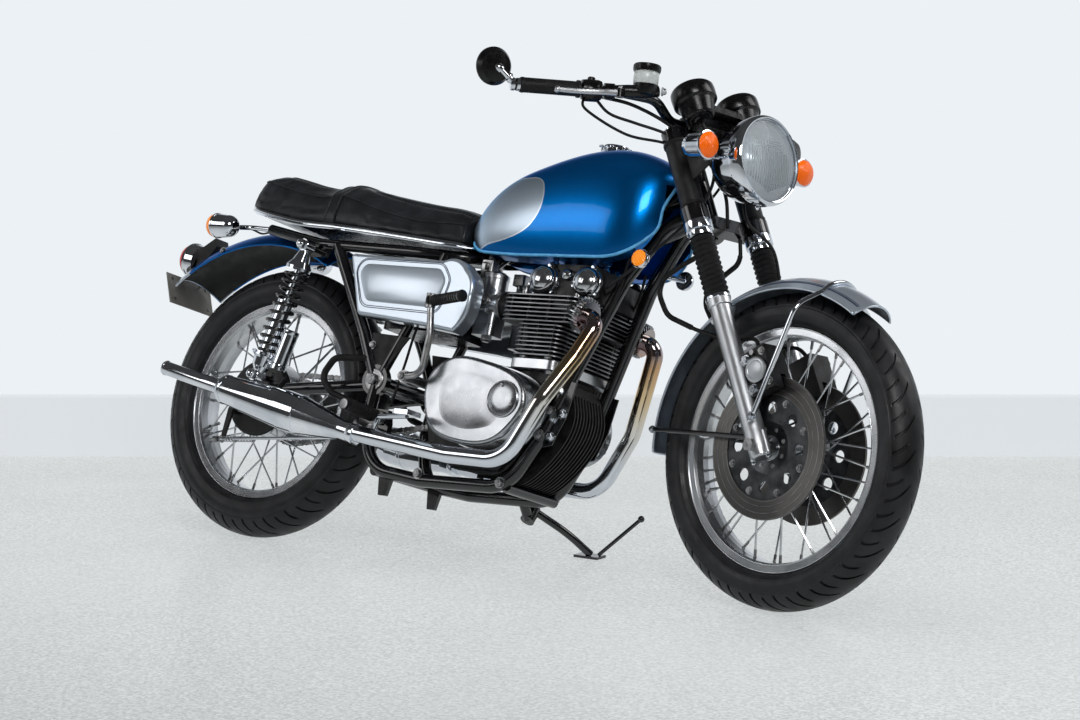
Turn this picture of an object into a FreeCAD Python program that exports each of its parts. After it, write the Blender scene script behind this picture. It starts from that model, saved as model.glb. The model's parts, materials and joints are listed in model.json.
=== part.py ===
import FreeCAD, Part
import math
import os

# A twin-cylinder cafe racer motorcycle, parked leaning on its side stand.
# All pieces are modelled on an upright, straight-ahead motorcycle in millimetres: +X forward, +Y to
# the rider's left, +Z up, the ground point under the rear axle at the origin. Each piece is then put
# in its parked place: steered about the steering axis where it turns with the fork, and leaned over.

V = FreeCAD.Vector

# Wheelbase and steering
WHEELBASE = 1435.0
RAKE = 27.0
TRAIL = 115.0
LEAN = 18.2
PARKED_STEER = 13.0
FORK_HALF_SPREAD = 97.0
RUNNING_GAP = 5.0
SHAFT_CLEARANCE = 0.08
SEAT_GAP = 0.3
SEAM_TURN = 25.0

# Tyres, rims and hubs
FRONT_TYRE_RADIUS = 331.0
FRONT_TYRE_HALF = 50.0
FRONT_RIM_RADIUS = 254.5
FRONT_RIM_HALF = 31.0
REAR_TYRE_RADIUS = 332.0
REAR_TYRE_HALF = 58.0
REAR_RIM_RADIUS = 242.5
REAR_RIM_HALF = 35.0
RIM_DEPTH = 23.0
RIM_WALL = 4.0
SPOKES = 36
SPOKE_RADIUS = 2.0
AXLE_RADIUS = 8.5
FRONT_HUB_HALF = 52.0
FRONT_HUB_FLANGE = 47.0
FRONT_HUB_BARREL = 30.0
DISC_RADIUS = 149.0
DISC_INNER = 108.0
DISC_CENTRE_Y = 66.5
DISC_THICK = 6.0
DRUM_RADIUS = 95.0
DRUM_OUTER_Y = 62.0
DRUM_INNER_Y = 14.0
REAR_HUB_LEFT_Y = 52.0
REAR_HUB_FLANGE = 62.0
REAR_HUB_BARREL = 42.0

# Chain
CHAIN_PITCH = 15.875
CHAIN_Y = 76.0
CHAIN_HALF_WIDTH = 9.0
CHAIN_PLATE_HALF = 7.2
REAR_SPROCKET_PITCH_RADIUS = 86.0
FRONT_SPROCKET_PITCH_RADIUS = 43.0
FRONT_SPROCKET_X = 505.0
FRONT_SPROCKET_Z = 378.0

# Fork, measured along the legs from the front axle
FORK_TUBE_RADIUS = 17.5
FORK_LOWER_RADIUS = 22.5
FORK_LOWER_TOP = 342.0
GAITER_RADIUS = 27.0
GAITER_TOP = 486.0
LOWER_CLAMP_AT = 540.0
LOWER_CLAMP_THICK = 34.0
UPPER_CLAMP_AT = 735.0
UPPER_CLAMP_THICK = 26.0
HEAD_TUBE_RADIUS = 27.0
STEM_RADIUS = 14.0
HEADLIGHT_RADIUS = 95.0
HEADLIGHT_X = WHEELBASE - 145.0
HEADLIGHT_Z = 948.0
BAR_RADIUS = 11.1
HOSE_RADIUS = 5.5

# Frame
FRAME_TUBE_RADIUS = 15.0
RAIL_TUBE_RADIUS = 13.0
BACKBONE_RADIUS = 25.0
CRADLE_HALF = 94.0
CRADLE_Z = 172.0
PIVOT_X = 395.0
PIVOT_Z = 386.0
PIVOT_RADIUS = 17.0
PIVOT_BOLT_RADIUS = 9.0
PEG_PLATE_Y = -128.0
PEDAL_PIVOT = (446.0, 266.0)
SWINGARM_HALF = 92.0
SHOCK_TOP = (139.0, 158.0, 690.0)
SHOCK_BOTTOM = (64.0, 158.0, 369.0)

# Engine
CASE_FRONT = 872.0
CASE_REAR = 545.0
CASE_BOTTOM = 196.0
CASE_TOP = 446.0
CASE_HALF = 104.0
COVER_FACE_Y = 196.0
CYLINDER_X = 832.0
CYLINDER_HALF_DEPTH = 62.0
CYLINDER_HALF_WIDTH = 134.0
CYLINDER_TOP = 546.0
PORT = (924.0, 116.0, 574.0)
FIN_PITCH = 9.6
FIN_THICK = 3.0
FIN_DEPTH = 16.0
HEAD_X = 846.0
HEAD_FIN_REACH = 80.0
HEAD_TOP = 612.0
DOME_X = (797.0, 914.0)
DOME_Z = 648.0
ROCKER_TOP = 690.0
HEADER_RADIUS = 19.0
MUFFLER_Y = 226.0

AXIS = V(-math.sin(math.radians(RAKE)), 0, math.cos(math.radians(RAKE)))
FORWARD = V(math.cos(math.radians(RAKE)), 0, math.sin(math.radians(RAKE)))
FORK_OFFSET = (FRONT_TYRE_RADIUS * math.sin(math.radians(RAKE))
               - TRAIL * math.cos(math.radians(RAKE)))
FRONT_AXLE = V(WHEELBASE, 0, FRONT_TYRE_RADIUS)
REAR_AXLE = V(0, 0, REAR_TYRE_RADIUS)
STEM_FOOT = FRONT_AXLE - FORWARD * FORK_OFFSET
LEFT = V(0, 1, 0)
UP = V(0, 0, 1)

os.makedirs("parts", exist_ok=True)


def on_stem(distance):
    """The point on the steering axis at this distance above the front axle, along the axis."""
    return STEM_FOOT + AXIS * distance


def on_leg(distance, side):
    """The point on one fork leg's centre line; side is -1 for the right leg, 1 for the left."""
    return FRONT_AXLE + AXIS * distance + LEFT * (side * FORK_HALF_SPREAD)


def rod(start, end, radius):
    """A straight round bar from one point to another."""
    start = V(*start)
    run = V(*end) - start
    return Part.makeCylinder(radius, run.Length, start, run)


def taper(start, end, start_radius, end_radius):
    """A straight cone from one point to another."""
    start = V(*start)
    run = V(*end) - start
    return Part.makeCone(start_radius, end_radius, run.Length, start, run)


def fused(shapes):
    """One solid from pieces that overlap."""
    whole = shapes[0]
    for shape in shapes[1:]:
        joined = whole.fuse(shape)
        merged = joined.removeSplitter()
        whole = merged if merged.isValid() else joined
    return whole


def group(shapes):
    return Part.makeCompound(list(shapes))


def mirrored(shape):
    """The same shape on the other side of the motorcycle."""
    return shape.mirror(V(0, 0, 0), LEFT)


def pair(shape):
    return group([shape, mirrored(shape)])


def tube(points, radius, largest=None):
    """A round bar of straight runs joined by tangent arcs, each as large as its runs allow."""
    points = [V(*point) for point in points]
    if len(points) == 2:
        return rod(points[0], points[1], radius)
    heading = points[1] - points[0]
    ring = Part.Wire(Part.Circle(points[0], heading, radius).toShape())
    ring = ring.rotated(points[0], heading, SEAM_TURN)
    faces = [Part.Face(ring)]
    start = points[0]
    for before, corner, after in zip(points, points[1:], points[2:]):
        back = before - corner
        ahead = after - corner
        reach = 0.45 * min(back.Length, ahead.Length)
        back.normalize()
        ahead.normalize()
        half_turn = (math.pi - back.getAngle(ahead)) / 2
        if largest is not None:
            reach = min(reach, largest * math.tan(half_turn))
        inward = back + ahead
        inward.normalize()
        centre = corner + inward * (reach / math.sin(half_turn))
        arc_start = corner + back * reach
        hinge = ahead.cross(back)
        faces.extend(ring.extrude(arc_start - start).Faces)
        ring = ring.translated(arc_start - start)
        turn = math.degrees(2 * half_turn)
        faces.extend(ring.revolve(centre, hinge, turn).Faces)
        ring = ring.rotated(centre, hinge, turn)
        start = corner + ahead * reach
    faces.extend(ring.extrude(points[-1] - start).Faces)
    faces.append(Part.Face(ring.translated(points[-1] - start)))
    shell = Part.makeShell(faces)
    shell.sewShape()
    return outward(Part.makeSolid(shell))


def outward(solid):
    """The same solid with its faces pointing out."""
    if solid.Volume < 0:
        solid.reverse()
    return solid


def outline(points, place):
    """A closed wire. A point is (a, b), or (a, b, via_a, via_b) where an arc leads to it."""
    edges = []
    last = place(points[0][0], points[0][1])
    for point in list(points[1:]) + [points[0][:2]]:
        here = place(point[0], point[1])
        if (here - last).Length < 1e-6:
            continue
        if len(point) == 4:
            edges.append(Part.Arc(last, place(point[2], point[3]), here).toShape())
        else:
            edges.append(Part.LineSegment(last, here).toShape())
        last = here
    return Part.Wire(edges)


def turned(points, origin, axis, radial, angle=360.0):
    """A revolved solid. Points are (distance along the axis, radius)."""
    origin, axis, radial = V(*origin), V(*axis), V(*radial)
    wire = outline(points, lambda along, radius: origin + axis * along + radial * radius)
    return Part.Face(wire).revolve(origin, axis, angle)


def pole_arc(along, radius, pole):
    """The middle of an arc that runs from a point to the axis and meets the axis squarely."""
    centre = (pole ** 2 - along ** 2 - radius ** 2) / (2 * (pole - along))
    reach = pole - centre
    turn = math.atan2(radius, (along - centre) * math.copysign(1, reach)) / 2
    return centre + reach * math.cos(turn), abs(reach) * math.sin(turn)


def wheel_turned(points, axle, angle=360.0, radial=(0, 0, 1)):
    """A solid revolved about a wheel's axle. Points are (y, radius)."""
    return turned(points, axle, LEFT, radial, angle)


def side_plate(points, y_from, y_to):
    """A flat plate seen from the side. Points are (x, z)."""
    wire = outline(points, lambda x, z: V(x, y_from, z))
    return Part.Face(wire).extrude(V(0, y_to - y_from, 0))


def smooth_plate(points, y_from, y_to):
    """A plate with one smooth closed edge through the points (x, z)."""
    curve = Part.BSplineCurve()
    curve.interpolate([V(x, y_from, z) for x, z in points], PeriodicFlag=True)
    plate = Part.Face(Part.Wire(curve.toShape())).extrude(V(0, y_to - y_from, 0))
    return outward(plate)


def soft_plate(points, y_from, y_to, corner, rim):
    """A plate seen from the side with rounded corners and a rounded rim on its outer face."""
    plate = side_plate(points, y_from, y_to)
    upright = [edge for edge in plate.Edges if abs(edge.Vertexes[0].Y - edge.Vertexes[-1].Y) > 1.0]
    plate = plate.makeFillet(corner, upright)
    outer = [edge for edge in plate.Edges if abs(edge.CenterOfMass.y - y_to) < 0.5]
    return plate.makeFillet(rim, outer)


def block(x_from, x_to, y_from, y_to, z_from, z_to):
    return Part.makeBox(x_to - x_from, y_to - y_from, z_to - z_from, V(x_from, y_from, z_from))


def rounded_block(x_from, x_to, y_from, y_to, z_from, z_to, radius):
    """A block with its upright edges rounded."""
    body = block(x_from, x_to, y_from, y_to, z_from, z_to)
    upright = [edge for edge in body.Edges
               if abs(edge.Vertexes[0].Z - edge.Vertexes[1].Z) > 1e-6]
    return body.makeFillet(radius, upright)


def hexagon(centre, axis, across, length):
    """A hexagon nut or bolt head."""
    axis = V(*axis)
    side = axis.cross(UP if abs(axis.z) < 0.9 else V(1, 0, 0))
    side.normalize()
    other = axis.cross(side)
    radius = across / math.sqrt(3)
    corners = []
    for step in range(6):
        turn = math.radians(60 * step)
        corners.append(V(*centre) + side * (radius * math.cos(turn)) + other * (radius * math.sin(turn)))
    return Part.Face(Part.makePolygon(corners + corners[:1])).extrude(axis * length)


# Where the motorcycle stands: leaned over, with both tyres and the stand's foot on the floor

def turn_about(point, axis, degrees):
    return FreeCAD.Placement(V(0, 0, 0), FreeCAD.Rotation(V(*axis), degrees), V(*point))


def tyre_bottom(placement, axle, tyre_radius, crown_radius):
    """The height of a placed tyre's lowest point: a ring of a round crown about its axle."""
    centre = placement.multVec(axle)
    spindle = placement.Rotation.multVec(LEFT)
    ring = (tyre_radius - crown_radius) * math.sqrt(1 - spindle.z ** 2)
    return centre.z - ring - crown_radius


STEERED = turn_about(STEM_FOOT, AXIS, -PARKED_STEER)


def parked_placement():
    """Leans the motorcycle, and pitches and lifts it until both tyres touch the floor."""
    placement = turn_about((0, 0, 0), (1, 0, 0), -LEAN)
    for _ in range(4):
        rear = tyre_bottom(placement, REAR_AXLE, REAR_TYRE_RADIUS, REAR_TYRE_HALF)
        front = tyre_bottom(placement.multiply(STEERED), FRONT_AXLE, FRONT_TYRE_RADIUS, FRONT_TYRE_HALF)
        pitch = math.degrees(math.atan2(front - rear, WHEELBASE))
        placement = turn_about((0, 0, 0), (0, 1, 0), pitch).multiply(placement)
        rear = tyre_bottom(placement, REAR_AXLE, REAR_TYRE_RADIUS, REAR_TYRE_HALF)
        placement = FreeCAD.Placement(V(0, 0, -rear), FreeCAD.Rotation()).multiply(placement)
    return placement


PARKED = parked_placement()


def from_floor(x, y, z=0.0):
    """The point of the upright motorcycle that stands at this place when it is parked."""
    return PARKED.inverse().multVec(V(x, y, z))


# Wheels

def tyre(axle, radius, half, rim_radius, rim_half):
    """A road tyre: a round crown, sidewalls and beads that sit on the rim's seats."""
    centre = radius - half
    bead = rim_radius - 7.0
    shoulder = rim_radius + 9.0
    inner = rim_half - RIM_WALL
    return wheel_turned([
        (-inner, bead),
        (-rim_half, rim_radius),
        (-half + 3.0, centre - 8.0, -half + 5.0, shoulder),
        (-half, centre),
        (0, radius, -half * math.cos(math.radians(45)), centre + half * math.sin(math.radians(45))),
        (half, centre, half * math.cos(math.radians(45)), centre + half * math.sin(math.radians(45))),
        (half - 3.0, centre - 8.0),
        (rim_half, rim_radius, half - 5.0, shoulder),
        (inner, bead),
    ], axle)


def rim(axle, rim_radius, rim_half):
    """An aluminium rim with flanges, bead seats and a drop centre."""
    bead = rim_radius - 7.0
    inner = rim_half - RIM_WALL
    bottom = rim_radius - RIM_DEPTH
    return wheel_turned([
        (-rim_half, rim_radius),
        (-inner, bead),
        (inner, bead),
        (rim_half, rim_radius),
        (rim_half, bottom + 6.0),
        (rim_half - 6.0, bottom + 2.0),
        (8.0, bottom),
        (-8.0, bottom),
        (-rim_half + 6.0, bottom + 2.0),
        (-rim_half, bottom + 6.0),
    ], axle)


def spokes(axle, rim_inner, rim_offset, flanges):
    """Crossed spokes. flanges gives each side's (y, radius) at the hub."""
    wires = []
    count_per_side = SPOKES // len(flanges)
    for flange_y, flange_radius in flanges:
        side = 1 if flange_y > 0 else -1
        for number in range(count_per_side):
            at_hub = 360.0 / count_per_side * (number + 0.25 * side)
            lean = 52.0 if number % 2 else -52.0
            at_rim = at_hub + lean * (1 - flange_radius / rim_inner)
            start = wheel_point(axle, at_hub, flange_radius - 5.0, flange_y)
            end = wheel_point(axle, at_rim, rim_inner + 4.0, side * rim_offset)
            wires.append(hexagon(start, unit(end - start), SPOKE_RADIUS * 2, (end - start).Length))
    return wires


def unit(vector):
    vector = V(*vector)
    vector.normalize()
    return vector


def wheel_point(axle, angle, radius, y):
    turn = math.radians(angle)
    return V(axle.x + radius * math.cos(turn), y, axle.z + radius * math.sin(turn))


def front_wheel():
    """Rim, spokes and a hub with a bore that turns on the axle."""
    hub = wheel_turned([
        (-FRONT_HUB_HALF, AXLE_RADIUS + SHAFT_CLEARANCE),
        (-FRONT_HUB_HALF, FRONT_HUB_FLANGE),
        (-FRONT_HUB_HALF + 8.0, FRONT_HUB_FLANGE),
        (-FRONT_HUB_HALF + 16.0, FRONT_HUB_BARREL),
        (FRONT_HUB_HALF - 16.0, FRONT_HUB_BARREL),
        (FRONT_HUB_HALF - 8.0, FRONT_HUB_FLANGE),
        (FRONT_HUB_HALF, FRONT_HUB_FLANGE),
        (FRONT_HUB_HALF, AXLE_RADIUS + SHAFT_CLEARANCE),
    ], FRONT_AXLE)
    flange_y = FRONT_HUB_HALF - 4.0
    wires = spokes(FRONT_AXLE, FRONT_RIM_RADIUS - RIM_DEPTH, 7.0,
                   [(-flange_y, FRONT_HUB_FLANGE), (flange_y, FRONT_HUB_FLANGE)])
    return fused([rim(FRONT_AXLE, FRONT_RIM_RADIUS, FRONT_RIM_HALF), hub] + wires)


def front_disc(side):
    """One brake disc, a flat ring."""
    inner = side * (DISC_CENTRE_Y - DISC_THICK / 2)
    outer = side * (DISC_CENTRE_Y + DISC_THICK / 2)
    return wheel_turned([(inner, DISC_INNER), (inner, DISC_RADIUS), (outer, DISC_RADIUS),
                         (outer, DISC_INNER)], FRONT_AXLE)


def disc_carrier(side):
    """The carrier between hub and disc, with a ring of windows."""
    hub_face = side * FRONT_HUB_HALF
    inner = side * (DISC_CENTRE_Y - 4.0)
    outer = side * (DISC_CENTRE_Y + 1.0)
    body = wheel_turned([
        (hub_face, 26.0),
        (hub_face, FRONT_HUB_FLANGE),
        (inner, 58.0),
        (inner, DISC_INNER),
        (outer, DISC_INNER),
        (outer, 54.0),
        (side * (DISC_CENTRE_Y - 6.0), 26.0),
    ], FRONT_AXLE)
    windows = []
    for number in range(8):
        centre = wheel_point(FRONT_AXLE, 45.0 * number, 82.0, 0)
        windows.append(Part.makeCylinder(13.0, DISC_CENTRE_Y + 10.0, centre, LEFT * side))
    return body.cut(group(windows))


def rear_wheel():
    """Rim, spokes and a drum hub, open on the right where the brake panel closes it."""
    drum_wall = 8.0
    hub = wheel_turned([
        (-DRUM_OUTER_Y, DRUM_RADIUS),
        (-DRUM_INNER_Y, DRUM_RADIUS),
        (-DRUM_INNER_Y + 14.0, REAR_HUB_BARREL),
        (REAR_HUB_LEFT_Y - 12.0, REAR_HUB_BARREL),
        (REAR_HUB_LEFT_Y - 6.0, REAR_HUB_FLANGE),
        (REAR_HUB_LEFT_Y, REAR_HUB_FLANGE),
        (REAR_HUB_LEFT_Y, AXLE_RADIUS + SHAFT_CLEARANCE),
        (-DRUM_INNER_Y - 6.0, AXLE_RADIUS + SHAFT_CLEARANCE),
        (-DRUM_INNER_Y - 6.0, DRUM_RADIUS - drum_wall),
        (-DRUM_OUTER_Y, DRUM_RADIUS - drum_wall),
    ], REAR_AXLE)
    wires = spokes(REAR_AXLE, REAR_RIM_RADIUS - RIM_DEPTH, 7.0,
                   [(-DRUM_OUTER_Y + 8.0, DRUM_RADIUS), (REAR_HUB_LEFT_Y - 3.0, REAR_HUB_FLANGE)])
    return fused([rim(REAR_AXLE, REAR_RIM_RADIUS, REAR_RIM_HALF), hub] + wires)


def rear_sprocket():
    """The sprocket on the hub's left face. It stays inside the chain's rollers."""
    outer = REAR_SPROCKET_PITCH_RADIUS - 5.1 - 3.0
    blade = wheel_turned([
        (REAR_HUB_LEFT_Y, 24.0),
        (REAR_HUB_LEFT_Y, 58.0),
        (CHAIN_Y - 3.5, 60.0),
        (CHAIN_Y - 3.5, outer),
        (CHAIN_Y + 3.5, outer),
        (CHAIN_Y + 3.5, 24.0),
    ], REAR_AXLE)
    notches = []
    for number in range(34):
        centre = wheel_point(REAR_AXLE, 360.0 / 34 * number, outer + 2.5, CHAIN_Y - 5.0)
        notches.append(Part.makeCylinder(4.6, 10.0, centre, LEFT))
    return blade.cut(group(notches))


def drive_chain():
    """The chain: a loop round the two sprockets, its links waisted between the rollers."""
    return chain_band(CHAIN_PLATE_HALF)


def chain_band(half):
    front = V(FRONT_SPROCKET_X, 0, FRONT_SPROCKET_Z)
    run = front - REAR_AXLE
    spread = math.acos((REAR_SPROCKET_PITCH_RADIUS - FRONT_SPROCKET_PITCH_RADIUS) / run.Length)
    heading = math.atan2(run.z, run.x)

    def loop(offset):
        rear_radius = REAR_SPROCKET_PITCH_RADIUS + offset
        front_radius = FRONT_SPROCKET_PITCH_RADIUS + offset

        def at(centre, radius, angle):
            return V(centre.x + radius * math.cos(angle), CHAIN_Y - CHAIN_HALF_WIDTH,
                     centre.z + radius * math.sin(angle))

        rear_top = at(REAR_AXLE, rear_radius, heading + spread)
        rear_low = at(REAR_AXLE, rear_radius, heading - spread)
        rear_back = at(REAR_AXLE, rear_radius, heading + math.pi)
        front_top = at(front, front_radius, heading + spread)
        front_low = at(front, front_radius, heading - spread)
        front_nose = at(front, front_radius, heading)
        return Part.Wire([
            Part.LineSegment(rear_top, front_top).toShape(),
            Part.Arc(front_top, front_nose, front_low).toShape(),
            Part.LineSegment(front_low, rear_low).toShape(),
            Part.Arc(rear_low, rear_back, rear_top).toShape(),
        ])

    outer = Part.Face(loop(half)).extrude(LEFT * (2 * CHAIN_HALF_WIDTH))
    inner = Part.Face(loop(-half)).extrude(LEFT * (2 * CHAIN_HALF_WIDTH))
    band = outer.cut(inner)
    slot_outer = Part.Face(loop(-half + 4.0)).extrude(LEFT * 11.0)
    slot_outer.translate(LEFT * (CHAIN_HALF_WIDTH - 5.5))
    return band.cut(slot_outer)


# Frame and rear suspension

def main_frame():
    """Head tube, backbone, double cradle, seat rails, struts and lugs, all welded into one."""
    head = rod(on_stem(LOWER_CLAMP_AT + LOWER_CLAMP_THICK / 2 + 3.0),
               on_stem(UPPER_CLAMP_AT - UPPER_CLAMP_THICK / 2 - 3.0), HEAD_TUBE_RADIUS)
    backbone = tube([on_stem(LOWER_CLAMP_AT + 110.0), (900, 0, 826), (650, 0, 768), (575, 0, 712)],
                    BACKBONE_RADIUS)
    under = tube([on_stem(LOWER_CLAMP_AT + 45.0), (1000, 0, 762), (860, 0, 768), (760, 0, 795)], 17.0)
    half = frame_half()
    body = fused([half, mirrored(half), head, backbone, under])
    crossed = [rod((x, -half_width, z), (x, half_width, z), radius)
               for x, half_width, z, radius in ((430, 104, CRADLE_Z + 12, 14.0),
                                                (800, CRADLE_HALF, CRADLE_Z + 6, 12.0),
                                                (300, 109, 703, 10.0))]
    crossed.append(rod((PIVOT_X, -130, PIVOT_Z), (PIVOT_X, 130, PIVOT_Z), PIVOT_BOLT_RADIUS))
    body = fused([body] + crossed + [STAND_BRACKET])
    bore = rod(on_stem(LOWER_CLAMP_AT), on_stem(UPPER_CLAMP_AT), STEM_RADIUS + RUNNING_GAP)
    return body.cut(bore)


def frame_half():
    """The right half: cradle tube, strut, seat rail, seat tube, damper mount, pivot boss and lug."""
    top_x, _, top_z = SHOCK_TOP
    return fused([
        tube(cradle_path(-1), FRAME_TUBE_RADIUS, 90.0),
        tube([(PIVOT_X, -112, PIVOT_Z - 10), (330, -116, 500), (196, -116, 706)], 14.0, 200.0),
        tube([(575, -4, 712), (545, -70, 698), (440, -106, 698), (140, -112, 708), (-40, -100, 742)],
             RAIL_TUBE_RADIUS, 120.0),
        tube([(PIVOT_X, -110, PIVOT_Z + 5), (466, -104, 560), (508, -92, 698)], 12.0, 300.0),
        rod((PIVOT_X - 4, -103.3, PIVOT_Z + 3), (PIVOT_X - 4, -119.7, PIVOT_Z + 3), 36.0),
        rod((top_x, -100, top_z), (top_x, -182, top_z), 7.0),
        side_plate([(115, 675), (165, 675), (185, 716), (105, 716)], -108, -116),
        side_plate([(440, CRADLE_Z + 4), (480, CRADLE_Z + 4), (470, 128), (448, 128)], -88, -98),
        side_plate([(372, 322), (456, 320), (464, 290), (462, 256), (430, 252), (378, 276)], -112, PEG_PLATE_Y),
    ])


def cradle_space():
    """The room that the cradle's tubes take between the engine's pieces."""
    tubes = []
    for side in (-1, 1):
        tubes.append(tube(cradle_path(side), FRAME_TUBE_RADIUS + SEAT_GAP, 90.0))
    return group(tubes)


def cradle_path(side):
    """One side of the cradle: down from the head, back under the engine and up to the pivot."""
    return [
        on_stem(LOWER_CLAMP_AT + 45.0) + LEFT * (side * 12.0),
        (1062, side * 38, 800),
        (985, side * 54, 665),
        (893, side * 82, 390),
        (862, side * 90, 290),
        (800, side * CRADLE_HALF, CRADLE_Z + 6),
        (560, side * CRADLE_HALF, CRADLE_Z),
        (415, side * 106, CRADLE_Z + 14),
        (385, side * 110, 300),
        (PIVOT_X, side * 112, PIVOT_Z),
    ]


def swingarm():
    """Two arms from the pivot tube to the axle, joined by a cross tube behind the pivot."""
    pieces = [rod((PIVOT_X, -SWINGARM_HALF, PIVOT_Z), (PIVOT_X, SWINGARM_HALF, PIVOT_Z), PIVOT_RADIUS)]
    for side in (-1, 1):
        pieces.append(tube([(PIVOT_X, side * 76, PIVOT_Z), (340, side * 80, 380),
                            (150, side * 110, 353), (30, side * 116, 336)], 15.0, 400.0))
        pieces.append(rounded_plate_y(REAR_AXLE.x - 52, 45, side * 110, side * 122,
                                      REAR_AXLE.z - 19, REAR_AXLE.z + 21))
        lug = side_plate([(40, 345), (92, 348), (76, 386), (50, 384)], side * 110, side * 122)
        pieces.append(lug)
        pieces.append(rod((SHOCK_BOTTOM[0], side * 112, SHOCK_BOTTOM[2]),
                          (SHOCK_BOTTOM[0], side * 182, SHOCK_BOTTOM[2]), 7.0))
    pieces.append(rod((360, -76, 382), (360, 76, 382), 12.0))
    body = fused(pieces)
    pivot_bolt = rod((PIVOT_X, -140, PIVOT_Z), (PIVOT_X, 140, PIVOT_Z), PIVOT_BOLT_RADIUS)
    axle_hole = rod((0, -140, REAR_AXLE.z), (0, 140, REAR_AXLE.z), AXLE_RADIUS)
    return body.cut(pivot_bolt).cut(axle_hole)


def rounded_plate_y(x_from, x_to, y_from, y_to, z_from, z_to):
    radius = (z_to - z_from) / 2
    middle = (z_to + z_from) / 2
    return side_plate([
        (x_from + radius, z_from),
        (x_to - radius, z_from),
        (x_to - radius, z_to, x_to, middle),
        (x_from + radius, z_to),
        (x_from + radius, z_from, x_from, middle),
    ], y_from, y_to)


def rear_axle():
    """The axle with its nuts and the chain adjusters at the ends of the arms."""
    pieces = [rod((0, -128, REAR_AXLE.z), (0, 128, REAR_AXLE.z), AXLE_RADIUS)]
    for side in (-1, 1):
        pieces.append(hexagon((0, side * 122, REAR_AXLE.z), LEFT * side, 27.0, 12.0))
    return fused(pieces)


def rear_brake_panel():
    """The drum's cover, held still by the axle, with its cam arm."""
    outer_y = -DRUM_OUTER_Y - RUNNING_GAP
    panel = wheel_turned([
        (-109.6, AXLE_RADIUS),
        (-109.6, 22.0),
        (outer_y - 14.0, 30.0),
        (outer_y - 9.0, DRUM_RADIUS - 6.0),
        (outer_y, DRUM_RADIUS),
        (outer_y, 30.0),
        (-DRUM_INNER_Y - 6.0 - RUNNING_GAP, 20.0),
        (-DRUM_INNER_Y - 6.0 - RUNNING_GAP, AXLE_RADIUS),
    ], REAR_AXLE)
    cam = rod((-52, outer_y - 4.0, 290), (-52, outer_y - 36.0, 290), 8.0)
    arm = side_plate([(-62, 292), (-44, 296), (-58, 212), (-68, 212)], outer_y - 34.0, outer_y - 28.0)
    return fused([panel, cam, arm])


def shock(side):
    """A damper with its eyes, piston rod, upper shroud, lower cup and side reservoir."""
    top = V(SHOCK_TOP[0], side * SHOCK_TOP[1], SHOCK_TOP[2])
    bottom = V(SHOCK_BOTTOM[0], side * SHOCK_BOTTOM[1], SHOCK_BOTTOM[2])
    line = unit(top - bottom)
    length = (top - bottom).Length

    def at(distance):
        return bottom + line * distance

    eyes = [rod(point - LEFT * 13, point + LEFT * 13, 15.0) for point in (top, bottom)]
    body = turned([
        (8, 0), (8, 12), (24, 22), (44, 24), (50, 31), (58, 31), (58, 20), (190, 20), (190, 8),
        (length - 62, 8), (length - 62, 31), (length - 54, 31), (length - 40, 22),
        (length - 10, 13), (length - 10, 0),
    ], bottom, line, line.cross(LEFT))
    stud_holes = [rod(point - LEFT * 30, point + LEFT * 30, 7.0) for point in (top, bottom)]
    damper = fused([body] + eyes)
    for hole in stud_holes:
        damper = damper.cut(hole)
    back = line.cross(LEFT) * -1
    start = at(34) + back * 53
    reservoir = rod(start, start + line * 92, 19.0)
    bridge = rod(at(38), at(46) + back * 52, 8.0)
    return fused([damper, reservoir, bridge])


def shock_spring(side):
    """The coil spring round the damper."""
    top = V(SHOCK_TOP[0], side * SHOCK_TOP[1], SHOCK_TOP[2])
    bottom = V(SHOCK_BOTTOM[0], side * SHOCK_BOTTOM[1], SHOCK_BOTTOM[2])
    line = unit(top - bottom)
    length = (top - bottom).Length
    first = bottom + line * (58 + SEAT_GAP)
    spring = turned(spring_profile(length - 62 - 58 - 2 * SEAT_GAP), first, line, line.cross(LEFT))
    return spring


def spring_profile(length):
    """A sleeve with a round-backed wave for each coil."""
    coils = 9
    pitch = length / coils
    points = [(0, 24.0), (0, 26.0)]
    for number in range(coils):
        start = pitch * number
        points.append((start + pitch, 26.0, start + pitch / 2, 31.0))
    points.append((length, 24.0))
    return points


# Engine

def crankcase():
    """The closed engine mass: crankcase with gearbox behind it and the sump below."""
    wide = side_plate([
        (575, 300), (575, 425), (640, CASE_TOP), (CASE_FRONT, CASE_TOP), (CASE_FRONT - 12, 380),
        (CASE_FRONT - 38, 290), (775, 212), (640, 212),
    ], -CASE_HALF, CASE_HALF)
    gearbox = side_plate([
        (CASE_REAR, 330), (CASE_REAR, 420, CASE_REAR - 12, 376), (640, CASE_TOP - 4), (640, 220), (570, 260),
    ], -CASE_HALF, 56.0)
    nose = side_plate([
        (760, CASE_TOP - 2), (CASE_FRONT + 16, CASE_TOP - 20), (CASE_FRONT, 262, CASE_FRONT + 44, 350),
        (800, CASE_BOTTOM), (690, CASE_BOTTOM), (690, 300),
    ], -62.0, 62.0)
    return fused([wide, gearbox, nose]).cut(cradle_space())


def right_cover():
    """The polished cover on the right, with its round inspection lid."""
    cover = smooth_plate([(602, 350), (616, 412), (664, 443), (746, 441), (822, 422), (864, 394),
                          (878, 352), (856, 303), (818, 266), (720, 252), (634, 280)],
                         -CASE_HALF, -COVER_FACE_Y)
    rim_edges = [edge for edge in cover.Edges if abs(edge.CenterOfMass.y + COVER_FACE_Y) < 1.0]
    cover = cover.makeFillet(9.0, rim_edges)
    lid = rod((822, -COVER_FACE_Y + 1.0, 357), (822, -COVER_FACE_Y - 4.0, 357), 39.0)
    return fused([cover, lid]).cut(cradle_space())


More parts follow.
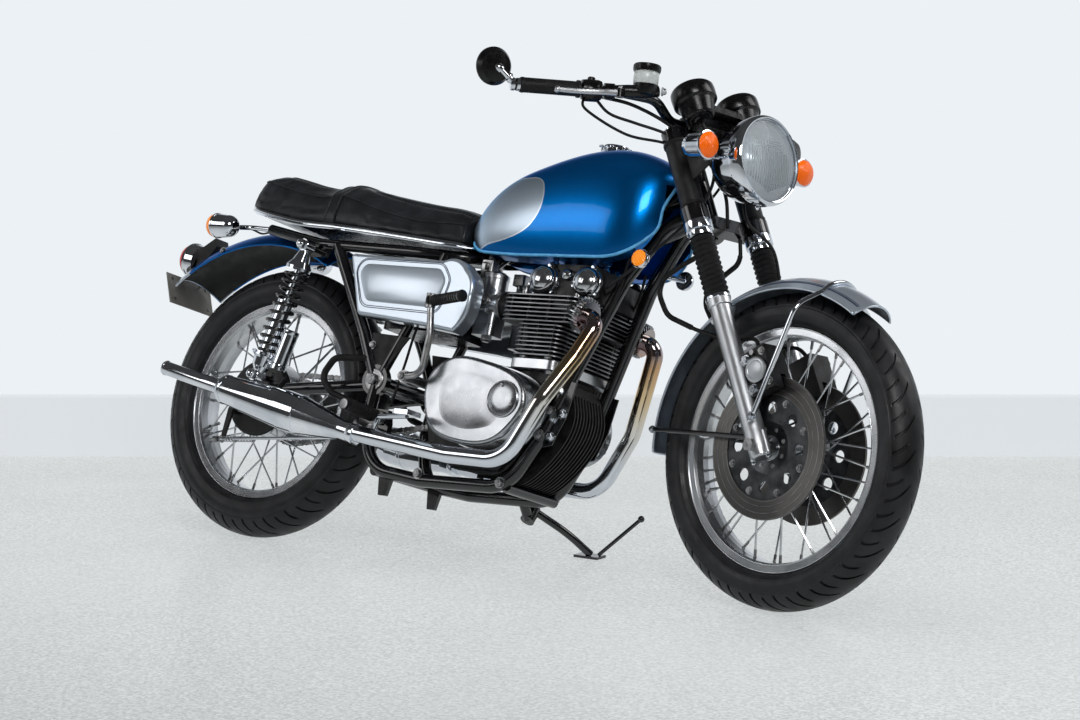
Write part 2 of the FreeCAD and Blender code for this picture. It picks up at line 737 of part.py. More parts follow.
def left_cover():
    """The alternator cover and the sprocket cover on the left."""
    alternator = turned([(1, 0), (1, 78), (60, 78), (76, 64), (82, 0)],
                        (798, CASE_HALF, 350), LEFT, unit((0.4, 0, 1)))
    gearbox = soft_plate([(472, 270), (478, 444), (742, 438), (724, 262)], CASE_HALF, COVER_FACE_Y - 22.0,
                         44.0, 8.0)
    return fused([alternator, gearbox]).cut(cradle_space())


def cylinders():
    """The cylinder block: a plain base, a core and a stack of cooling fins."""
    core = rounded_block(CYLINDER_X - CYLINDER_HALF_DEPTH + FIN_DEPTH,
                         CYLINDER_X + CYLINDER_HALF_DEPTH - FIN_DEPTH,
                         -CYLINDER_HALF_WIDTH + FIN_DEPTH, CYLINDER_HALF_WIDTH - FIN_DEPTH,
                         CASE_TOP, CYLINDER_TOP, 22.0)
    base = rounded_block(CYLINDER_X - 58, CYLINDER_X + 58, -128, 128, CASE_TOP, CASE_TOP + 20.0, 18.0)
    plates = [core, base]
    level = CASE_TOP + 20.0 + FIN_PITCH / 2
    while level + FIN_THICK < CYLINDER_TOP:
        plates.append(rounded_block(CYLINDER_X - CYLINDER_HALF_DEPTH, CYLINDER_X + CYLINDER_HALF_DEPTH,
                                    -CYLINDER_HALF_WIDTH, CYLINDER_HALF_WIDTH,
                                    level, level + FIN_THICK, 20.0))
        level += FIN_PITCH
    return fused(plates)


def cylinder_head():
    """The finned head with its rocker box and four rocker shaft domes."""
    core = rounded_block(HEAD_X - 68, HEAD_X + 66, -118, 118, CYLINDER_TOP, HEAD_TOP, 22.0)
    plates = [core]
    level = CYLINDER_TOP
    while level + FIN_THICK < HEAD_TOP:
        plates.append(rounded_block(HEAD_X - HEAD_FIN_REACH - 40, HEAD_X + HEAD_FIN_REACH,
                                    -CYLINDER_HALF_WIDTH - 4, CYLINDER_HALF_WIDTH + 4,
                                    level, level + FIN_THICK, 20.0))
        level += FIN_PITCH
    plates.append(rounded_block(DOME_X[0] - 36, DOME_X[1] + 30, -88, 88, HEAD_TOP - 4, DOME_Z + 22, 20.0))
    plates.append(rounded_block(DOME_X[0] - 10, DOME_X[1] + 4, -82, 82, HEAD_TOP, ROCKER_TOP, 20.0))
    for side in (-1, 1):
        port_end, outward = header_port(side)
        plates.append(rod(port_end - outward * 60, port_end, 25.0))
    head = fused(plates)
    for side in (-1, 1):
        port_end, outward = header_port(side)
        head = head.cut(rod(port_end - outward * 16, port_end + outward * 20, HEADER_RADIUS + SEAT_GAP))
    return head


def header_port(side):
    """The mouth of one exhaust port, and its outward direction."""
    outward = unit((28, side * 4, -9))
    return V(PORT[0], side * PORT[1], PORT[2]), outward


def rocker_covers():
    """Polished domes on both ends of the rocker box."""
    domes = []
    for side in (-1, 1):
        for x in DOME_X:
            domes.append(turned([(0, 0), (0, 32), (8, 33), (24, 24, 19, 31), (32, 0, *pole_arc(24, 24, 32))],
                                (x, side * 88, DOME_Z), LEFT * side, UP))
    return group(domes)


def carburettor(side):
    """A carburettor: inlet stub, body, float bowl, vacuum top and open bell."""
    y = side * 72
    z = 588
    front = HEAD_X - HEAD_FIN_REACH - 40 - SEAT_GAP
    barrel = turned([(0, 0), (0, 24), (44, 24), (44, 31), (98, 31), (98, 34), (138, 42), (142, 42), (142, 0)],
                    (front, y, z), V(-1, 0, 0), UP)
    bowl = rounded_block(front - 104, front - 46, y - 27, y + 27, z - 72, z - 8, 12.0)
    top = rod((front - 74, y, z), (front - 74, y, z + 66), 27.0)
    return fused([barrel, bowl, top])


def fuel_tap(side):
    """The tap under the tank's rear end."""
    body = rounded_block(600, 634, side * 64 - 13, side * 64 + 13, 668, 694, 6.0)
    return body


def exhaust_headers():
    return group([header(-1), header(1)])


def header(side):
    """One exhaust pipe from its port, forward, down past the cradle and back to the muffler."""
    port, outward = header_port(side)
    start = port + outward * 0.3
    pipe = tube([start, port + outward * 62, (956, side * 148, 470), (915, side * 188, 361),
                 (850, side * 190, 224), (700, side * 194, 224), (424, side * 200, 250)],
                HEADER_RADIUS, 74.0)
    clamp = rod(port + outward * 18, port + outward * 31, 34.0)
    return fused([pipe, clamp])


def mufflers():
    return group([muffler(-1), muffler(1)])


def muffler(side):
    """A tapered muffler: neck, long body, end cone and upswept tail pipe."""
    front = V(410, side * 198, 251)
    body_end = V(16, side * MUFFLER_Y, 322)
    line = unit(body_end - front)
    length = (body_end - front).Length
    profile = [(-24, 0), (-24, 23), (18, 23), (40, 27), (140, 46), (190, 47), (length - 24, 34),
               (length, 18), (length, 0)]
    body = turned(profile, front, line, line.cross(LEFT))
    tail = tube([body_end - line * 6, body_end + line * 30, (-164, side * (MUFFLER_Y + 6), 356)], 17.0)
    return fused([body, tail]).cut(header(side))


# Bodywork

def section_wire(x, half, top, bottom, crown, tuck):
    """A tank or seat section: a flat bottom and one smooth curve over the top."""
    height = top - bottom
    points = []
    for share, rise in ((tuck, 0.0), (1.0, 0.30), (0.985, 0.58), (crown, 0.86), (0.42, 0.975), (0.0, 1.0)):
        points.append((share * half, bottom + rise * height))
    right = [V(x, -y, z) for y, z in points]
    left = [V(x, y, z) for y, z in points[:-1]]
    curve = Part.BSplineCurve()
    curve.interpolate(right + left[::-1])
    base = Part.LineSegment(left[0], right[0])
    return Part.Wire([curve.toShape(), base.toShape()])


TUNNEL_HALF = 34.0
TANK_STATIONS = (
    (556.0, 66.0, 800.0, 742.0), (590.0, 96.0, 838.0, 714.0), (650.0, 114.0, 893.0, 704.0),
    (730.0, 124.0, 930.0, 700.0), (820.0, 130.0, 958.0, 700.0), (900.0, 133.0, 970.0, 700.0),
    (980.0, 130.0, 962.0, 706.0), (1032.0, 112.0, 942.0, 736.0), (1060.0, 84.0, 924.0, 776.0),
    (1076.0, 58.0, 908.0, 800.0),
)


def fuel_tank():
    """A teardrop tank, solid above a tunnel that rides over the frame's backbone."""
    wires = [section_wire(x, half, top, bottom, 0.80, 0.86) for x, half, top, bottom in TANK_STATIONS]
    body = Part.makeLoft(wires, True, False)
    tunnel = side_plate([(520, 640), (1200, 640), (1200, 960), (1074, 916), (900, 860), (648, 802),
                         (590, 762), (520, 762)], -TUNNEL_HALF, TUNNEL_HALF)
    wide_tunnel = side_plate([(930, 640), (1200, 640), (1200, 880), (1040, 880), (930, 720)], -76, 76)
    steering_space = rod(on_stem(LOWER_CLAMP_AT), on_stem(UPPER_CLAMP_AT + 60), 44.0)
    return body.cut(tunnel).cut(wide_tunnel).cut(steering_space)


def tank_cap():
    """The filler cap on the tank's crest."""
    cap = turned([(-12, 0), (-12, 34), (12, 34), (18, 30), (18, 0)], (862, 0, 966.5), UP, V(1, 0, 0))
    return cap.cut(fuel_tank())


SEAT_STATIONS = (
    (-112.0, 92.0, 866.0, 806.0), (-84.0, 112.0, 893.0, 790.0), (-20.0, 124.0, 884.0, 776.0),
    (60.0, 128.0, 869.0, 762.0), (180.0, 128.0, 868.0, 754.0), (300.0, 127.0, 850.0, 744.0),
    (420.0, 118.0, 832.0, 734.0), (500.0, 106.0, 824.0, 728.0), (546.0, 92.0, 812.0, 726.0),
)


def seat():
    """The padded seat with its raised tail."""
    wires = [section_wire(x, half, top, bottom, 0.90, 0.97) for x, half, top, bottom in SEAT_STATIONS]
    return Part.makeLoft(wires, True, False)


def seat_base():
    """The seat's pan under the padding, with its bright lower edge."""
    wires = []
    for x, half, _, bottom in SEAT_STATIONS:
        low, high = bottom - 12.0, bottom - SEAT_GAP
        edge = half * 0.97
        corners = [V(x, -edge, low), V(x, edge, low), V(x, edge, high), V(x, -edge, high)]
        wires.append(Part.makePolygon(corners + corners[:1]))
    return Part.makeLoft(wires, True, True).cut(seat())


def side_cover(side):
    """A dished side panel under the seat."""
    plate = side_plate([
        (284, 668), (300, 676, 289, 675), (560, 668), (632, 650, 612, 668), (656, 590, 654, 622),
        (622, 504, 648, 540), (540, 514), (352, 530), (330, 545, 338, 533),
    ], side * 122, side * 164)
    outer = [edge for edge in plate.Edges if abs(abs(edge.CenterOfMass.y) - 164) < 0.5]
    return plate.makeFillet(9.0, outer)


REAR_FENDER_CENTRE = V(-50.0, 0, 290.0)
REAR_FENDER_CREST = 466.0


def fender_shell(axle, crest, half, drop, wall, start, end):
    """A curved sheet fender: an arched section turned about a centre through an angle."""
    turn = math.radians(start)
    radial = V(math.cos(turn), 0, math.sin(turn))
    profile = [
        (-half, crest - drop),
        (half, crest - drop, 0, crest),
        (half - wall, crest - drop - 0.5),
        (-half + wall, crest - drop - 0.5, 0, crest - wall),
    ]
    return turned(profile, axle, V(0, -1, 0), radial, end - start)


def front_fender():
    """A long fender over the front wheel with its stays, carried by the fork legs."""
    shell = fender_shell(FRONT_AXLE, 362.0, 60.0, 30.0, 3.0, 57.0, 184.0)
    bridge_turn = math.radians(117.0)
    bridge_at = V(WHEELBASE + 352 * math.cos(bridge_turn), 0, FRONT_AXLE.z + 352 * math.sin(bridge_turn))
    stays = []
    for side in (-1, 1):
        lug = on_leg(52, side) + FORWARD * 26 + LEFT * (side * 28)
        shoulder = wheel_point(FRONT_AXLE, 74, 300, side * 122)
        stays.append(tube([wheel_point(FRONT_AXLE, 74, 337, side * 58), shoulder, lug], 5.0, 40.0))
        stays.append(rod(lug + FORWARD * 4, on_leg(52, side) + LEFT * (side * 10), 6.0))
        stays.append(rod(wheel_point(FRONT_AXLE, 176, 338, side * 60), on_leg(30, side) - FORWARD * 22, 5.0))
        stays.append(rod(bridge_at + V(0, side * 40, -12), on_leg(300, side) - LEFT * (side * 21), 7.0))
    return fused([shell] + stays).cut(fork_legs_space())


def fork_legs_space():
    return group([rod(on_leg(-20, side), on_leg(FORK_LOWER_TOP, side), FORK_LOWER_RADIUS + SEAT_GAP)
                  for side in (-1, 1)])


def rear_fender():
    """The fender over the rear wheel, up to the tail."""
    return fender_shell(REAR_FENDER_CENTRE, REAR_FENDER_CREST, 84.0, 46.0, 3.0, 62.0, 134.0)


def rear_fender_space():
    """Everything inside the rear fender's outer face."""
    crest = REAR_FENDER_CREST + SEAT_GAP
    return turned([(-84.5, 300.0), (84.5, 300.0), (84.5, crest - 46.0), (-84.5, crest - 46.0, 0, crest)],
                  REAR_FENDER_CENTRE, V(0, -1, 0), V(1, 0, 0))


def tail_light():
    """The tail light's bright body with its lens, on the fender's tail."""
    body = turned([(0, 0), (0, 40), (30, 44), (34, 40), (34, 0)], (-352, 0, 676), V(-1, 0, 0.12), V(0.12, 0, 1))
    bracket = side_plate([(-352, 700), (-300, 735), (-290, 715), (-345, 640)], -22, 22)
    return fused([body, bracket]).cut(rear_fender_space())


def rear_signal(side):
    """One rear signal: stalk, bullet body and lens."""
    stalk = tube([(-42, side * 99.8, 742.4), (-104, side * 108, 744), (-118, side * 165, 728)], 6.0, 30.0)
    body = turned([(-34, 0), (-34, 12), (-10, 27, -26, 22), (28, 30), (36, 26), (40, 0)],
                  (-118, side * 180, 727), V(-1, 0, 0), UP)
    return fused([stalk, body])


PLATE_CENTRE = V(-370, 0, 590)
PLATE_NORMAL = unit((-0.88, 0, -0.4))
PLATE_DOWN = LEFT.cross(PLATE_NORMAL)


def plate_bracket():
    """The blank number plate with its four fixing holes."""
    normal, down, centre = PLATE_NORMAL, PLATE_DOWN, PLATE_CENTRE
    corners = []
    for across, along in ((-80, -42), (80, -42), (80, 42), (-80, 42)):
        corners.append(centre + LEFT * across + down * along)
    plate = Part.Face(Part.makePolygon(corners + corners[:1])).extrude(normal * 3.0)
    for across in (-30, 30):
        arm = rod(centre + LEFT * across - normal * 1 + down * 22, V(-346, across, 642), 5.0)
        plate = fused([plate, arm.cut(rear_fender_space())])
    for across in (-62, 62):
        for along in (-28, 28):
            hole = centre + LEFT * across + down * along - normal * 5
            plate = plate.cut(Part.makeCylinder(3.5, 20.0, hole, normal))
    return plate


# Controls on the frame

def foot_controls():
    """Rider's and passenger's pegs, with the brake pedal on the right and the gear lever on the left."""
    solids = []
    for side in (-1, 1):
        solids.append(fused([
            rod((440, side * 128.3, 300), (440, side * 170, 300), 9.0),
            rod((440, side * 160, 300), (440, side * 262, 304), 14.0),
        ]))
    return group(solids)


def brake_pedal():
    """The right foot's pedal on its pivot, with the rod that runs back to the drum's cam arm."""
    x, z = PEDAL_PIVOT
    start = PEG_PLATE_Y - SEAT_GAP
    arm = tube([(x, -156, z), (x + 52, -206, z + 26), (x + 146, -224, z + 30)], 6.5, 30.0)
    pad = rounded_block(x + 136, x + 180, -264, -216, z + 28, z + 38, 4.0)
    tail = rod((x, -142, z), (410, -138, 250), 6.0)
    pull = rod((412, -138, 250), (-62, -104.9, 216), 3.6)
    return fused([rod((x, start, z), (x, -166, z), 10.0), arm, pad, tail, pull])


def gear_lever():
    """The left foot's lever on the gearbox shaft, with its rubber."""
    face = COVER_FACE_Y - 22.0 + SEAT_GAP
    shaft = rod((556, face, 300), (556, face + 26, 300), 9.0)
    arm = tube([(556, face + 18, 300), (606, face + 24, 296), (652, face + 44, 286)], 6.0, 60.0)
    toe = rod((652, face + 38, 286), (656, face + 84, 288), 10.0)
    return fused([shaft, arm, toe])


def reflector(side):
    """A round side reflector on a stalk from the cradle's tube."""
    stalk = rod((1006, side * 50, 706), (1042, side * 93, 706), 6.0)
    disc = turned([(0, 0), (0, 19), (3, 21), (9, 21), (12, 18), (12, 0)], (1042, side * 91, 706), LEFT * side, UP)
    return fused([stalk, disc]).cut(cradle_space())


def kickstarter():
    """The kick lever folded against the engine."""
    return fused([
        rod((560, -COVER_FACE_Y + 60, 384), (560, -232, 384), 11.0),
        tube([(560, -224, 384), (612, -228, 392), (620, -234, 480), (606, -236, 556)], 8.0, 30.0),
        rod((606, -236, 556), (712, -262, 566), 11.0),
    ])


def battery_box():
    """The box of the battery and electrics between the side covers."""
    return rounded_block(345, 530, -78, 78, 520, 680, 14.0)


# Steering

def triple_clamps():
    """Lower and upper clamps joined by the steering stem."""
    pieces = [rod(on_stem(LOWER_CLAMP_AT - 20), on_stem(UPPER_CLAMP_AT + 30), STEM_RADIUS)]
    for at, thick, radius in ((LOWER_CLAMP_AT, LOWER_CLAMP_THICK, 30.0),
                              (UPPER_CLAMP_AT, UPPER_CLAMP_THICK, 27.0)):
        start = -thick / 2
        for side in (-1, 1):
            pieces.append(rod(on_leg(at + start, side), on_leg(at - start, side), radius))
        pieces.append(rod(on_stem(at + start), on_stem(at - start), 27.0))
        bar = Part.makeBox(2 * FORK_HALF_SPREAD, 30.0, thick)
        bar.Placement = FreeCAD.Placement(
            V(0, 0, 0), FreeCAD.Rotation(LEFT, FORWARD * -1, AXIS, "XYZ"))
        bar.translate(on_stem(at + start) + FORWARD * (FORK_OFFSET - 2) - LEFT * FORK_HALF_SPREAD)
        pieces.append(bar)
    body = fused(pieces)
    for side in (-1, 1):
        body = body.cut(rod(on_leg(LOWER_CLAMP_AT - 60, side), on_leg(UPPER_CLAMP_AT + 60, side),
                            FORK_TUBE_RADIUS))
    return body


def fork_tube(side):
    return rod(on_leg(FORK_LOWER_TOP - 40, side), on_leg(UPPER_CLAMP_AT + 22, side), FORK_TUBE_RADIUS)


def fork_lower(side):
    """An aluminium fork leg with its collar, axle clamp and caliper lugs."""
    leg = turned([(-26, 0), (-26, 18), (-12, FORK_LOWER_RADIUS), (FORK_LOWER_TOP - 22, FORK_LOWER_RADIUS),
                  (FORK_LOWER_TOP - 18, FORK_LOWER_RADIUS + 3), (FORK_LOWER_TOP, FORK_LOWER_RADIUS + 3),
                  (FORK_LOWER_TOP, 0)], on_leg(0, side), AXIS, FORWARD)
    axle_hole = rod(V(*FRONT_AXLE) - LEFT * 200, V(*FRONT_AXLE) + LEFT * 200, AXLE_RADIUS)
    tube_hole = rod(on_leg(FORK_LOWER_TOP - 40, side), on_leg(FORK_LOWER_TOP + 10, side), FORK_TUBE_RADIUS)
    lugs = []
    for at in (112, 178):
        lugs.append(rod(on_leg(at, side), on_leg(at, side) + FORWARD * 40, 9.0))
    return fused([leg] + lugs).cut(axle_hole).cut(tube_hole)


def gaiter(side):
    """A ribbed rubber sleeve between the leg and the lower clamp."""
    start = FORK_LOWER_TOP + SEAT_GAP
    length = GAITER_TOP - start
    ribs = 12
    pitch = length / ribs
    points = [(0, FORK_TUBE_RADIUS + SEAT_GAP), (0, GAITER_RADIUS - 4)]
    for number in range(ribs):
        points.append((pitch * (number + 0.5), GAITER_RADIUS))
        points.append((pitch * (number + 1), GAITER_RADIUS - 4))
    points.append((length, FORK_TUBE_RADIUS + SEAT_GAP))
    return turned(points, on_leg(start, side), AXIS, FORWARD)


def fork_cover(side):
    """The sleeve between the clamps, with the ear that carries the headlight."""
    low = LOWER_CLAMP_AT + LOWER_CLAMP_THICK / 2 + SEAT_GAP
    high = UPPER_CLAMP_AT - UPPER_CLAMP_THICK / 2 - SEAT_GAP
    sleeve = rod(on_leg(low, side), on_leg(high, side), 26.0)
    x = HEADLIGHT_X
    ear = side_plate([(x - 146, 866), (x - 72, 922), (x - 70, 962), (x - 90, 974), (x - 168, 968)],
                     side * 100, side * 105)
    inside = rod(on_leg(low - 1, side), on_leg(high + 1, side), FORK_TUBE_RADIUS + 2.0)
    return fused([sleeve, ear]).cut(inside)


HEADLIGHT_TILT = 6.0


def headlight_axis():
    return V(math.cos(math.radians(HEADLIGHT_TILT)), 0, math.sin(math.radians(HEADLIGHT_TILT)))


def headlight():
    """The round shell and its rim, hollow behind the glass."""
    face = V(HEADLIGHT_X, 0, HEADLIGHT_Z)
    axis = headlight_axis()
    radial = V(-axis.z, 0, axis.x)
    shell = turned([
        (0, HEADLIGHT_RADIUS - 9), (2, HEADLIGHT_RADIUS - 3), (-8, HEADLIGHT_RADIUS),
        (-26, HEADLIGHT_RADIUS), (-28, HEADLIGHT_RADIUS - 5),
        (-60, HEADLIGHT_RADIUS - 8), (-132, 0, *pole_arc(-60, HEADLIGHT_RADIUS - 8, -132)),
        (-126, 0), (-60, HEADLIGHT_RADIUS - 12, *pole_arc(-60, HEADLIGHT_RADIUS - 12, -126)),
        (-20, HEADLIGHT_RADIUS - 9),
    ], face, axis, radial)
    bolt_x = HEADLIGHT_X - 78.0
    bolts = [rod((bolt_x, side * 70, 942), (bolt_x, side * 99.7, 942), 6.0) for side in (-1, 1)]
    return fused([shell] + bolts)


def headlight_glass():
    """The domed glass, seated in the rim."""
    face = V(HEADLIGHT_X, 0, HEADLIGHT_Z)
    axis = headlight_axis()
    radial = V(-axis.z, 0, axis.x)
    seat_radius = HEADLIGHT_RADIUS - 9 - SEAT_GAP
    return turned([(-12, 0), (-12, seat_radius), (-4, seat_radius), (8, 0, *pole_arc(-4, seat_radius, 8))],
                  face, axis, radial)


BAR_CENTRE = V(WHEELBASE - 351, 0, 1022)
BAR_INNER = V(WHEELBASE - 369, 240, 1058)
BAR_END = V(WHEELBASE - 477, 430, 1040)


def bar_points(side):
    """The bar's bends from its middle to one end."""
    corners = [BAR_CENTRE, BAR_CENTRE + LEFT * 100, V(BAR_CENTRE.x + 8, 158, 1058), BAR_INNER, BAR_END]
    return [(point.x, side * point.y, point.z) for point in corners]


def handlebar():
    """The bar with its two clamps on the upper bracket."""
    pieces = [tube(bar_points(side), BAR_RADIUS, 60.0) for side in (-1, 1)]
    top = UPPER_CLAMP_AT + UPPER_CLAMP_THICK / 2 + SEAT_GAP
    height = (BAR_CENTRE - STEM_FOOT).dot(AXIS) - top
    for side in (-1, 1):
        middle = BAR_CENTRE + LEFT * (side * 46)
        pieces.append(rod(middle - AXIS * height, middle, 14.0))
        pieces.append(rod(middle - LEFT * 12, middle + LEFT * 12, 20.0))
    return fused(pieces).cut(rod(on_stem(0), on_stem(top), 400.0))


def grip_line(side):
    end = V(BAR_END.x, side * BAR_END.y, BAR_END.z)
    inner = V(BAR_INNER.x, side * BAR_INNER.y, BAR_INNER.z)
    return inner, end, unit(end - inner)


def grip(side):
    """A rubber grip on the bar's end."""
    inner, end, line = grip_line(side)
    start = end - line * 128
    body = rod(start, end + line * 2, 16.0)
    return body.cut(rod(start - line * 5, end, BAR_RADIUS))


def hand_control(side):
    """Switch housing, lever perch and lever on one side."""
    inner, end, line = grip_line(side)
    housing = rod(end - line * 176, end - line * 132, 21.0)
    perch = rod(end - line * 206, end - line * 182, 17.0)
    pivot = end - line * 194 + V(34, 0, -6)
    tip = end - line * 18 + V(44, 0, -10)
    arm = rod(end - line * 194, pivot, 9.0)
    lever = tube([pivot, end - line * 150 + V(52, 0, -8), end - line * 90 + V(50, 0, -10), tip], 6.0, 60.0)
    body = fused([housing, perch, arm, lever])
    if side < 0:
        cup = end - line * 214 + V(22, 0, 6)
        body = fused([body, rod(end - line * 200, cup, 10.0),
                      rod(cup + V(0, 0, -12), cup + V(0, 0, 40), 20.0)])
    return body.cut(tube(bar_points(side), BAR_RADIUS, 60.0))


def mirror(side):
    """A round bar-end mirror on a short stem."""
    inner, end, line = grip_line(side)
    clamp = rod(end + line * 2.3, end + line * 22, 13.0)
    centre = V(BAR_END.x - 26, side * 484, 1070)
    stem = rod(end + line * 14, centre + V(6, 0, 0), 5.0)
    face = unit((-1, side * -0.25, 0.1))
    head = turned([(-8, 0), (-5, 34, *pole_arc(-5, 34, -8)), (6, 41), (10, 41), (10, 0)], centre, face,
                  unit(face.cross(UP).cross(face)))
    return fused([clamp, stem, head])


def gauge(side):
    """A round instrument cup, tilted back to the rider."""
    line = unit((-0.50, 0, 0.87))
    base = V(HEADLIGHT_X - 140, side * 72, 1030)
    return turned([(0, 0), (0, 24), (8, 34, 2, 30), (37, 41), (42, 47), (66, 48), (74, 44), (74, 0)], base, line,
                  line.cross(LEFT))


def gauges():
    """Both instruments on their bracket."""
    x = HEADLIGHT_X - 140
    bracket = side_plate([(x - 40, 1012), (x, 1020), (x + 14, 1032), (x - 10, 1044), (x - 42, 1030)], -74, 74)
    return fused([gauge(-1), gauge(1), bracket])


def front_signal(side):
    """One front signal on its stalk beside the headlight."""
    x = HEADLIGHT_X - 85
    stalk = tube([(x, side * 105.3, 944), (x, side * 124, 944), (x + 29, side * 152, 952)], 6.0, 12.0)
    body = turned([(-42, 0), (-42, 10), (-16, 27, -32, 20), (22, 30), (30, 26), (34, 0)],
                  (x + 29, side * 156, 952), V(1, 0, 0), UP)
    return fused([stalk, body])


def caliper(side):
    """A brake caliper ahead of the leg, with a slot that the disc runs through."""
    centre = on_leg(145, side) + FORWARD * 56
    inner = side * (DISC_CENTRE_Y - 22)
    outer = side * (DISC_CENTRE_Y + 38)
    body = Part.makeBox(60, abs(outer - inner), 96)
    body.Placement = FreeCAD.Placement(V(0, 0, 0), FreeCAD.Rotation(FORWARD, LEFT, AXIS, "XYZ"))
    body.translate(V(centre.x, min(inner, outer), centre.z) - FORWARD * 30 - AXIS * 48)
    round_end = rod((centre.x, side * (DISC_CENTRE_Y + 20), centre.z),
                    (centre.x, side * (DISC_CENTRE_Y + 46), centre.z), 26.0)
    solid = fused([body, round_end])
    gap = DISC_THICK / 2 + RUNNING_GAP
    slot = wheel_turned([(side * (DISC_CENTRE_Y - gap), 60.0),
                         (side * (DISC_CENTRE_Y - gap), DISC_RADIUS + RUNNING_GAP),
                         (side * (DISC_CENTRE_Y + gap), DISC_RADIUS + RUNNING_GAP),
                         (side * (DISC_CENTRE_Y + gap), 60.0)], FRONT_AXLE)
    legs = rod(on_leg(60, side), on_leg(260, side), FORK_LOWER_RADIUS + SEAT_GAP)
    lugs = [rod(on_leg(at, side), on_leg(at, side) + FORWARD * 40.3, 9.3) for at in (112, 178)]
    return solid.cut(slot).cut(legs).cut(group(lugs))


def brake_hose(side):
    """A guarded hose that loops behind the fork from the lower clamp to the caliper."""
    start = on_stem(LOWER_CLAMP_AT - LOWER_CLAMP_THICK / 2 - 2.0) + FORWARD * 32
    end = on_leg(145 + 48 + 4.5, 0) + FORWARD * 56
    x = FRONT_AXLE.x
    route = [(start.x, 56, start.z), (x - 245, 60, 738), (x - 295, 68, 712), (x - 345, 72, 682), (x - 351, 74, 648),
             (x - 317, 76, 600), (x - 229, 76, 571), (x - 135, 66.5, 548), (x - 63, 68, 556), (end.x, 80, end.z)]
    return tube([(px, side * py, pz) for px, py, pz in route], HOSE_RADIUS, 60.0)


def front_axle():
    """The axle through both fork legs."""
    half = FORK_HALF_SPREAD + FORK_LOWER_RADIUS
    spindle = rod(FRONT_AXLE - LEFT * (half + 6), FRONT_AXLE + LEFT * (half + 6), AXLE_RADIUS)
    head = hexagon(FRONT_AXLE - LEFT * (half + 1), LEFT * -1, 24.0, 10.0)
    nut = hexagon(FRONT_AXLE + LEFT * (half + 1), LEFT, 24.0, 10.0)
    spacers = []
    for side in (-1, 1):
        spacers.append(rod(FRONT_AXLE + LEFT * (side * (FRONT_HUB_HALF + 1.0)),
                           FRONT_AXLE + LEFT * (side * (FORK_HALF_SPREAD - FORK_LOWER_RADIUS - SEAT_GAP)),
                           14.0))
    return fused([spindle, head, nut] + spacers)


# Side stand

STAND_FOOT = from_floor(810.0, 276.0)
STAND_PIVOT = V(716.0, 134.0, 156.0)
STAND_FOLDED = V(716.0 - 270.0, 142.0, 148.0)


def stand_axis():
    """The pivot bolt's axis, square to the leg both when it is out and when it is folded."""
    out = unit(STAND_FOOT - STAND_PIVOT)
    folded = unit(STAND_FOLDED - STAND_PIVOT)
    return unit(out.cross(folded))


def stand_bracket():
    """The lug under the left rail that carries the stand's pivot bolt."""
    axis = stand_axis()
    pad = rod(STAND_PIVOT - axis * 4, STAND_PIVOT - axis * 26, 17.0)
    arm = tube([(716, CRADLE_HALF, CRADLE_Z), STAND_PIVOT - axis * 19], 12.0)
    bolt = rod(STAND_PIVOT - axis * 26, STAND_PIVOT + axis * 20, 6.0)
    eye_space = rod(STAND_PIVOT - axis * 4, STAND_PIVOT + axis * 60, 60.0)
    return fused([fused([pad, arm]).cut(eye_space), bolt])


STAND_BRACKET = stand_bracket()


def side_stand():
    """The prop leg with its flat foot and the tang that the rider kicks it out with."""
    axis = stand_axis()
    eye = rod(STAND_PIVOT - axis * 3.7, STAND_PIVOT + axis * 14, 15.0)
    foot_top = from_floor(810.0, 276.0, 8.0)
    knee = (STAND_PIVOT + foot_top) * 0.5 + unit((1, 0.4, 0.2)) * 14
    leg = tube([STAND_PIVOT + axis * 6, knee, foot_top], 9.0)
    corners = [from_floor(x, y, 0.0) for x, y in ((772, 262), (838, 262), (838, 298), (772, 298))]
    upward = from_floor(0, 0, 6.0) - from_floor(0, 0, 0.0)
    plate = Part.Face(Part.makePolygon(corners + corners[:1])).extrude(upward)
    leg_cut = below_floor()
    tang = rod(from_floor(830, 280, 8.0), from_floor(922, 318, 96.0), 4.5)
    ball = Part.makeSphere(8.0, from_floor(922, 318, 96.0))
    body = fused([eye, leg.cut(leg_cut), plate, tang, ball])
    return body.cut(rod(STAND_PIVOT - axis * 30, STAND_PIVOT + axis * 20, 6.0 + SHAFT_CLEARANCE))


def below_floor():
    """A large block that fills the space under the floor of the parked motorcycle."""
    slab = Part.makeBox(400, 400, 60, V(600, 80, -60))
    slab.Placement = PARKED.inverse()
    return slab


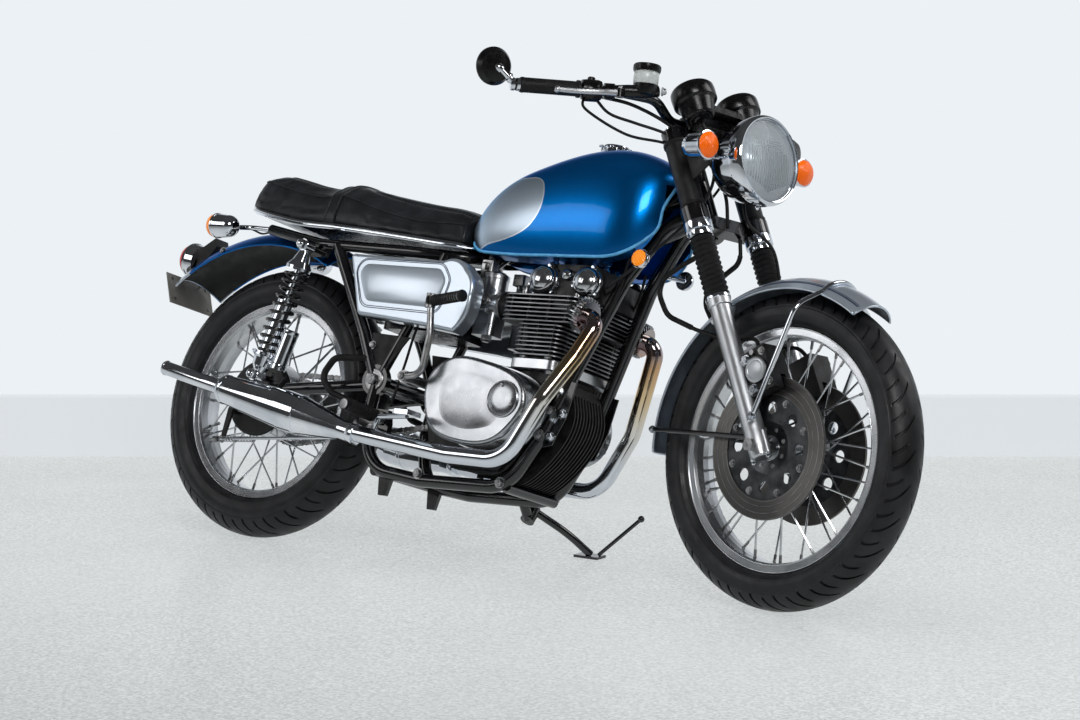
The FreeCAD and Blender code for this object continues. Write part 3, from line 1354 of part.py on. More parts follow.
BUILDERS = (
    ("main_frame", "frame", main_frame),
    ("swingarm", "frame", swingarm),
    ("rear_axle", "frame", rear_axle),
    ("rear_brake_panel", "frame", rear_brake_panel),
    ("shock_dampers", "frame", lambda: group([shock(-1), shock(1)])),
    ("shock_springs", "frame", lambda: group([shock_spring(-1), shock_spring(1)])),
    ("drive_chain", "frame", drive_chain),
    ("crankcase", "frame", crankcase),
    ("engine_covers", "frame", lambda: group([right_cover(), left_cover()])),
    ("cylinder_block", "frame", cylinders),
    ("cylinder_head", "frame", cylinder_head),
    ("rocker_covers", "frame", rocker_covers),
    ("carburettors", "frame", lambda: group([carburettor(-1), carburettor(1)])),
    ("fuel_taps", "frame", lambda: group([fuel_tap(-1), fuel_tap(1)])),
    ("exhaust_headers", "frame", exhaust_headers),
    ("mufflers", "frame", mufflers),
    ("fuel_tank", "frame", fuel_tank),
    ("tank_cap", "frame", tank_cap),
    ("seat", "frame", seat),
    ("seat_base", "frame", seat_base),
    ("side_covers", "frame", lambda: group([side_cover(-1), side_cover(1)])),
    ("rear_fender", "frame", rear_fender),
    ("tail_light", "frame", tail_light),
    ("rear_signals", "frame", lambda: group([rear_signal(-1), rear_signal(1)])),
    ("plate_bracket", "frame", plate_bracket),
    ("foot_pegs", "frame", foot_controls),
    ("kickstarter", "frame", kickstarter),
    ("brake_pedal", "frame", brake_pedal),
    ("gear_lever", "frame", gear_lever),
    ("side_reflectors", "frame", lambda: group([reflector(-1), reflector(1)])),
    ("battery_box", "frame", battery_box),
    ("triple_clamps", "steering", triple_clamps),
    ("fork_tubes", "steering", lambda: group([fork_tube(-1), fork_tube(1)])),
    ("fork_lowers", "steering", lambda: group([fork_lower(-1), fork_lower(1)])),
    ("fork_gaiters", "steering", lambda: group([gaiter(-1), gaiter(1)])),
    ("fork_covers", "steering", lambda: group([fork_cover(-1), fork_cover(1)])),
    ("headlight", "steering", headlight),
    ("headlight_glass", "steering", headlight_glass),
    ("handlebar", "steering", handlebar),
    ("grips", "steering", lambda: group([grip(-1), grip(1)])),
    ("hand_controls", "steering", lambda: group([hand_control(-1), hand_control(1)])),
    ("mirrors", "steering", lambda: group([mirror(-1), mirror(1)])),
    ("gauges", "steering", gauges),
    ("front_signals", "steering", lambda: group([front_signal(-1), front_signal(1)])),
    ("front_fender", "steering", front_fender),
    ("brake_calipers", "steering", lambda: group([caliper(-1), caliper(1)])),
    ("brake_hoses", "steering", lambda: group([brake_hose(-1), brake_hose(1)])),
    ("front_axle", "steering", front_axle),
    ("front_tyre", "front_wheel", lambda: tyre(FRONT_AXLE, FRONT_TYRE_RADIUS, FRONT_TYRE_HALF,
                                               FRONT_RIM_RADIUS, FRONT_RIM_HALF)),
    ("front_wheel_rim", "front_wheel", front_wheel),
    ("front_discs", "front_wheel", lambda: group([front_disc(-1), front_disc(1)])),
    ("disc_carriers", "front_wheel", lambda: group([disc_carrier(-1), disc_carrier(1)])),
    ("rear_tyre", "rear_wheel", lambda: tyre(REAR_AXLE, REAR_TYRE_RADIUS, REAR_TYRE_HALF,
                                             REAR_RIM_RADIUS, REAR_RIM_HALF)),
    ("rear_wheel_rim", "rear_wheel", rear_wheel),
    ("rear_sprocket", "rear_wheel", rear_sprocket),
    ("side_stand", "side_stand", side_stand),
)


def build_all():
    """Builds every piece in its parked place, and centres the whole over its footprint."""
    shapes = {}
    for name, body, build in BUILDERS:
        shape = build()
        place = PARKED.multiply(STEERED) if body in ("steering", "front_wheel") else PARKED
        shape = shape.copy()
        shape.Placement = place.multiply(shape.Placement)
        shapes[name] = shape
        print(name, shape.ShapeType, len(shape.Solids), round(shape.Volume / 1000, 1), shape.isValid())
    box = FreeCAD.BoundBox()
    for shape in shapes.values():
        box.add(shape.optimalBoundingBox(False, False))
    middle = V((box.XMin + box.XMax) / 2, (box.YMin + box.YMax) / 2, 0)
    for name, shape in shapes.items():
        shape.translate(middle * -1)
        shape.exportStep("parts/" + name + ".step")
    print("size", round(box.XLength, 1), round(box.YLength, 1), round(box.ZLength, 1),
          "lowest", round(box.ZMin, 2))
    print("middle", round(middle.x, 3), round(middle.y, 3))
    return shapes, middle


SHAPES, MIDDLE = build_all()
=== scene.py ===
"""The looks of a parked parallel-twin cafe racer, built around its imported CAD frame."""
import json
import math

import bmesh
import bpy
from bpy.props import FloatProperty, FloatVectorProperty, PointerProperty
from mathutils import Matrix, Vector
from mathutils.bvhtree import BVHTree
from mathutils.kdtree import KDTree


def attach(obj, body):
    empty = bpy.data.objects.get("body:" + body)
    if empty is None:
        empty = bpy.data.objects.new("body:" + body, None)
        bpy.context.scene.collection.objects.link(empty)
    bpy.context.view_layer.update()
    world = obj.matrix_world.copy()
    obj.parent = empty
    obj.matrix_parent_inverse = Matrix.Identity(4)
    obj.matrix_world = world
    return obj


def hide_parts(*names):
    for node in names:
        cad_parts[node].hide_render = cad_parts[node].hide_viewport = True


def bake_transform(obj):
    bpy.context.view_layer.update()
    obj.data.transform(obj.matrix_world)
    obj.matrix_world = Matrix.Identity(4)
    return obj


bl_info = {
    "name": "Cafe racer looks",
    "version": (1, 0, 0),
    "blender": (4, 5, 0),
    "location": "3D View > Sidebar > Cafe racer",
    "description": "Builds the visible pieces of a parked cafe racer around its CAD frame",
    "category": "Object",
}

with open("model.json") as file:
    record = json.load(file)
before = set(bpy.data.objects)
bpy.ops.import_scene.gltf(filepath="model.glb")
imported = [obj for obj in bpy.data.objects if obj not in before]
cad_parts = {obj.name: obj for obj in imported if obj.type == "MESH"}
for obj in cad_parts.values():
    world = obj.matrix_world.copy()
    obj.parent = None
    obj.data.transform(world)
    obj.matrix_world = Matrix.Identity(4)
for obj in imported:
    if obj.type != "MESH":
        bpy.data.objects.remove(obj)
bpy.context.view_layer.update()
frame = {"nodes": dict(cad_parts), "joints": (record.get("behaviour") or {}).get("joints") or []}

# Sizes below are in millimetres on the upright motorcycle: +X forward, +Y to the rider's left, +Z up,
# with the ground point under the rear axle at the origin. A placement matrix turns them into metres
# in the frame, where the motorcycle leans on its stand and the front end is steered.

MM = 0.001
WHEELBASE = 1435.0
RAKE = math.radians(27.0)
TRAIL = 115.0
PARKED_STEER = math.radians(13.0)
FRONT_RADIUS = 331.0
REAR_RADIUS = 332.0
FORK_SPREAD = 97.0
STEM = Vector((-math.sin(RAKE), 0.0, math.cos(RAKE)))
AHEAD = Vector((math.cos(RAKE), 0.0, math.sin(RAKE)))
FORWARD = Vector((1.0, 0.0, 0.0))
LEFT = Vector((0.0, 1.0, 0.0))
UP = Vector((0.0, 0.0, 1.0))
FRONT_AXLE = Vector((WHEELBASE, 0.0, FRONT_RADIUS))
REAR_AXLE = Vector((0.0, 0.0, REAR_RADIUS))
FORK_OFFSET = FRONT_RADIUS * math.sin(RAKE) - TRAIL * math.cos(RAKE)
STEM_FOOT = FRONT_AXLE - AHEAD * FORK_OFFSET
SIDES = ((-1, "right"), (1, "left"))


def joint(name):
    return next(item for item in frame["joints"] if item["name"] == name)


def parked_placement():
    """The matrix from the upright motorcycle in millimetres to the frame, read from the joints."""
    left = Vector(joint("rear_wheel_spin")["axis"])
    up = Matrix.Rotation(RAKE, 3, left) @ Vector(joint("steering_turn")["axis"])
    forward = left.cross(up)
    origin = Vector(joint("rear_wheel_spin")["pos_m"]) - up * (REAR_RADIUS * MM)
    turn = Matrix((forward, left, up)).transposed().to_4x4()
    return Matrix.Translation(origin) @ turn @ Matrix.Scale(MM, 4)


def steered_placement():
    """The same for what turns with the fork."""
    turn = Matrix.Rotation(-PARKED_STEER, 4, STEM)
    return PARKED @ Matrix.Translation(STEM_FOOT) @ turn @ Matrix.Translation(-STEM_FOOT)


PARKED = parked_placement()
STEERED = steered_placement()
PLACEMENT = {
    "frame": PARKED,
    "rear_wheel": PARKED,
    "side_stand": PARKED,
    "steering": STEERED,
    "front_wheel": STEERED,
}


def on_stem(distance):
    """A point on the steering axis, this far above the front axle along the fork."""
    return STEM_FOOT + STEM * distance


def on_leg(distance, side):
    """A point on one fork leg; side is -1 for the right leg and 1 for the left."""
    return FRONT_AXLE + STEM * distance + LEFT * (side * FORK_SPREAD)


def wheel_point(axle, angle, radius, y):
    """A point round a wheel, at an angle in degrees from straight ahead."""
    turn = math.radians(angle)
    return Vector((axle.x + radius * math.cos(turn), y, axle.z + radius * math.sin(turn)))


# Making pieces

SMALLEST_RADIUS = 0.01
WASHER_HEIGHT = 1.6


def link(name, data):
    obj = bpy.data.objects.new(name, data)
    bpy.context.scene.collection.objects.link(obj)
    return obj


def spokes(count, one, other):
    """Directions all round, from one direction by way of the other."""
    turns = [2 * math.pi * step / count for step in range(count)]
    return [one * math.cos(turn) + other * math.sin(turn) for turn in turns]


class Shape:
    """Gathers points and faces of several simple forms into one mesh."""

    def __init__(self):
        self.points = []
        self.faces = []

    def add(self, points, faces):
        start = len(self.points)
        self.points.extend(Vector(point) for point in points)
        self.faces.extend(tuple(start + corner for corner in face) for face in faces)

    def grid(self, rows, closed_rows=False, closed_columns=True, caps=""):
        """Rows of points joined by quads; caps closes the first row, the last or both."""
        count = len(rows[0])
        faces = []
        row_steps = len(rows) if closed_rows else len(rows) - 1
        column_steps = count if closed_columns else count - 1
        for row in range(row_steps):
            here, below = row * count, ((row + 1) % len(rows)) * count
            for column in range(column_steps):
                beside = (column + 1) % count
                faces.append((here + column, here + beside, below + beside, below + column))
        if caps in ("first", "both"):
            faces.append(tuple(reversed(range(count))))
        if caps in ("last", "both"):
            last = (len(rows) - 1) * count
            faces.append(tuple(last + column for column in range(count)))
        self.add([point for row in rows for point in row], faces)

    def turned(self, profile, origin, axis, steps=48, closed=False):
        """A lathe form: profile points are (distance along the axis, radius)."""
        axis = Vector(axis).normalized()
        round_axis = spokes(steps, *square_pair(axis))
        rows = []
        for along, radius in profile:
            centre = Vector(origin) + axis * along
            rows.append([centre + spoke * max(radius, SMALLEST_RADIUS) for spoke in round_axis])
        self.grid(rows, closed_rows=closed, caps="" if closed else "both")

    def bar(self, points, radius, steps=12):
        """A round bar along a line of points, with a radius for all or one for each point."""
        points = [Vector(point) for point in points]
        radii = radius if isinstance(radius, (list, tuple)) else [radius] * len(points)
        rows = []
        side = None
        for index, point in enumerate(points):
            along = direction_at(points, index)
            if side is None:
                side, _ = square_pair(along)
            side = (side - along * side.dot(along)).normalized()
            rows.append([point + spoke * radii[index] for spoke in spokes(steps, side, along.cross(side))])
        self.grid(rows, caps="both")

    def prism(self, outline, run, bevel=0.0):
        """A flat outline of points pushed along a run."""
        run = Vector(run)
        lower = [Vector(point) for point in outline]
        rows = [lower, [point + run for point in lower]]
        if bevel:
            middle = sum(lower, Vector()) / len(lower)
            step = run.normalized() * bevel
            inset = [point + (middle - point).normalized() * bevel for point in lower]
            rows = [inset, [point + step for point in lower], [point + run - step for point in lower],
                    [point + run for point in inset]]
        self.grid(rows, caps="both")

    def hexagon(self, centre, axis, across, length):
        """A bolt head or nut with chamfered corners."""
        half = across / math.sqrt(3)
        self.turned([(0, half * 0.92), (length * 0.1, half), (length * 0.8, half), (length, half * 0.86)],
                    centre, Vector(axis).normalized(), steps=6)

    def bolt(self, centre, axis, across=12.0, length=6.0):
        """A hexagon head on a washer."""
        axis = Vector(axis).normalized()
        self.turned([(0, across * 0.75), (WASHER_HEIGHT, across * 0.75)], centre, axis, steps=20)
        self.hexagon(Vector(centre) + axis * WASHER_HEIGHT, axis, across, length)
        self.turned([(0, across * 0.34), (1.5, across * 0.28)],
                    Vector(centre) + axis * (WASHER_HEIGHT + length), axis, steps=12)

    def piece(self, name, finish, sharp=35.0, smooth=True, body=None, slot=None):
        """Makes the form a piece in its place. Edges bent by more than sharp degrees stay crisp."""
        usual_body, usual_slot = FINISHES[finish][:2]
        body = body or usual_body
        data = bpy.data.meshes.new(name)
        data.from_pydata([tuple(point) for point in self.points], [], self.faces)
        data.update()
        obj = link(name, data)
        data.transform(PLACEMENT[body])
        data.materials.append(finish_of(finish))
        data.shade_smooth() if smooth else data.shade_flat()
        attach(obj, body)
        slot or usual_slot
        if sharp is not None:
            data.set_sharp_from_angle(angle=math.radians(sharp))
        work = bmesh.new()
        work.from_mesh(data)
        bmesh.ops.recalc_face_normals(work, faces=work.faces)
        work.to_mesh(data)
        work.free()
        return obj


def direction_at(line, index):
    """The direction of a line at one of its points."""
    return (line[min(index + 1, len(line) - 1)] - line[max(index - 1, 0)]).normalized()


def square_pair(axis):
    """Two directions square to an axis and to each other."""
    axis = Vector(axis).normalized()
    helper = UP if abs(axis.z) < 0.9 else Vector((1.0, 0.0, 0.0))
    side = helper.cross(axis).normalized()
    return side, axis.cross(side)


def smooth_line(points, pieces=8, closed=False):
    """A line through the points with smooth bends between them."""
    points = [Vector(point) for point in points]
    count = len(points)
    line = []
    spans = count if closed else count - 1
    for span in range(spans):
        p1, p2 = points[span], points[(span + 1) % count]
        p0 = points[span - 1] if closed or span > 0 else p1 * 2 - p2
        p3 = points[(span + 2) % count] if closed or span + 2 < count else p2 * 2 - p1
        for step in range(pieces):
            t = step / pieces
            line.append(0.5 * ((2 * p1) + (p2 - p0) * t + (2 * p0 - 5 * p1 + 4 * p2 - p3) * t * t
                               + (3 * p1 - p0 - 3 * p2 + p3) * t * t * t))
    if not closed:
        line.append(points[-1])
    return line


def round_corners(points, largest, arc_steps=7):
    """Straight runs joined by tangent arcs, as the CAD's tubes are."""
    points = [Vector(point) for point in points]
    line = [points[0]]
    for before, corner, after in zip(points, points[1:], points[2:]):
        back, ahead = before - corner, after - corner
        reach = 0.45 * min(back.length, ahead.length)
        back.normalize()
        ahead.normalize()
        half_turn = (math.pi - back.angle(ahead)) / 2
        if half_turn < 1e-4:
            line.append(corner)
            continue
        reach = min(reach, largest * math.tan(half_turn))
        centre = corner + (back + ahead).normalized() * (reach / math.sin(half_turn))
        hinge = ahead.cross(back)
        spoke = corner + back * reach - centre
        for step in range(arc_steps + 1):
            turn = Matrix.Rotation(2 * half_turn * step / arc_steps, 3, hinge)
            line.append(centre + turn @ spoke)
    line.append(points[-1])
    return line


def curve_value(stations, x, column):
    """A smooth value between stations, each a tuple that starts with x."""
    xs = [station[0] for station in stations]
    x = min(max(x, xs[0]), xs[-1])
    span = max(index for index in range(len(xs) - 1) if xs[index] <= x + 1e-9)
    x1, x2 = xs[span], xs[span + 1]
    y1, y2 = stations[span][column], stations[span + 1][column]
    m1 = (y2 - y1) / (x2 - x1)
    m2 = m1
    if span > 0:
        m1 = (y2 - stations[span - 1][column]) / (x2 - xs[span - 1])
    if span + 2 < len(xs):
        m2 = (stations[span + 2][column] - y1) / (xs[span + 2] - x1)
    h = x2 - x1
    t = (x - x1) / h
    return ((2 * t ** 3 - 3 * t ** 2 + 1) * y1 + (t ** 3 - 2 * t ** 2 + t) * h * m1
            + (-2 * t ** 3 + 3 * t ** 2) * y2 + (t ** 3 - t ** 2) * h * m2)


# Finishes

def colour(red, green, blue):
    """A display colour from 0 to 255 as the linear values that a shader takes."""
    def linear(value):
        value = value / 255
        return value / 12.92 if value <= 0.04045 else ((value + 0.055) / 1.055) ** 2.4
    return linear(red), linear(green), linear(blue), 1.0


class Nodes:
    """Adds nodes to a tree. Most methods give the new node's output."""

    def __init__(self, tree):
        self.tree = tree

    def join(self, source, target):
        self.tree.links.new(source, target)

    def node(self, kind, output, inputs=None, **options):
        """A node whose inputs, by name or number, are values or the outputs of other nodes."""
        node = self.tree.nodes.new("ShaderNode" + kind)
        for name, value in options.items():
            setattr(node, name, value)
        for name, value in (inputs or {}).items():
            if isinstance(value, bpy.types.NodeSocket):
                self.join(value, node.inputs[name])
            else:
                node.inputs[name].default_value = value
        return node.outputs[output]

    def ray(self, kind):
        return self.node("LightPath", "Is " + kind + " Ray")

    def math(self, operation, first, second):
        return self.node("Math", 0, {0: first, 1: second}, operation=operation)

    def mix(self, share, first, second):
        return self.node("Mix", 2, {0: share, 6: first, 7: second}, data_type="RGBA")

    def spread(self, value, low, high, to_low=0.0, to_high=1.0, smooth=True):
        inputs = {"Value": value, "From Min": low, "From Max": high, "To Min": to_low, "To Max": to_high}
        return self.node("MapRange", 0, inputs, interpolation_type="SMOOTHSTEP" if smooth else "LINEAR")

    def stops(self, value, colours):
        """A run of colours over a value, each with its place from 0 to 1."""
        node = self.tree.nodes.new("ShaderNodeValToRGB")
        elements = node.color_ramp.elements
        while len(elements) < len(colours):
            elements.new(0.5)
        for number, (place, shade) in enumerate(colours):
            elements[number].position = place
            elements[number].color = shade
        self.join(value, node.inputs["Fac"])
        return node.outputs["Color"]


class Finish(Nodes):
    """One material and the nodes that give it its detail, in metres on the upright motorcycle."""

    def __init__(self, name, body="frame", **looks):
        self.material = bpy.data.materials.new(name)
        self.material.use_nodes = True
        super().__init__(self.material.node_tree)
        self.shader = self.tree.nodes["Principled BSDF"]
        for look, value in looks.items():
            self.shader.inputs[look.replace("_", " ")].default_value = value
        turn = PLACEMENT[body].to_3x3().normalized().transposed()
        self.place = self.node("Mapping", "Vector", {
            "Vector": self.node("TexCoord", "Object"), "Rotation": turn.to_euler(),
            "Location": -(turn @ PLACEMENT[body].translation)})

    def noise(self, scale, detail=3.0, roughness=0.5, place=None):
        inputs = {"Scale": scale, "Detail": detail, "Roughness": roughness, "Vector": place or self.place}
        return self.node("TexNoise", "Fac", inputs)

    def cells(self, scale, feature="F1"):
        return self.node("TexVoronoi", "Distance", {"Scale": scale, "Vector": self.place}, feature=feature)

    def axis(self, letter):
        return self.node("SeparateXYZ", letter, {"Vector": self.place})

    def drift(self, scale, detail, low=0.3, high=0.7, to_low=0.0, to_high=1.0):
        """A value that changes slowly over the piece."""
        return self.spread(self.noise(scale, detail), low, high, to_low, to_high)

    def set(self, **sockets):
        """Joins outputs to the shader's inputs."""
        for name, socket in sockets.items():
            self.join(socket, self.shader.inputs[name.replace("_", " ")])
        return self

    def bump(self, height, strength, distance):
        normal = self.shader.inputs["Normal"]
        inputs = {"Strength": strength, "Distance": distance, "Height": height}
        if normal.links:
            inputs["Normal"] = normal.links[0].from_socket
        return self.set(Normal=self.node("Bump", "Normal", inputs))

    def show(self, share, first, second):
        """Gives the material a blend of two shaders."""
        mixed = self.node("MixShader", 0, {0: share, 1: first, 2: second})
        self.join(mixed, self.tree.nodes["Material Output"].inputs["Surface"])

    def curve_of(self, value, points, low, high):
        """A value read from a smooth curve through points, both scales running from low to high."""
        node = self.tree.nodes.new("ShaderNodeFloatCurve")
        curve = node.mapping.curves[0]
        span = high - low
        fitted = [((x - low) / span, (y - low) / span) for x, y in points]
        while len(curve.points) < len(fitted):
            curve.points.new(0.5, 0.5)
        for point, place in zip(curve.points, fitted):
            point.location = place
            point.handle_type = "AUTO"
        node.mapping.update()
        self.join(self.spread(value, low, high, smooth=False), node.inputs["Value"])
        return self.spread(node.outputs[0], 0.0, 1.0, low, high, smooth=False)


def make_surface(name, body, dark, light, scale, detail=4.0, shine=None, bump=None, **looks):
    """A finish whose shade and shine drift. bump is a noise's scale and detail, then strength and depth."""
    finish = Finish(name, body, **looks)
    finish.set(Base_Color=finish.mix(finish.drift(scale, detail), colour(*dark), colour(*light)))
    if shine:
        finish.set(Roughness=finish.drift(*shine))
    if bump:
        finish.bump(finish.noise(*bump[:2]), *bump[2:])
    return finish


def make_alloy(name, body, low=0.27, high=0.35, level=192):
    """Polished cast aluminium with faint polishing marks and a little haze."""
    alloy = make_surface(name, body, (level, level + 3, level + 7),
                         (level + 16, level + 18, level + 21), 14.0, 3.0,
                         shine=(18.0, 4.0, 0.3, 0.72, low, high), Metallic=1.0)
    along = alloy.node("Mapping", "Vector", {"Vector": alloy.place, "Scale": (0.3, 1.0, 4.0)})
    return alloy.bump(alloy.noise(160.0, 2.0, place=along), 0.05, 0.0004)


def flakes(finish, shade, sparkle):
    """Metallic paint: fine flakes of a lighter shade over the base."""
    return finish.mix(finish.spread(finish.cells(1500.0), 0.15, 0.55, 0.42, 0.0), shade, sparkle)


def panel_mask(finish, inset):
    """The silver panel on the tank's sides, its front edge pulled in by inset metres."""
    edge = [(0.690, 0.560), (0.722, 0.623), (0.732, 0.672), (0.745, 0.716), (0.758, 0.742), (0.772, 0.758),
            (0.802, 0.775), (0.826, 0.778), (0.852, 0.774), (0.870, 0.764), (0.881, 0.742), (0.884, 0.700)]
    points = [Vector(point) for point in edge]
    shifted = []
    for index, (z, x) in enumerate(edge):
        run = direction_at(points, index)
        shifted.append((z + inset * run.y, x - inset * run.x))
    front = finish.curve_of(finish.axis("Z"), shifted, 0.5, 1.0)
    top = shifted[-1][0]
    behind = finish.spread(finish.math("SUBTRACT", front, finish.axis("X")), -0.0005, 0.0005)
    under = finish.spread(finish.axis("Z"), top - 0.0006, top, 1.0, 0.0)
    return finish.math("MULTIPLY", behind, under)


BLUE_COAT = {"Roughness": 0.3, "Metallic": 0.9, "Coat_Weight": 0.3, "Coat_Roughness": 0.03,
             "Specular_Tint": colour(90, 170, 225)}


def make_tank_paint(name, body):
    """Metallic blue with a silver rear panel inside a fine white line."""
    paint = Finish(name, body, **BLUE_COAT)
    blue = flakes(paint, colour(0, 104, 184), colour(0, 166, 236))
    silver = flakes(paint, colour(182, 196, 210), colour(226, 233, 240))
    lined = paint.mix(panel_mask(paint, 0.0), blue, colour(232, 238, 244))
    paint.set(Base_Color=paint.mix(panel_mask(paint, 0.0032), lined, silver))
    return paint.bump(paint.noise(500.0, 1.0), 0.015, 0.0005)


def make_flaked_paint(name, body, shade, sparkle, **looks):
    paint = Finish(name, body, **looks)
    return paint.set(Base_Color=flakes(paint, colour(*shade), colour(*sparkle)))


def make_seat_vinyl(name, body):
    """Black grained vinyl with a soft sheen."""
    vinyl = make_surface(name, body, (18, 20, 22), (31, 34, 37), 16.0, shine=(30.0, 4.0, 0.3, 0.7, 0.3, 0.44),
                         bump=(60.0, 3.0, 0.12, 0.003), Specular_IOR_Level=0.32)
    return vinyl.bump(vinyl.cells(650.0, "SMOOTH_F1"), 0.32, 0.0006)


def make_plastic(name, body):
    plastic = make_surface(name, body, (7, 7, 8), (15, 15, 16), 25.0, shine=(60.0, 3.0, 0.3, 0.7, 0.18, 0.32),
                           Specular_IOR_Level=0.35)
    return plastic.bump(plastic.cells(900.0), 0.12, 0.0004)


def make_lens(name, body, shade, glow):
    """Moulded lens plastic with its rings. It glows a little and its rings are banded with a lighter colour:
    painted glow and painted light of a lit reflector behind it.
    """
    lens = Finish(name, body, Roughness=0.12, Specular_IOR_Level=0.4, Emission_Color=colour(*shade),
                  Emission_Strength=0.22)
    rings = lens.node("TexWave", "Fac", {"Scale": 90.0, "Vector": lens.place}, wave_type="BANDS",
                      bands_direction="DIAGONAL")
    lens.set(Base_Color=lens.mix(rings, colour(*shade), colour(*glow)))
    return lens.bump(rings, 0.5, 0.0012)


def make_glass(name, body, haze):
    """Clear lamp glass: mostly see-through, with the shine of its surface and a little haze."""
    glass = Finish(name, body, Base_Color=colour(226, 232, 236), Roughness=0.06)
    clear = glass.node("BsdfTransparent", 0, {"Color": colour(246, 249, 250)})
    glass.show(glass.math("ADD", glass.node("Fresnel", 0), haze), clear, glass.shader.outputs[0])
    return glass.bump(glass.noise(70.0, 3.0), 0.08, 0.001)


def make_header_chrome(name, body):
    """Chrome pipes, tinted straw and blue by heat near the ports."""
    chrome = Finish(name, body, Metallic=1.0)
    uneven = chrome.math("MULTIPLY", chrome.noise(14.0, 3.0), 0.05)
    heat = chrome.spread(chrome.math("ADD", chrome.axis("Z"), uneven), 0.30, 0.60, smooth=False)
    tint = chrome.stops(heat, [
        (0.0, colour(214, 219, 226)), (0.3, colour(218, 214, 206)), (0.55, colour(214, 190, 150)),
        (0.78, colour(196, 158, 120)), (0.9, colour(160, 146, 150)), (1.0, colour(170, 162, 160))])
    return chrome.set(Base_Color=tint, Roughness=chrome.drift(22.0, 4.0, 0.35, 0.75, 0.04, 0.13))


def make_disc_steel(name, body):
    """Brake disc steel with the fine rings that the pads leave."""
    steel = Finish(name, body, Metallic=1.0, Anisotropic=0.75)
    from_axle = steel.node("VectorMath", 0, {0: steel.place, 1: FRONT_AXLE * MM}, operation="SUBTRACT")
    flat = steel.node("Mapping", "Vector", {"Vector": from_axle, "Scale": (1.0, 0.0, 1.0)})
    rings = steel.node("TexWave", "Fac", {"Vector": flat, "Scale": 110.0, "Distortion": 2.0, "Detail": 3.0},
                       wave_type="RINGS", rings_direction="SPHERICAL")
    steel.set(Tangent=steel.node("Tangent", 0, direction_type="RADIAL", axis="Y"),
              Base_Color=steel.mix(rings, colour(84, 83, 81), colour(116, 114, 111)),
              Roughness=steel.drift(40.0, 4.0, 0.3, 0.7, 0.3, 0.42))
    return steel.bump(rings, 0.12, 0.0003)


def make_marking(name, body, shade):
    dim = [max(value - 20, 0) for value in shade]
    return make_surface(name, body, dim, shade, 60.0, Roughness=0.45)


def make_fluid_pot(name, body):
    """Milky plastic with brake fluid behind it."""
    pot = Finish(name, body, Roughness=0.25, Transmission_Weight=0.35)
    level = pot.spread(pot.axis("Z"), 1.040, 1.0415)
    return pot.set(Base_Color=pot.mix(level, colour(176, 178, 150), colour(214, 220, 218)))


BLACK_PAINT = {"dark": (6, 6, 8), "light": (14, 14, 16), "scale": 18.0, "Coat_Weight": 0.5,
               "shine": (25.0, 5.0, 0.3, 0.75, 0.12, 0.28), "bump": (320.0, 2.0, 0.06, 0.0006),
               "Coat_Roughness": 0.04}
BLACK_CAST = {"dark": (8, 8, 9), "light": (24, 24, 25), "scale": 60.0, "Metallic": 0.1,
              "shine": (35.0, 4.0, 0.3, 0.7, 0.38, 0.6), "bump": (900.0, 3.0, 0.35, 0.0005)}
PLATED_STEEL = {"dark": (126, 127, 129), "light": (176, 176, 176), "scale": 45.0, "Metallic": 1.0,
                "shine": (70.0, 4.0, 0.3, 0.7, 0.26, 0.46), "bump": (500.0, 2.0, 0.08, 0.0004)}
CHROME = {"dark": (206, 211, 219), "light": (232, 235, 240), "scale": 12.0, "Metallic": 1.0,
          "shine": (22.0, 4.0, 0.35, 0.75, 0.03, 0.11)}
RUBBER = {"dark": (13, 13, 14), "light": (24, 24, 25), "scale": 30.0, "Specular_IOR_Level": 0.3,
          "shine": (45.0, 3.0, 0.3, 0.7, 0.4, 0.6), "bump": (500.0, 3.0, 0.18, 0.0006)}
TYRE_RUBBER = {"dark": (17, 18, 19), "light": (33, 34, 36), "scale": 22.0, "Specular_IOR_Level": 0.35,
               "shine": (35.0, 4.0, 0.3, 0.7, 0.36, 0.54), "bump": (700.0, 3.0, 0.2, 0.0005)}
SILVER_PAINT = {"shade": (188, 199, 211), "sparkle": (232, 238, 243), "Roughness": 0.32, "Metallic": 0.8,
                "Coat_Weight": 0.8, "Coat_Roughness": 0.05}
# The headlight reflector's emission is a painted glow that brightens its bowl.
REFLECTOR = {"dark": (206, 210, 214), "light": (234, 236, 238), "scale": 20.0, "Metallic": 0.85,
             "Roughness": 0.2, "bump": (60.0, 2.0, 0.05, 0.001), "Emission_Color": colour(236, 240, 242),
             "Emission_Strength": 0.22}
CARRIER_ALLOY = {"dark": (50, 52, 54), "light": (84, 86, 88), "scale": 30.0, "Metallic": 0.9,
                 "shine": (24.0, 4.0, 0.3, 0.7, 0.26, 0.46), "bump": (300.0, 2.0, 0.12, 0.0004)}
BARE_PLATE = {"dark": (106, 105, 102), "light": (128, 127, 123), "scale": 20.0, "Metallic": 0.3,
              "Roughness": 0.55, "bump": (300.0, 3.0, 0.1, 0.0004)}
DIAL_FACE = {"dark": (14, 14, 15), "light": (22, 22, 23), "scale": 80.0, "Roughness": 0.7}

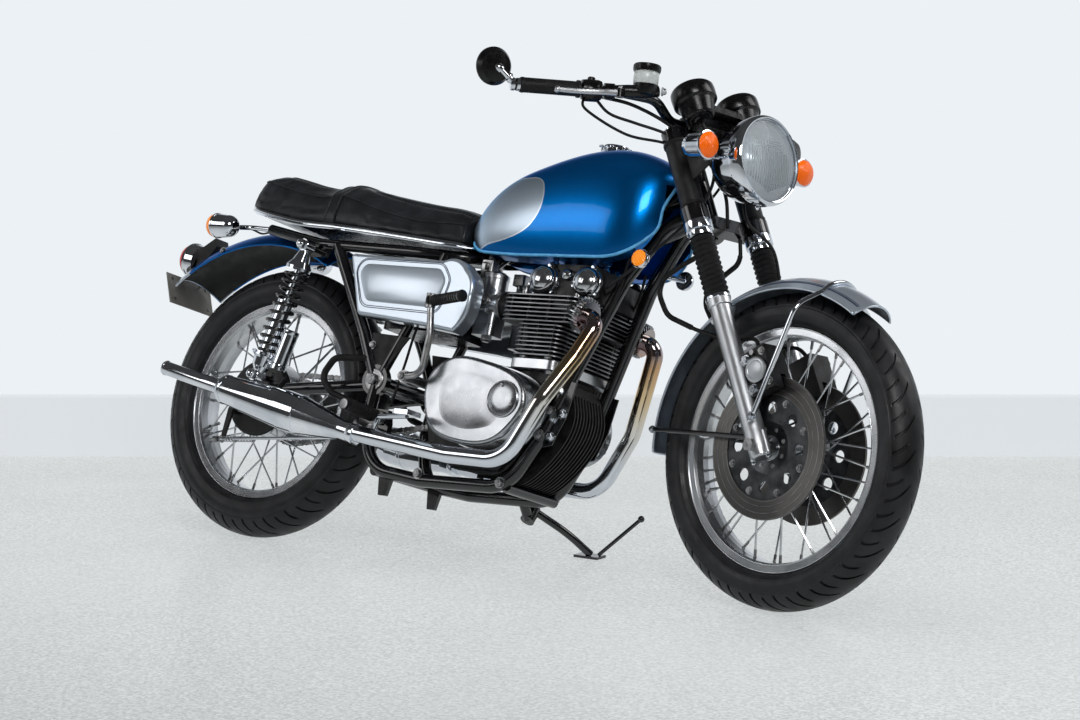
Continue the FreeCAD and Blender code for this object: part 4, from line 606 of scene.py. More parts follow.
# The body that a finish is used on, its slot, what makes it and the values for that
FINISHES = {
    "frame paint": ("frame", "frame_black", make_surface, BLACK_PAINT),
    "fork paint": ("steering", "frame_black", make_surface, BLACK_PAINT),
    "stand paint": ("frame", "frame_black", make_surface, BLACK_PAINT),
    "black casting": ("frame", "black_cast", make_surface, BLACK_CAST),
    "caliper casting": ("steering", "black_cast", make_surface, BLACK_CAST),
    "rear hub casting": ("frame", "black_cast", make_surface, BLACK_CAST),
    "plated steel": ("frame", "plain_steel", make_surface, PLATED_STEEL),
    "plated steel fork": ("steering", "plain_steel", make_surface, PLATED_STEEL),
    "engine alloy": ("frame", "alloy", make_alloy, {}),
    "fork alloy": ("steering", "alloy", make_alloy, {"low": 0.36, "high": 0.46}),
    "front rim alloy": ("front_wheel", "alloy", make_alloy, {"low": 0.2, "high": 0.26}),
    "rear rim alloy": ("rear_wheel", "alloy", make_alloy, {"low": 0.2, "high": 0.26}),
    # The engine covers' alloy is drawn darker than the rest to dim the lamp's reflection on them: painted
    # shade.
    "cover alloy": ("frame", "alloy", make_alloy, {"low": 0.2, "high": 0.3, "level": 160}),
    "polished alloy": ("frame", "alloy", make_alloy, {"low": 0.09, "high": 0.17, "level": 206}),
    "fin alloy": ("frame", "alloy", make_alloy, {"low": 0.4, "high": 0.52, "level": 138}),
    "carrier alloy": ("front_wheel", "alloy", make_surface, CARRIER_ALLOY),
    "chrome": ("frame", "chrome", make_surface, CHROME),
    "chrome fork": ("steering", "chrome", make_surface, CHROME),
    "heated chrome": ("frame", "chrome", make_header_chrome, {}),
    "lamp reflector": ("steering", "chrome", make_surface, REFLECTOR),
    "tank paint": ("frame", "blue_paint", make_tank_paint, {}),
    "blue paint": ("frame", "blue_paint", make_flaked_paint,
                   {"shade": (0, 98, 176), "sparkle": (0, 160, 232), **BLUE_COAT}),
    "silver paint": ("frame", "silver_paint", make_flaked_paint, SILVER_PAINT),
    "silver paint fork": ("steering", "silver_paint", make_flaked_paint, SILVER_PAINT),
    "seat vinyl": ("frame", "seat_cover", make_seat_vinyl, {}),
    "black rubber": ("frame", "black_rubber", make_surface, RUBBER),
    "black rubber fork": ("steering", "black_rubber", make_surface, RUBBER),
    # A dark grey-blue for the lining under the front fender's inside.
    "inner paint fork": ("steering", "black_cast", make_surface,
                         {**RUBBER, "dark": (58, 68, 80), "light": (69, 79, 91)}),
    "front tyre rubber": ("front_wheel", "tyre_black", make_surface, TYRE_RUBBER),
    "rear tyre rubber": ("rear_wheel", "tyre_black", make_surface, TYRE_RUBBER),
    "black plastic": ("frame", "black_plastic", make_plastic, {}),
    "black plastic fork": ("steering", "gauge_black", make_plastic, {}),
    "red lens": ("frame", "red_lens", make_lens, {"shade": (150, 8, 10), "glow": (215, 30, 24)}),
    "amber lens": ("frame", "amber_lens", make_lens, {"shade": (250, 120, 8), "glow": (255, 176, 50)}),
    "amber lens fork": ("steering", "amber_lens", make_lens,
                        {"shade": (226, 78, 2), "glow": (255, 128, 12)}),
    "lamp glass": ("steering", "clear_glass", make_glass, {"haze": 0.1}),
    "lamp flutes": ("steering", "clear_glass", make_glass, {"haze": 0.8}),
    "fluid pot": ("steering", "clear_glass", make_fluid_pot, {}),
    "disc steel": ("front_wheel", "plain_steel", make_disc_steel, {}),
    "bare plate": ("frame", "plate_grey", make_surface, BARE_PLATE),
    "dial face": ("steering", "gauge_black", make_surface, DIAL_FACE),
    "dial marks": ("steering", "gauge_black", make_marking, {"shade": (220, 222, 222)}),
    "dial needle": ("steering", "gauge_black", make_marking, {"shade": (200, 60, 24)}),
    # The tank's seam flange in a lighter blue than the tank: painted highlight along the seam.
    "light blue line": ("frame", "blue_paint", make_marking, {"shade": (96, 176, 226)}),
    "dark line": ("frame", "blue_paint", make_marking, {"shade": (52, 62, 84)}),
    "dark line fork": ("steering", "blue_paint", make_marking, {"shade": (52, 62, 84)}),
}
MATERIALS = {}


def finish_of(name):
    """A finish by name, made once when it is first asked for."""
    if name not in MATERIALS:
        body, _, make, values = FINISHES[name]
        MATERIALS[name] = make(name, body, **values).material
    return MATERIALS[name]


NODE_FINISHES = {
    "frame paint": "main_frame swingarm shock_springs",
    "fork paint": "triple_clamps handlebar",
    "stand paint": "side_stand",
    "black casting": "crankcase cylinder_block cylinder_head",
    "caliper casting": "fork_covers hand_controls brake_calipers",
    "rear hub casting": "rear_brake_panel",
    "plated steel": "rear_axle drive_chain fuel_taps kickstarter rear_sprocket",
    "plated steel fork": "front_axle",
    "engine alloy": "carburettors",
    "fork alloy": "fork_lowers",
    "front rim alloy": "front_wheel_rim",
    "rear rim alloy": "rear_wheel_rim",
    "cover alloy": "engine_covers",
    "polished alloy": "rocker_covers",
    "carrier alloy": "disc_carriers",
    "chrome": "shock_dampers mufflers tank_cap tail_light rear_signals brake_pedal gear_lever "
              "side_reflectors",
    "chrome fork": "fork_tubes headlight front_signals",
    "heated chrome": "exhaust_headers",
    "tank paint": "fuel_tank",
    "blue paint": "rear_fender",
    "silver paint": "side_covers",
    "silver paint fork": "front_fender",
    "seat vinyl": "seat",
    "black rubber": "foot_pegs",
    "black rubber fork": "brake_hoses fork_gaiters grips",
    "front tyre rubber": "front_tyre",
    "rear tyre rubber": "rear_tyre",
    "black plastic": "seat_base battery_box",
    "black plastic fork": "mirrors gauges",
    "lamp glass": "headlight_glass",
    "disc steel": "front_discs",
    "bare plate": "plate_bracket",
}


# Sizes and colours that a user may change

CAMERA_PLACE = (2.987, -4.229, 0.997)
# Place, aim, width and depth, and share of the power
LAMPS = {
    "side key": ((-1.95, -2.9, 2.0), (0.1, 0.0, 0.6), (1.9, 1.3), 0.17),
    "front key": ((2.8, -2.8, 3.0), (0.3, 0.0, 0.5), (1.6, 1.2), 0.62),
    "rim": ((2.8, 1.6, 2.8), (0.3, 0.0, 0.6), (1.6, 1.6), 0.35),
    "overhead": ((-0.6, -0.4, 4.4), (0.0, -0.3, 0.0), (4.0, 3.0), 1.0),
}
WALL_DISTANCE = 1.447
ROOM_WIDTH = 14
FLOOR_LENGTH = 22
BOARD_THICKNESS = 0.015
BOARD_HEIGHT = 0.18
BOARD_BACK_HEIGHT = 0.187


class StageSettings(bpy.types.PropertyGroup):
    """The camera, the lamps and the room."""

    azimuth: FloatProperty(name="Azimuth", description="Where the camera stands, round from the rear",
                           default=math.radians(35.84), subtype="ANGLE")
    dip: FloatProperty(name="Dip", description="How far the camera looks down", default=math.radians(6.08),
                       subtype="ANGLE")
    lens: FloatProperty(name="Lens", description="Focal length", default=73.9, unit="CAMERA")
    key_power: FloatProperty(name="Key power", description="Watts of the large lamp", default=110.0,
                             unit="POWER")
    wall_colour: FloatVectorProperty(name="Wall", description="Colour of the wall", subtype="COLOR", size=4,
                                     default=colour(236, 241, 245))


class BuildStage(bpy.types.Operator):
    """Makes the camera, the lamps, the pale wall and the speckled floor"""

    bl_idname = "cafe_racer.stage"
    bl_label = "Stage"

    def execute(self, context):
        settings = context.scene.cafe_racer_stage
        lens = bpy.data.cameras.new("camera")
        lens.sensor_width = 36.0
        lens.lens = settings.lens
        camera = link("camera", lens)
        camera.location = CAMERA_PLACE
        camera.rotation_euler = (math.radians(90) - settings.dip, 0.0, settings.azimuth)
        context.scene.camera = camera
        context.scene.view_settings.view_transform = "Standard"
        self.light_world(context.scene, settings)
        for name, (place, aim, size, share) in LAMPS.items():
            light = bpy.data.lights.new(name, "AREA")
            light.shape = "RECTANGLE"
            light.size, light.size_y = size
            light.energy = settings.key_power * share
            lamp = link(name, light)
            lamp.location = place
            lamp.rotation_euler = (Vector(aim) - Vector(place)).to_track_quat("-Z", "Y").to_euler()
            lamp.visible_glossy = name != "overhead"
        self.build_room(settings)
        return {"FINISHED"}

    def light_world(self, scene, settings):
        """A dim studio. Seen directly it is the pale wall, which metal shows behind the motorcycle."""
        world = bpy.data.worlds.new("studio")
        world.use_nodes = True
        scene.world = world
        nodes = Nodes(world.node_tree)
        view = nodes.node("TexCoord", "Generated")
        height = nodes.node("SeparateXYZ", "Z", {0: view})
        towards = (-math.sin(settings.azimuth), math.cos(settings.azimuth), 0.0)
        facing = nodes.node("VectorMath", "Value", {0: view, 1: towards}, operation="DOT_PRODUCT")
        band = self.ramp(nodes, height, -1.0, 1.0, (0.18, 0.18, 0.18, 0.19, 0.22))
        dark = self.ramp(nodes, height, -1.0, 1.0, (0.12, 0.09, 0.05, 0.04, 0.06))
        wall = self.ramp(nodes, facing, -0.05, 0.4, (0.0, 0.5, 0.9, 1.0))
        low = self.ramp(nodes, height, 0.12, 0.62, (1.0, 0.75, 0.25, 0.0))
        mirrored = nodes.math("MAXIMUM", nodes.ray("Glossy"), nodes.ray("Transmission"))
        faced = nodes.math("MULTIPLY", nodes.math("MULTIPLY", mirrored, low), wall)
        shown = nodes.math("MAXIMUM", nodes.ray("Camera"), faced)
        room = nodes.mix(mirrored, band, dark)
        nodes.join(nodes.mix(shown, room, settings.wall_colour),
                   world.node_tree.nodes["Background"].inputs["Color"])

    def ramp(self, nodes, value, low, high, levels):
        """An even run of grey levels over a value."""
        last = len(levels) - 1
        greys = [(number / last, (level, level, level, 1.0)) for number, level in enumerate(levels)]
        return nodes.stops(nodes.spread(value, low, high, smooth=False), greys)

    def build_room(self, settings):
        """The floor up to the wall, and the low board at the wall's foot."""
        depth = Vector((-math.sin(settings.azimuth), math.cos(settings.azimuth), 0.0))
        across = Vector((depth.y, -depth.x, 0.0)) * ROOM_WIDTH
        back = depth * WALL_DISTANCE
        front = back - depth * BOARD_THICKNESS
        near = back - depth * FLOOR_LENGTH
        top, back_top = UP * BOARD_HEIGHT, UP * BOARD_BACK_HEIGHT
        floor = [near + across, near - across, back - across, back + across]
        board = [front - across, front + across, front + across + top, front - across + top,
                 back + across + back_top, back - across + back_top]
        for name, points, faces, finish in (("floor", floor, [(0, 1, 2, 3)], self.floor_finish()),
                                            ("skirting", board, [(0, 1, 2, 3), (3, 2, 4, 5)],
                                             self.wall_finish(settings))):
            data = bpy.data.meshes.new(name)
            data.from_pydata([tuple(point) for point in points], [], faces)
            data.materials.append(finish.material)
            link(name, data)

    def floor_finish(self):
        """Polished pale concrete, speckled with grey and dark grains. Much of what is seen of it is plain
        emission, dimmer towards the camera: painted light.
        """
        floor = Finish("speckled floor")
        fine = floor.noise(130.0, 4.0, 0.7)
        shade = floor.mix(floor.spread(fine, 0.36, 0.66), colour(194, 198, 197), colour(228, 231, 232))
        specks = floor.spread(floor.cells(70.0), 0.08, 0.2, 1.0, 0.0)
        some = floor.math("MULTIPLY", specks, floor.drift(24.0, 2.0, 0.5, 0.62))
        shade = floor.mix(some, shade, colour(164, 168, 168))
        shade = floor.mix(floor.drift(0.9, 3.0, 0.3, 0.7, 0.0, 0.35), shade, colour(205, 210, 210))
        floor.set(Base_Color=shade, Roughness=floor.drift(3.0, 4.0, 0.3, 0.7, 0.22, 0.42))
        # Painted light: emission stands in for lamp light on the floor, dimmer towards the camera and
        # brighter from the motorcycle back.
        self.glow(floor, shade, 0.7, floor.spread(floor.axis("Y"), -2.4, -0.2, 0.58, 1.1))
        return floor.bump(fine, 0.12, 0.0008)

    def wall_finish(self, settings):
        """Painted plaster, a touch brighter than the lamps alone would make it."""
        wall = Finish("painted wall", Roughness=0.7)
        shade = [channel * 0.94 for channel in settings.wall_colour[:3]] + [1.0]
        dim = [channel * 0.98 for channel in shade[:3]] + [1.0]
        tone = wall.mix(wall.noise(1.2, 3.0), dim, shade)
        wall.set(Base_Color=tone)
        self.glow(wall, tone, 0.72)
        return wall.bump(wall.noise(60.0, 4.0), 0.05, 0.001)

    def glow(self, finish, shade, share, strength=1.0):
        """Draws part of what a ray sees as plain emission, so that shadows stay soft: painted light."""
        seen = finish.math("MAXIMUM", finish.ray("Camera"), finish.ray("Glossy"))
        seen = finish.math("MAXIMUM", seen, finish.ray("Transmission"))
        plain = finish.node("Emission", 0, {"Strength": strength, "Color": shade})
        finish.show(finish.math("MULTIPLY", seen, share), finish.shader.outputs[0], plain)


# Seat, tank and panels

SEAT_STATIONS = (
    (-112.0, 100.0, 880.0, 800.0), (-84.0, 114.0, 893.0, 790.0), (-20.0, 124.0, 885.0, 776.0),
    (60.0, 128.0, 868.0, 762.0), (120.0, 128.0, 862.0, 757.0), (180.0, 128.0, 868.0, 754.0),
    (240.0, 128.0, 858.0, 749.0), (300.0, 127.0, 848.0, 744.0), (420.0, 118.0, 831.0, 734.0),
    (500.0, 106.0, 823.0, 728.0), (548.0, 94.0, 813.0, 726.0),
)
SEAT_EDGE = 0.62
PIPING_HEIGHT = (
    (-112.0, 0.82), (-60.0, 0.76), (0.0, 0.72), (100.0, 0.70), (170.0, 0.70), (230.0, 0.66), (300.0, 0.56),
    (400.0, 0.47), (480.0, 0.50), (548.0, 0.56),
)
CLOTH_FRAMES = 20
LARGEST_SWELL = 0.006


def seat_section_point(x, turn, inset=0.0):
    """A point of the seat's section at x. turn runs from -1 at the right edge over the top to 1."""
    half = curve_value(SEAT_STATIONS, x, 1) - inset
    top = curve_value(SEAT_STATIONS, x, 2) - inset
    bottom = curve_value(SEAT_STATIONS, x, 3) + inset * 0.3
    pipe = curve_value(PIPING_HEIGHT, x, 1)
    height = top - bottom
    side = 1 if turn >= 0 else -1
    share = abs(turn)
    if share < SEAT_EDGE:
        across = share / SEAT_EDGE
        crown = 1 - (across ** 2.6) * (1 - pipe)
        y, z = across * half * 0.95, bottom + height * crown
    else:
        down = (share - SEAT_EDGE) / (1 - SEAT_EDGE)
        bulge = math.sin(math.pi * down) * 0.055
        y, z = half * (0.95 + bulge + 0.02 * down), bottom + height * pipe * (1 - down)
    return side * y, z


class SeatSettings(bpy.types.PropertyGroup):
    """The seat's padding and stitching."""

    pressure: FloatProperty(name="Pressure", description="How hard the padding fills the cover", default=4.0)
    piping: FloatProperty(name="Piping", description="Radius of the piping in millimetres", default=2.1)
    channel: FloatProperty(name="Channel", description="Depth of the sewn channels in millimetres",
                           default=3.4)


def seat_row(x_low, x_high, inset, steps=44, shrink=1.0, centre=None):
    """One ring round the seat; its ends lean, so the top and the bottom stand at different x."""
    ring = []
    for step in range(steps + 1):
        turn = -1 + 2 * step / steps
        y, z = seat_section_point((x_low + x_high) / 2, turn, inset)
        bottom = curve_value(SEAT_STATIONS, (x_low + x_high) / 2, 3)
        top = curve_value(SEAT_STATIONS, (x_low + x_high) / 2, 2)
        share = min(max((z - bottom) / (top - bottom), 0.0), 1.0)
        ring.append(Vector((x_low + (x_high - x_low) * share, y, z)))
    for step in range(1, 9):
        ring.append(ring[steps].lerp(ring[0], step / 9))
    if shrink != 1.0:
        middle = sum(ring, Vector()) / len(ring)
        ring = [middle + (point - middle) * shrink + (centre or Vector()) for point in ring]
    return ring


class BuildSeat(bpy.types.Operator):
    """Makes the padded seat: a swollen cover with sewn channels, piping and a strap"""

    bl_idname = "cafe_racer.seat"
    bl_label = "Seat"

    def execute(self, context):
        settings = context.scene.cafe_racer_seat
        cover = self.cover(settings)
        self.sew_channels(cover, settings.channel)
        surface = surface_of(cover)
        self.add_piping(surface, settings.piping)
        self.add_strap(surface)
        self.add_trim()
        return {"FINISHED"}

    def cover(self, settings):
        inset = 3.0
        rows = []
        for step in range(1, 6):
            turn = math.pi / 2 * step / 5
            rows.append(seat_row(-121.0, -94.0, inset, shrink=0.80 + 0.20 * math.sin(turn),
                                 centre=Vector((-9.0 * math.cos(turn), 0, 0)) + Vector((10, 0, 0))))
        for step in range(46):
            share = step / 45
            rows.append(seat_row(-111.0 + 655.0 * share, -84.0 + 624.0 * share, inset))
        for step in range(4, 0, -1):
            turn = math.pi / 2 * step / 5
            rows.append(seat_row(544.0, 540.0, inset, shrink=0.84 + 0.16 * math.sin(turn),
                                 centre=Vector((8.0 * math.cos(turn), 0, 0))))
        shape = Shape()
        shape.grid(rows, caps="both")
        cover = shape.piece("seat_cover", "seat vinyl", sharp=None)
        self.fill(cover, settings.pressure)
        smoother = cover.modifiers.new("finer", "SUBSURF")
        smoother.levels = smoother.render_levels = 1
        apply_modifiers(cover)
        cover.data.shade_smooth()
        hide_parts("seat")
        return cover

    def fill(self, cover, pressure):
        """Swells the cover with a short cloth simulation, held along its base."""
        remesh = cover.modifiers.new("even", "REMESH")
        remesh.mode = "VOXEL"
        remesh.voxel_size = 0.006
        apply_modifiers(cover)
        rest = [vertex.co.copy() for vertex in cover.data.vertices]
        to_bike = PARKED.inverted()
        held = cover.vertex_groups.new(name="held")
        for vertex in cover.data.vertices:
            place = to_bike @ vertex.co
            base = curve_value(SEAT_STATIONS, place.x, 3)
            if place.z < base + 9.0:
                held.add([vertex.index], 1.0, "REPLACE")
        cloth = cover.modifiers.new("cloth", "CLOTH")
        cloth.settings.use_pressure = True
        cloth.settings.uniform_pressure_force = pressure
        cloth.settings.effector_weights.gravity = 0.0
        cloth.settings.vertex_group_mass = "held"
        cloth.settings.tension_stiffness = cloth.settings.compression_stiffness = 30.0
        cloth.point_cache.frame_start = 1
        cloth.point_cache.frame_end = CLOTH_FRAMES
        for number in range(1, CLOTH_FRAMES + 1):
            bpy.context.scene.frame_set(number)
        apply_modifiers(cover)
        bpy.context.scene.frame_set(1)
        for vertex, start in zip(cover.data.vertices, rest):
            move = vertex.co - start
            if move.length > LARGEST_SWELL:
                vertex.co = start + move.normalized() * LARGEST_SWELL
        cover.vertex_groups.clear()

    def sew_channels(self, cover, depth):
        """Presses the stitched lines of the top into the cover."""
        rider = [(205, 0), (212, 40), (232, 62), (300, 70), (420, 66), (535, 56)]
        tail = [(118, 0), (112, 40), (92, 58), (30, 66), (-40, 62), (-72, 46), (-84, 0)]
        spots = []
        for points in (rider, tail):
            line = smooth_line([(x, y, 0) for x, y in points], 12)
            spots += [Vector((point.x, side * point.y, 0)) for side in (-1, 1) for point in line]
        tree = KDTree(len(spots))
        for number, spot in enumerate(spots):
            tree.insert(spot, number)
        tree.balance()
        to_bike = PARKED.inverted()
        for vertex in cover.data.vertices:
            place = to_bike @ vertex.co
            middle = curve_value(SEAT_STATIONS, place.x, 3) + 45
            if place.z < middle:
                continue
            _, _, away = tree.find(Vector((place.x, place.y, 0)))
            place.z -= depth * math.exp(-(away / 5.0) ** 2) - 0.9 * math.exp(-((away - 13.0) / 7.0) ** 2)
            vertex.co = PARKED @ place
        cover.data.update()

    def add_piping(self, surface, radius):
        for side, word in SIDES:
            line = []
            for step in range(90):
                x = -92.0 + 634.0 * step / 89
                y, z = seat_section_point(x, side * SEAT_EDGE)
                line.append(surface(Vector((x, y, z)), 0.6))
            self.seam("piping_" + word, line, radius)
        back = []
        for step in range(24):
            turn = -SEAT_EDGE + 2 * SEAT_EDGE * step / 23
            y, z = seat_section_point(-92.0, turn)
            back.append(surface(Vector((-96.0, y, z)), 0.6))
        self.seam("piping_back", back, radius)

    def seam(self, name, line, radius):
        shape = Shape()
        shape.bar(line, radius, 10)
        shape.piece(name, "seat vinyl", sharp=None)

    def add_strap(self, surface):
        shape = Shape()
        rows = []
        lines = ([], [])
        for step in range(61):
            turn = -0.985 + 1.97 * step / 60
            lean = 14.0 * (1 - abs(turn))
            row = []
            for offset, lift in ((-17, 0.2), (-16, 3.4), (-12, 4.0), (12, 4.0), (16, 3.4), (17, 0.2)):
                x = 160.0 + lean + offset
                y, z = seat_section_point(x, turn)
                row.append(surface(Vector((x, y, z)), lift))
            rows.append(row)
            lines[0].append((row[1] + row[2]) / 2)
            lines[1].append((row[3] + row[4]) / 2)
        shape.grid(rows, closed_columns=False)
        for line in lines:
            shape.bar(line, 2.0, 8)
        shape.piece("seat_strap", "seat vinyl", sharp=50.0)

    def add_trim(self):
        """The ridged bright moulding round the seat's base, with a bullet end."""
        shape = Shape()
        path = []
        for step in range(40):
            x = 584.0 - 690.0 * step / 39
            path.append(Vector((x, -(0.97 * curve_value(SEAT_STATIONS, x, 1) + 3.0),
                                curve_value(SEAT_STATIONS, x, 3) - 5.0 - max(x - 540, 0) * 0.12)))
        corner = [Vector((-117, -88, 803)), Vector((-123, -60, 806)), Vector((-125, -20, 807))]
        line = path + corner
        line = line + [Vector((point.x, -point.y, point.z)) for point in reversed(line)]
        rows = []
        for index, point in enumerate(line):
            along = direction_at(line, index)
            out = along.cross(UP).normalized()
            out = -out if out.y * point.y < 0 and abs(point.y) > 30 else out
            if abs(point.y) <= 60 and point.x < -100:
                out = Vector((-1, 0, 0))
            taper = min(1.0, 0.35 + 0.65 * min(index, len(line) - 1 - index) / 2)
            ring = []
            for away, up in ((-3, -8), (2.0, -8), (4.2, -5.5), (4.4, -2), (3.2, -0.6), (4.4, 0.8), (4.2, 4),
                             (2.0, 6.5), (-3, 6.5)):
                ring.append(point + out * away + UP * (up * taper))
            rows.append(ring)
        shape.grid(rows, caps="both")
        shape.piece("seat_moulding", "chrome", sharp=40.0)


def apply_modifiers(obj):
    depsgraph = bpy.context.evaluated_depsgraph_get()
    depsgraph.update()
    fresh = bpy.data.meshes.new_from_object(obj.evaluated_get(depsgraph))
    old = obj.data
    obj.modifiers.clear()
    obj.data = fresh
    fresh.name = old.name
    if not fresh.materials and old.materials:
        fresh.materials.append(old.materials[0])


def surface_of(obj):
    """A function that drops an upright point on to a surface and lifts it off by some millimetres."""
    back = PARKED.inverted()
    points = [back @ vertex.co for vertex in obj.data.vertices]
    tree = BVHTree.FromPolygons(points, [tuple(face.vertices) for face in obj.data.polygons])

    def drop(point, lift=0.0):
        found, normal, _, _ = tree.find_nearest(point)
        if (point - found).dot(normal) < 0 and (point - found).length > 20:
            normal = -normal
        return found + normal * lift
    return drop


TANK_STATIONS = (
    (556.0, 66.0, 800.0, 742.0), (590.0, 96.0, 838.0, 714.0), (650.0, 114.0, 893.0, 704.0),
    (730.0, 124.0, 930.0, 700.0), (820.0, 130.0, 958.0, 700.0), (900.0, 133.0, 970.0, 700.0),
    (980.0, 130.0, 962.0, 706.0), (1032.0, 112.0, 942.0, 736.0), (1060.0, 84.0, 924.0, 776.0),
    (1076.0, 58.0, 908.0, 800.0),
)


class BuildTankTrim(bpy.types.Operator):
    """Makes the tank's seam flange, in a lighter blue that is a painted highlight along the seam, and the
    filler cap's fittings
    """

    bl_idname = "cafe_racer.tank_trim"
    bl_label = "Tank trim"

    def execute(self, context):
        drop = surface_of(frame["nodes"]["fuel_tank"])
        flange = Shape()
        for side in (-1, 1):
            line = []
            for step in range(54):
                x = 562.0 + 512.0 * step / 53
                half = curve_value(TANK_STATIONS, x, 1)
                bottom = curve_value(TANK_STATIONS, x, 3)
                line.append(Vector((x, side * (half * 0.875 + 1.0), bottom + 1.0)))
            line += [Vector((1078, side * 54, 830)), Vector((1078, side * 55, 862)),
                     Vector((1076, side * 44, 893)), Vector((1073, side * 22, 904)), Vector((1072, 0, 907))]
            line = smooth_line([drop(point, 0.8) for point in line], 3)
            flange.bar(line, 3.6, 10)
        flange.piece("tank_flange", "light blue line", sharp=None)
        cap = Shape()
        centre = Vector((862, 0, 984))
        cap.turned([(0, 31), (2.4, 30), (3.4, 26), (3.0, 23), (4.4, 20), (5.0, 0)], centre, UP, 40)
        for spoke in spokes(30, FORWARD, LEFT):
            ridge = centre + spoke * 34.2
            cap.bar([ridge - UP * 11, ridge - UP * 2.2], 1.5, 6)
        cap.prism([centre + Vector(corner) for corner in ((-44, -9, 2), (-34, -12, 2), (-30, 12, 2),
                                                          (-44, 9, 2))], UP * 5, bevel=1.2)
        cap.bolt(centre + Vector((40, 0, -10)), UP, 9, 4)
        cap.piece("tank_cap_fittings", "chrome")
        return {"FINISHED"}


def rounded_outline(corners, radius, steps=6):
    """A closed outline in the XZ plane with rounded corners."""
    points = [Vector((x, 0, z)) for x, z in corners]
    closed = [points[-1]] + points + [points[0]]
    line = []
    for before, corner, after in zip(closed, closed[1:], closed[2:]):
        arc = round_corners([before, corner, after], radius, steps)
        line.extend(arc[1:-1])
    return line


STRIPE_Y = 164.2


class BuildSideCovers(bpy.types.Operator):
    """Makes the side covers' raised panels and pinstripes"""

    bl_idname = "cafe_racer.side_covers"
    bl_label = "Side cover details"

    def execute(self, context):
        for side, word in SIDES:
            panel = Shape()
            outer = rounded_outline([(306, 657), (562, 652), (584, 622), (566, 552), (352, 560)], 26)
            inner = rounded_outline([(316, 648), (556, 643), (574, 620), (558, 561), (360, 569)], 20)
            rows = [[Vector((p.x, side * 162.0, p.z)) for p in outer],
                    [Vector((p.x, side * 166.5, p.z)) for p in inner]]
            panel.grid(rows, caps="last")
            panel.piece("side_panel_" + word, "silver paint", sharp=30.0)
            stripe = Shape()
            for corners, radius in (([(298, 666), (566, 661), (594, 624), (574, 542), (344, 550)], 30),
                                    ([(301, 663), (564, 658), (590, 623), (572, 546), (347, 554)], 28)):
                line = [Vector((p.x, side * STRIPE_Y, p.z)) for p in rounded_outline(corners, radius)]
                flat_ribbon(stripe, line, side, 0.9, 0.5)
            stripe.piece("side_stripe_" + word, "dark line")
        return {"FINISHED"}


def flat_ribbon(shape, line, side, half_width, lift):
    """A closed painted line on a flat side, standing off by a paint film's hair."""
    rows = []
    count = len(line)
    for index, point in enumerate(line):
        along = (line[(index + 1) % count] - line[index - 1]).normalized()
        across = along.cross(LEFT).normalized() * half_width
        out = LEFT * (side * lift)
        rows.append([point - across, point - across + out, point + across + out, point + across])
    shape.grid(rows, closed_rows=True)


# Wheels, chain and springs

TYRES = {
    "front": {"axle": FRONT_AXLE, "radius": FRONT_RADIUS, "half": 50.0, "rim": 254.5, "rim_half": 31.0,
              "blocks": 30},
    "rear": {"axle": REAR_AXLE, "radius": REAR_RADIUS, "half": 58.0, "rim": 242.5, "rim_half": 35.0,
             "blocks": 28},
}
# How far the tread reaches down the shoulders and how far its grooves run back, in degrees
SHOULDER = 74.0
SWEEP = 11.0
SPOKES_A_SIDE = 18
HUB_FLANGES = {"front": [(-48.0, 47.0), (48.0, 47.0)], "rear": [(-54.0, 95.0), (49.0, 62.0)]}
NIPPLE = [(0, 2.1), (1, 3.2), (15, 3.2), (17, 4.4), (20, 4.4)]
VALVE = [(0, 5.4), (3, 5.4), (4, 3.0), (24, 3.0), (25, 4.0), (33, 4.0), (34, 3.2)]


class TreadSettings(bpy.types.PropertyGroup):
    """The tyres' tread."""

    depth: FloatProperty(name="Groove depth", description="Depth of the grooves in millimetres", default=4.5)
    width: FloatProperty(name="Groove width", description="Half width of the grooves in millimetres",
                         default=3.1)


def tread_rows(tyre, settings):
    """Angles round the tyre in degrees, close at the grooves, each with its share of the depth."""
    pitch = 360.0 / tyre["blocks"]
    degree = 1.0 / (math.radians(1.0) * tyre["radius"])
    edges = ((-1.25, 0.0), (-0.75, 1.0), (0.75, 1.0), (1.25, 0.0))
    rows = []
    for block in range(tyre["blocks"]):
        for start in (0.0, 0.5):
            middle = pitch * (block + start)
            rows += [(middle + place * settings.width * degree, share, start) for place, share in edges]
            rows += [(middle + pitch * part, 0.0, start) for part in (0.12, 0.25, 0.38)]
    return rows


def tread_sweep(lean):
    """How far a groove has run back round the tyre at an angle across its crown, in degrees."""
    return -SWEEP * (1 - (1 - min(abs(lean), SHOULDER) / SHOULDER) ** 2)


def groove_depth(share, start, lean, settings):
    """How deep the tread is cut in a row at an angle across its crown: long and short grooves take turns."""
    across = abs(lean)
    first, last = (10.0, 62.0) if (start == 0.0) == (lean >= 0) else (30.0, 68.0)
    ends = min(max(min(across - first, last - across) / 4.0, 0.0), 1.0)
    return settings.depth * share * ends


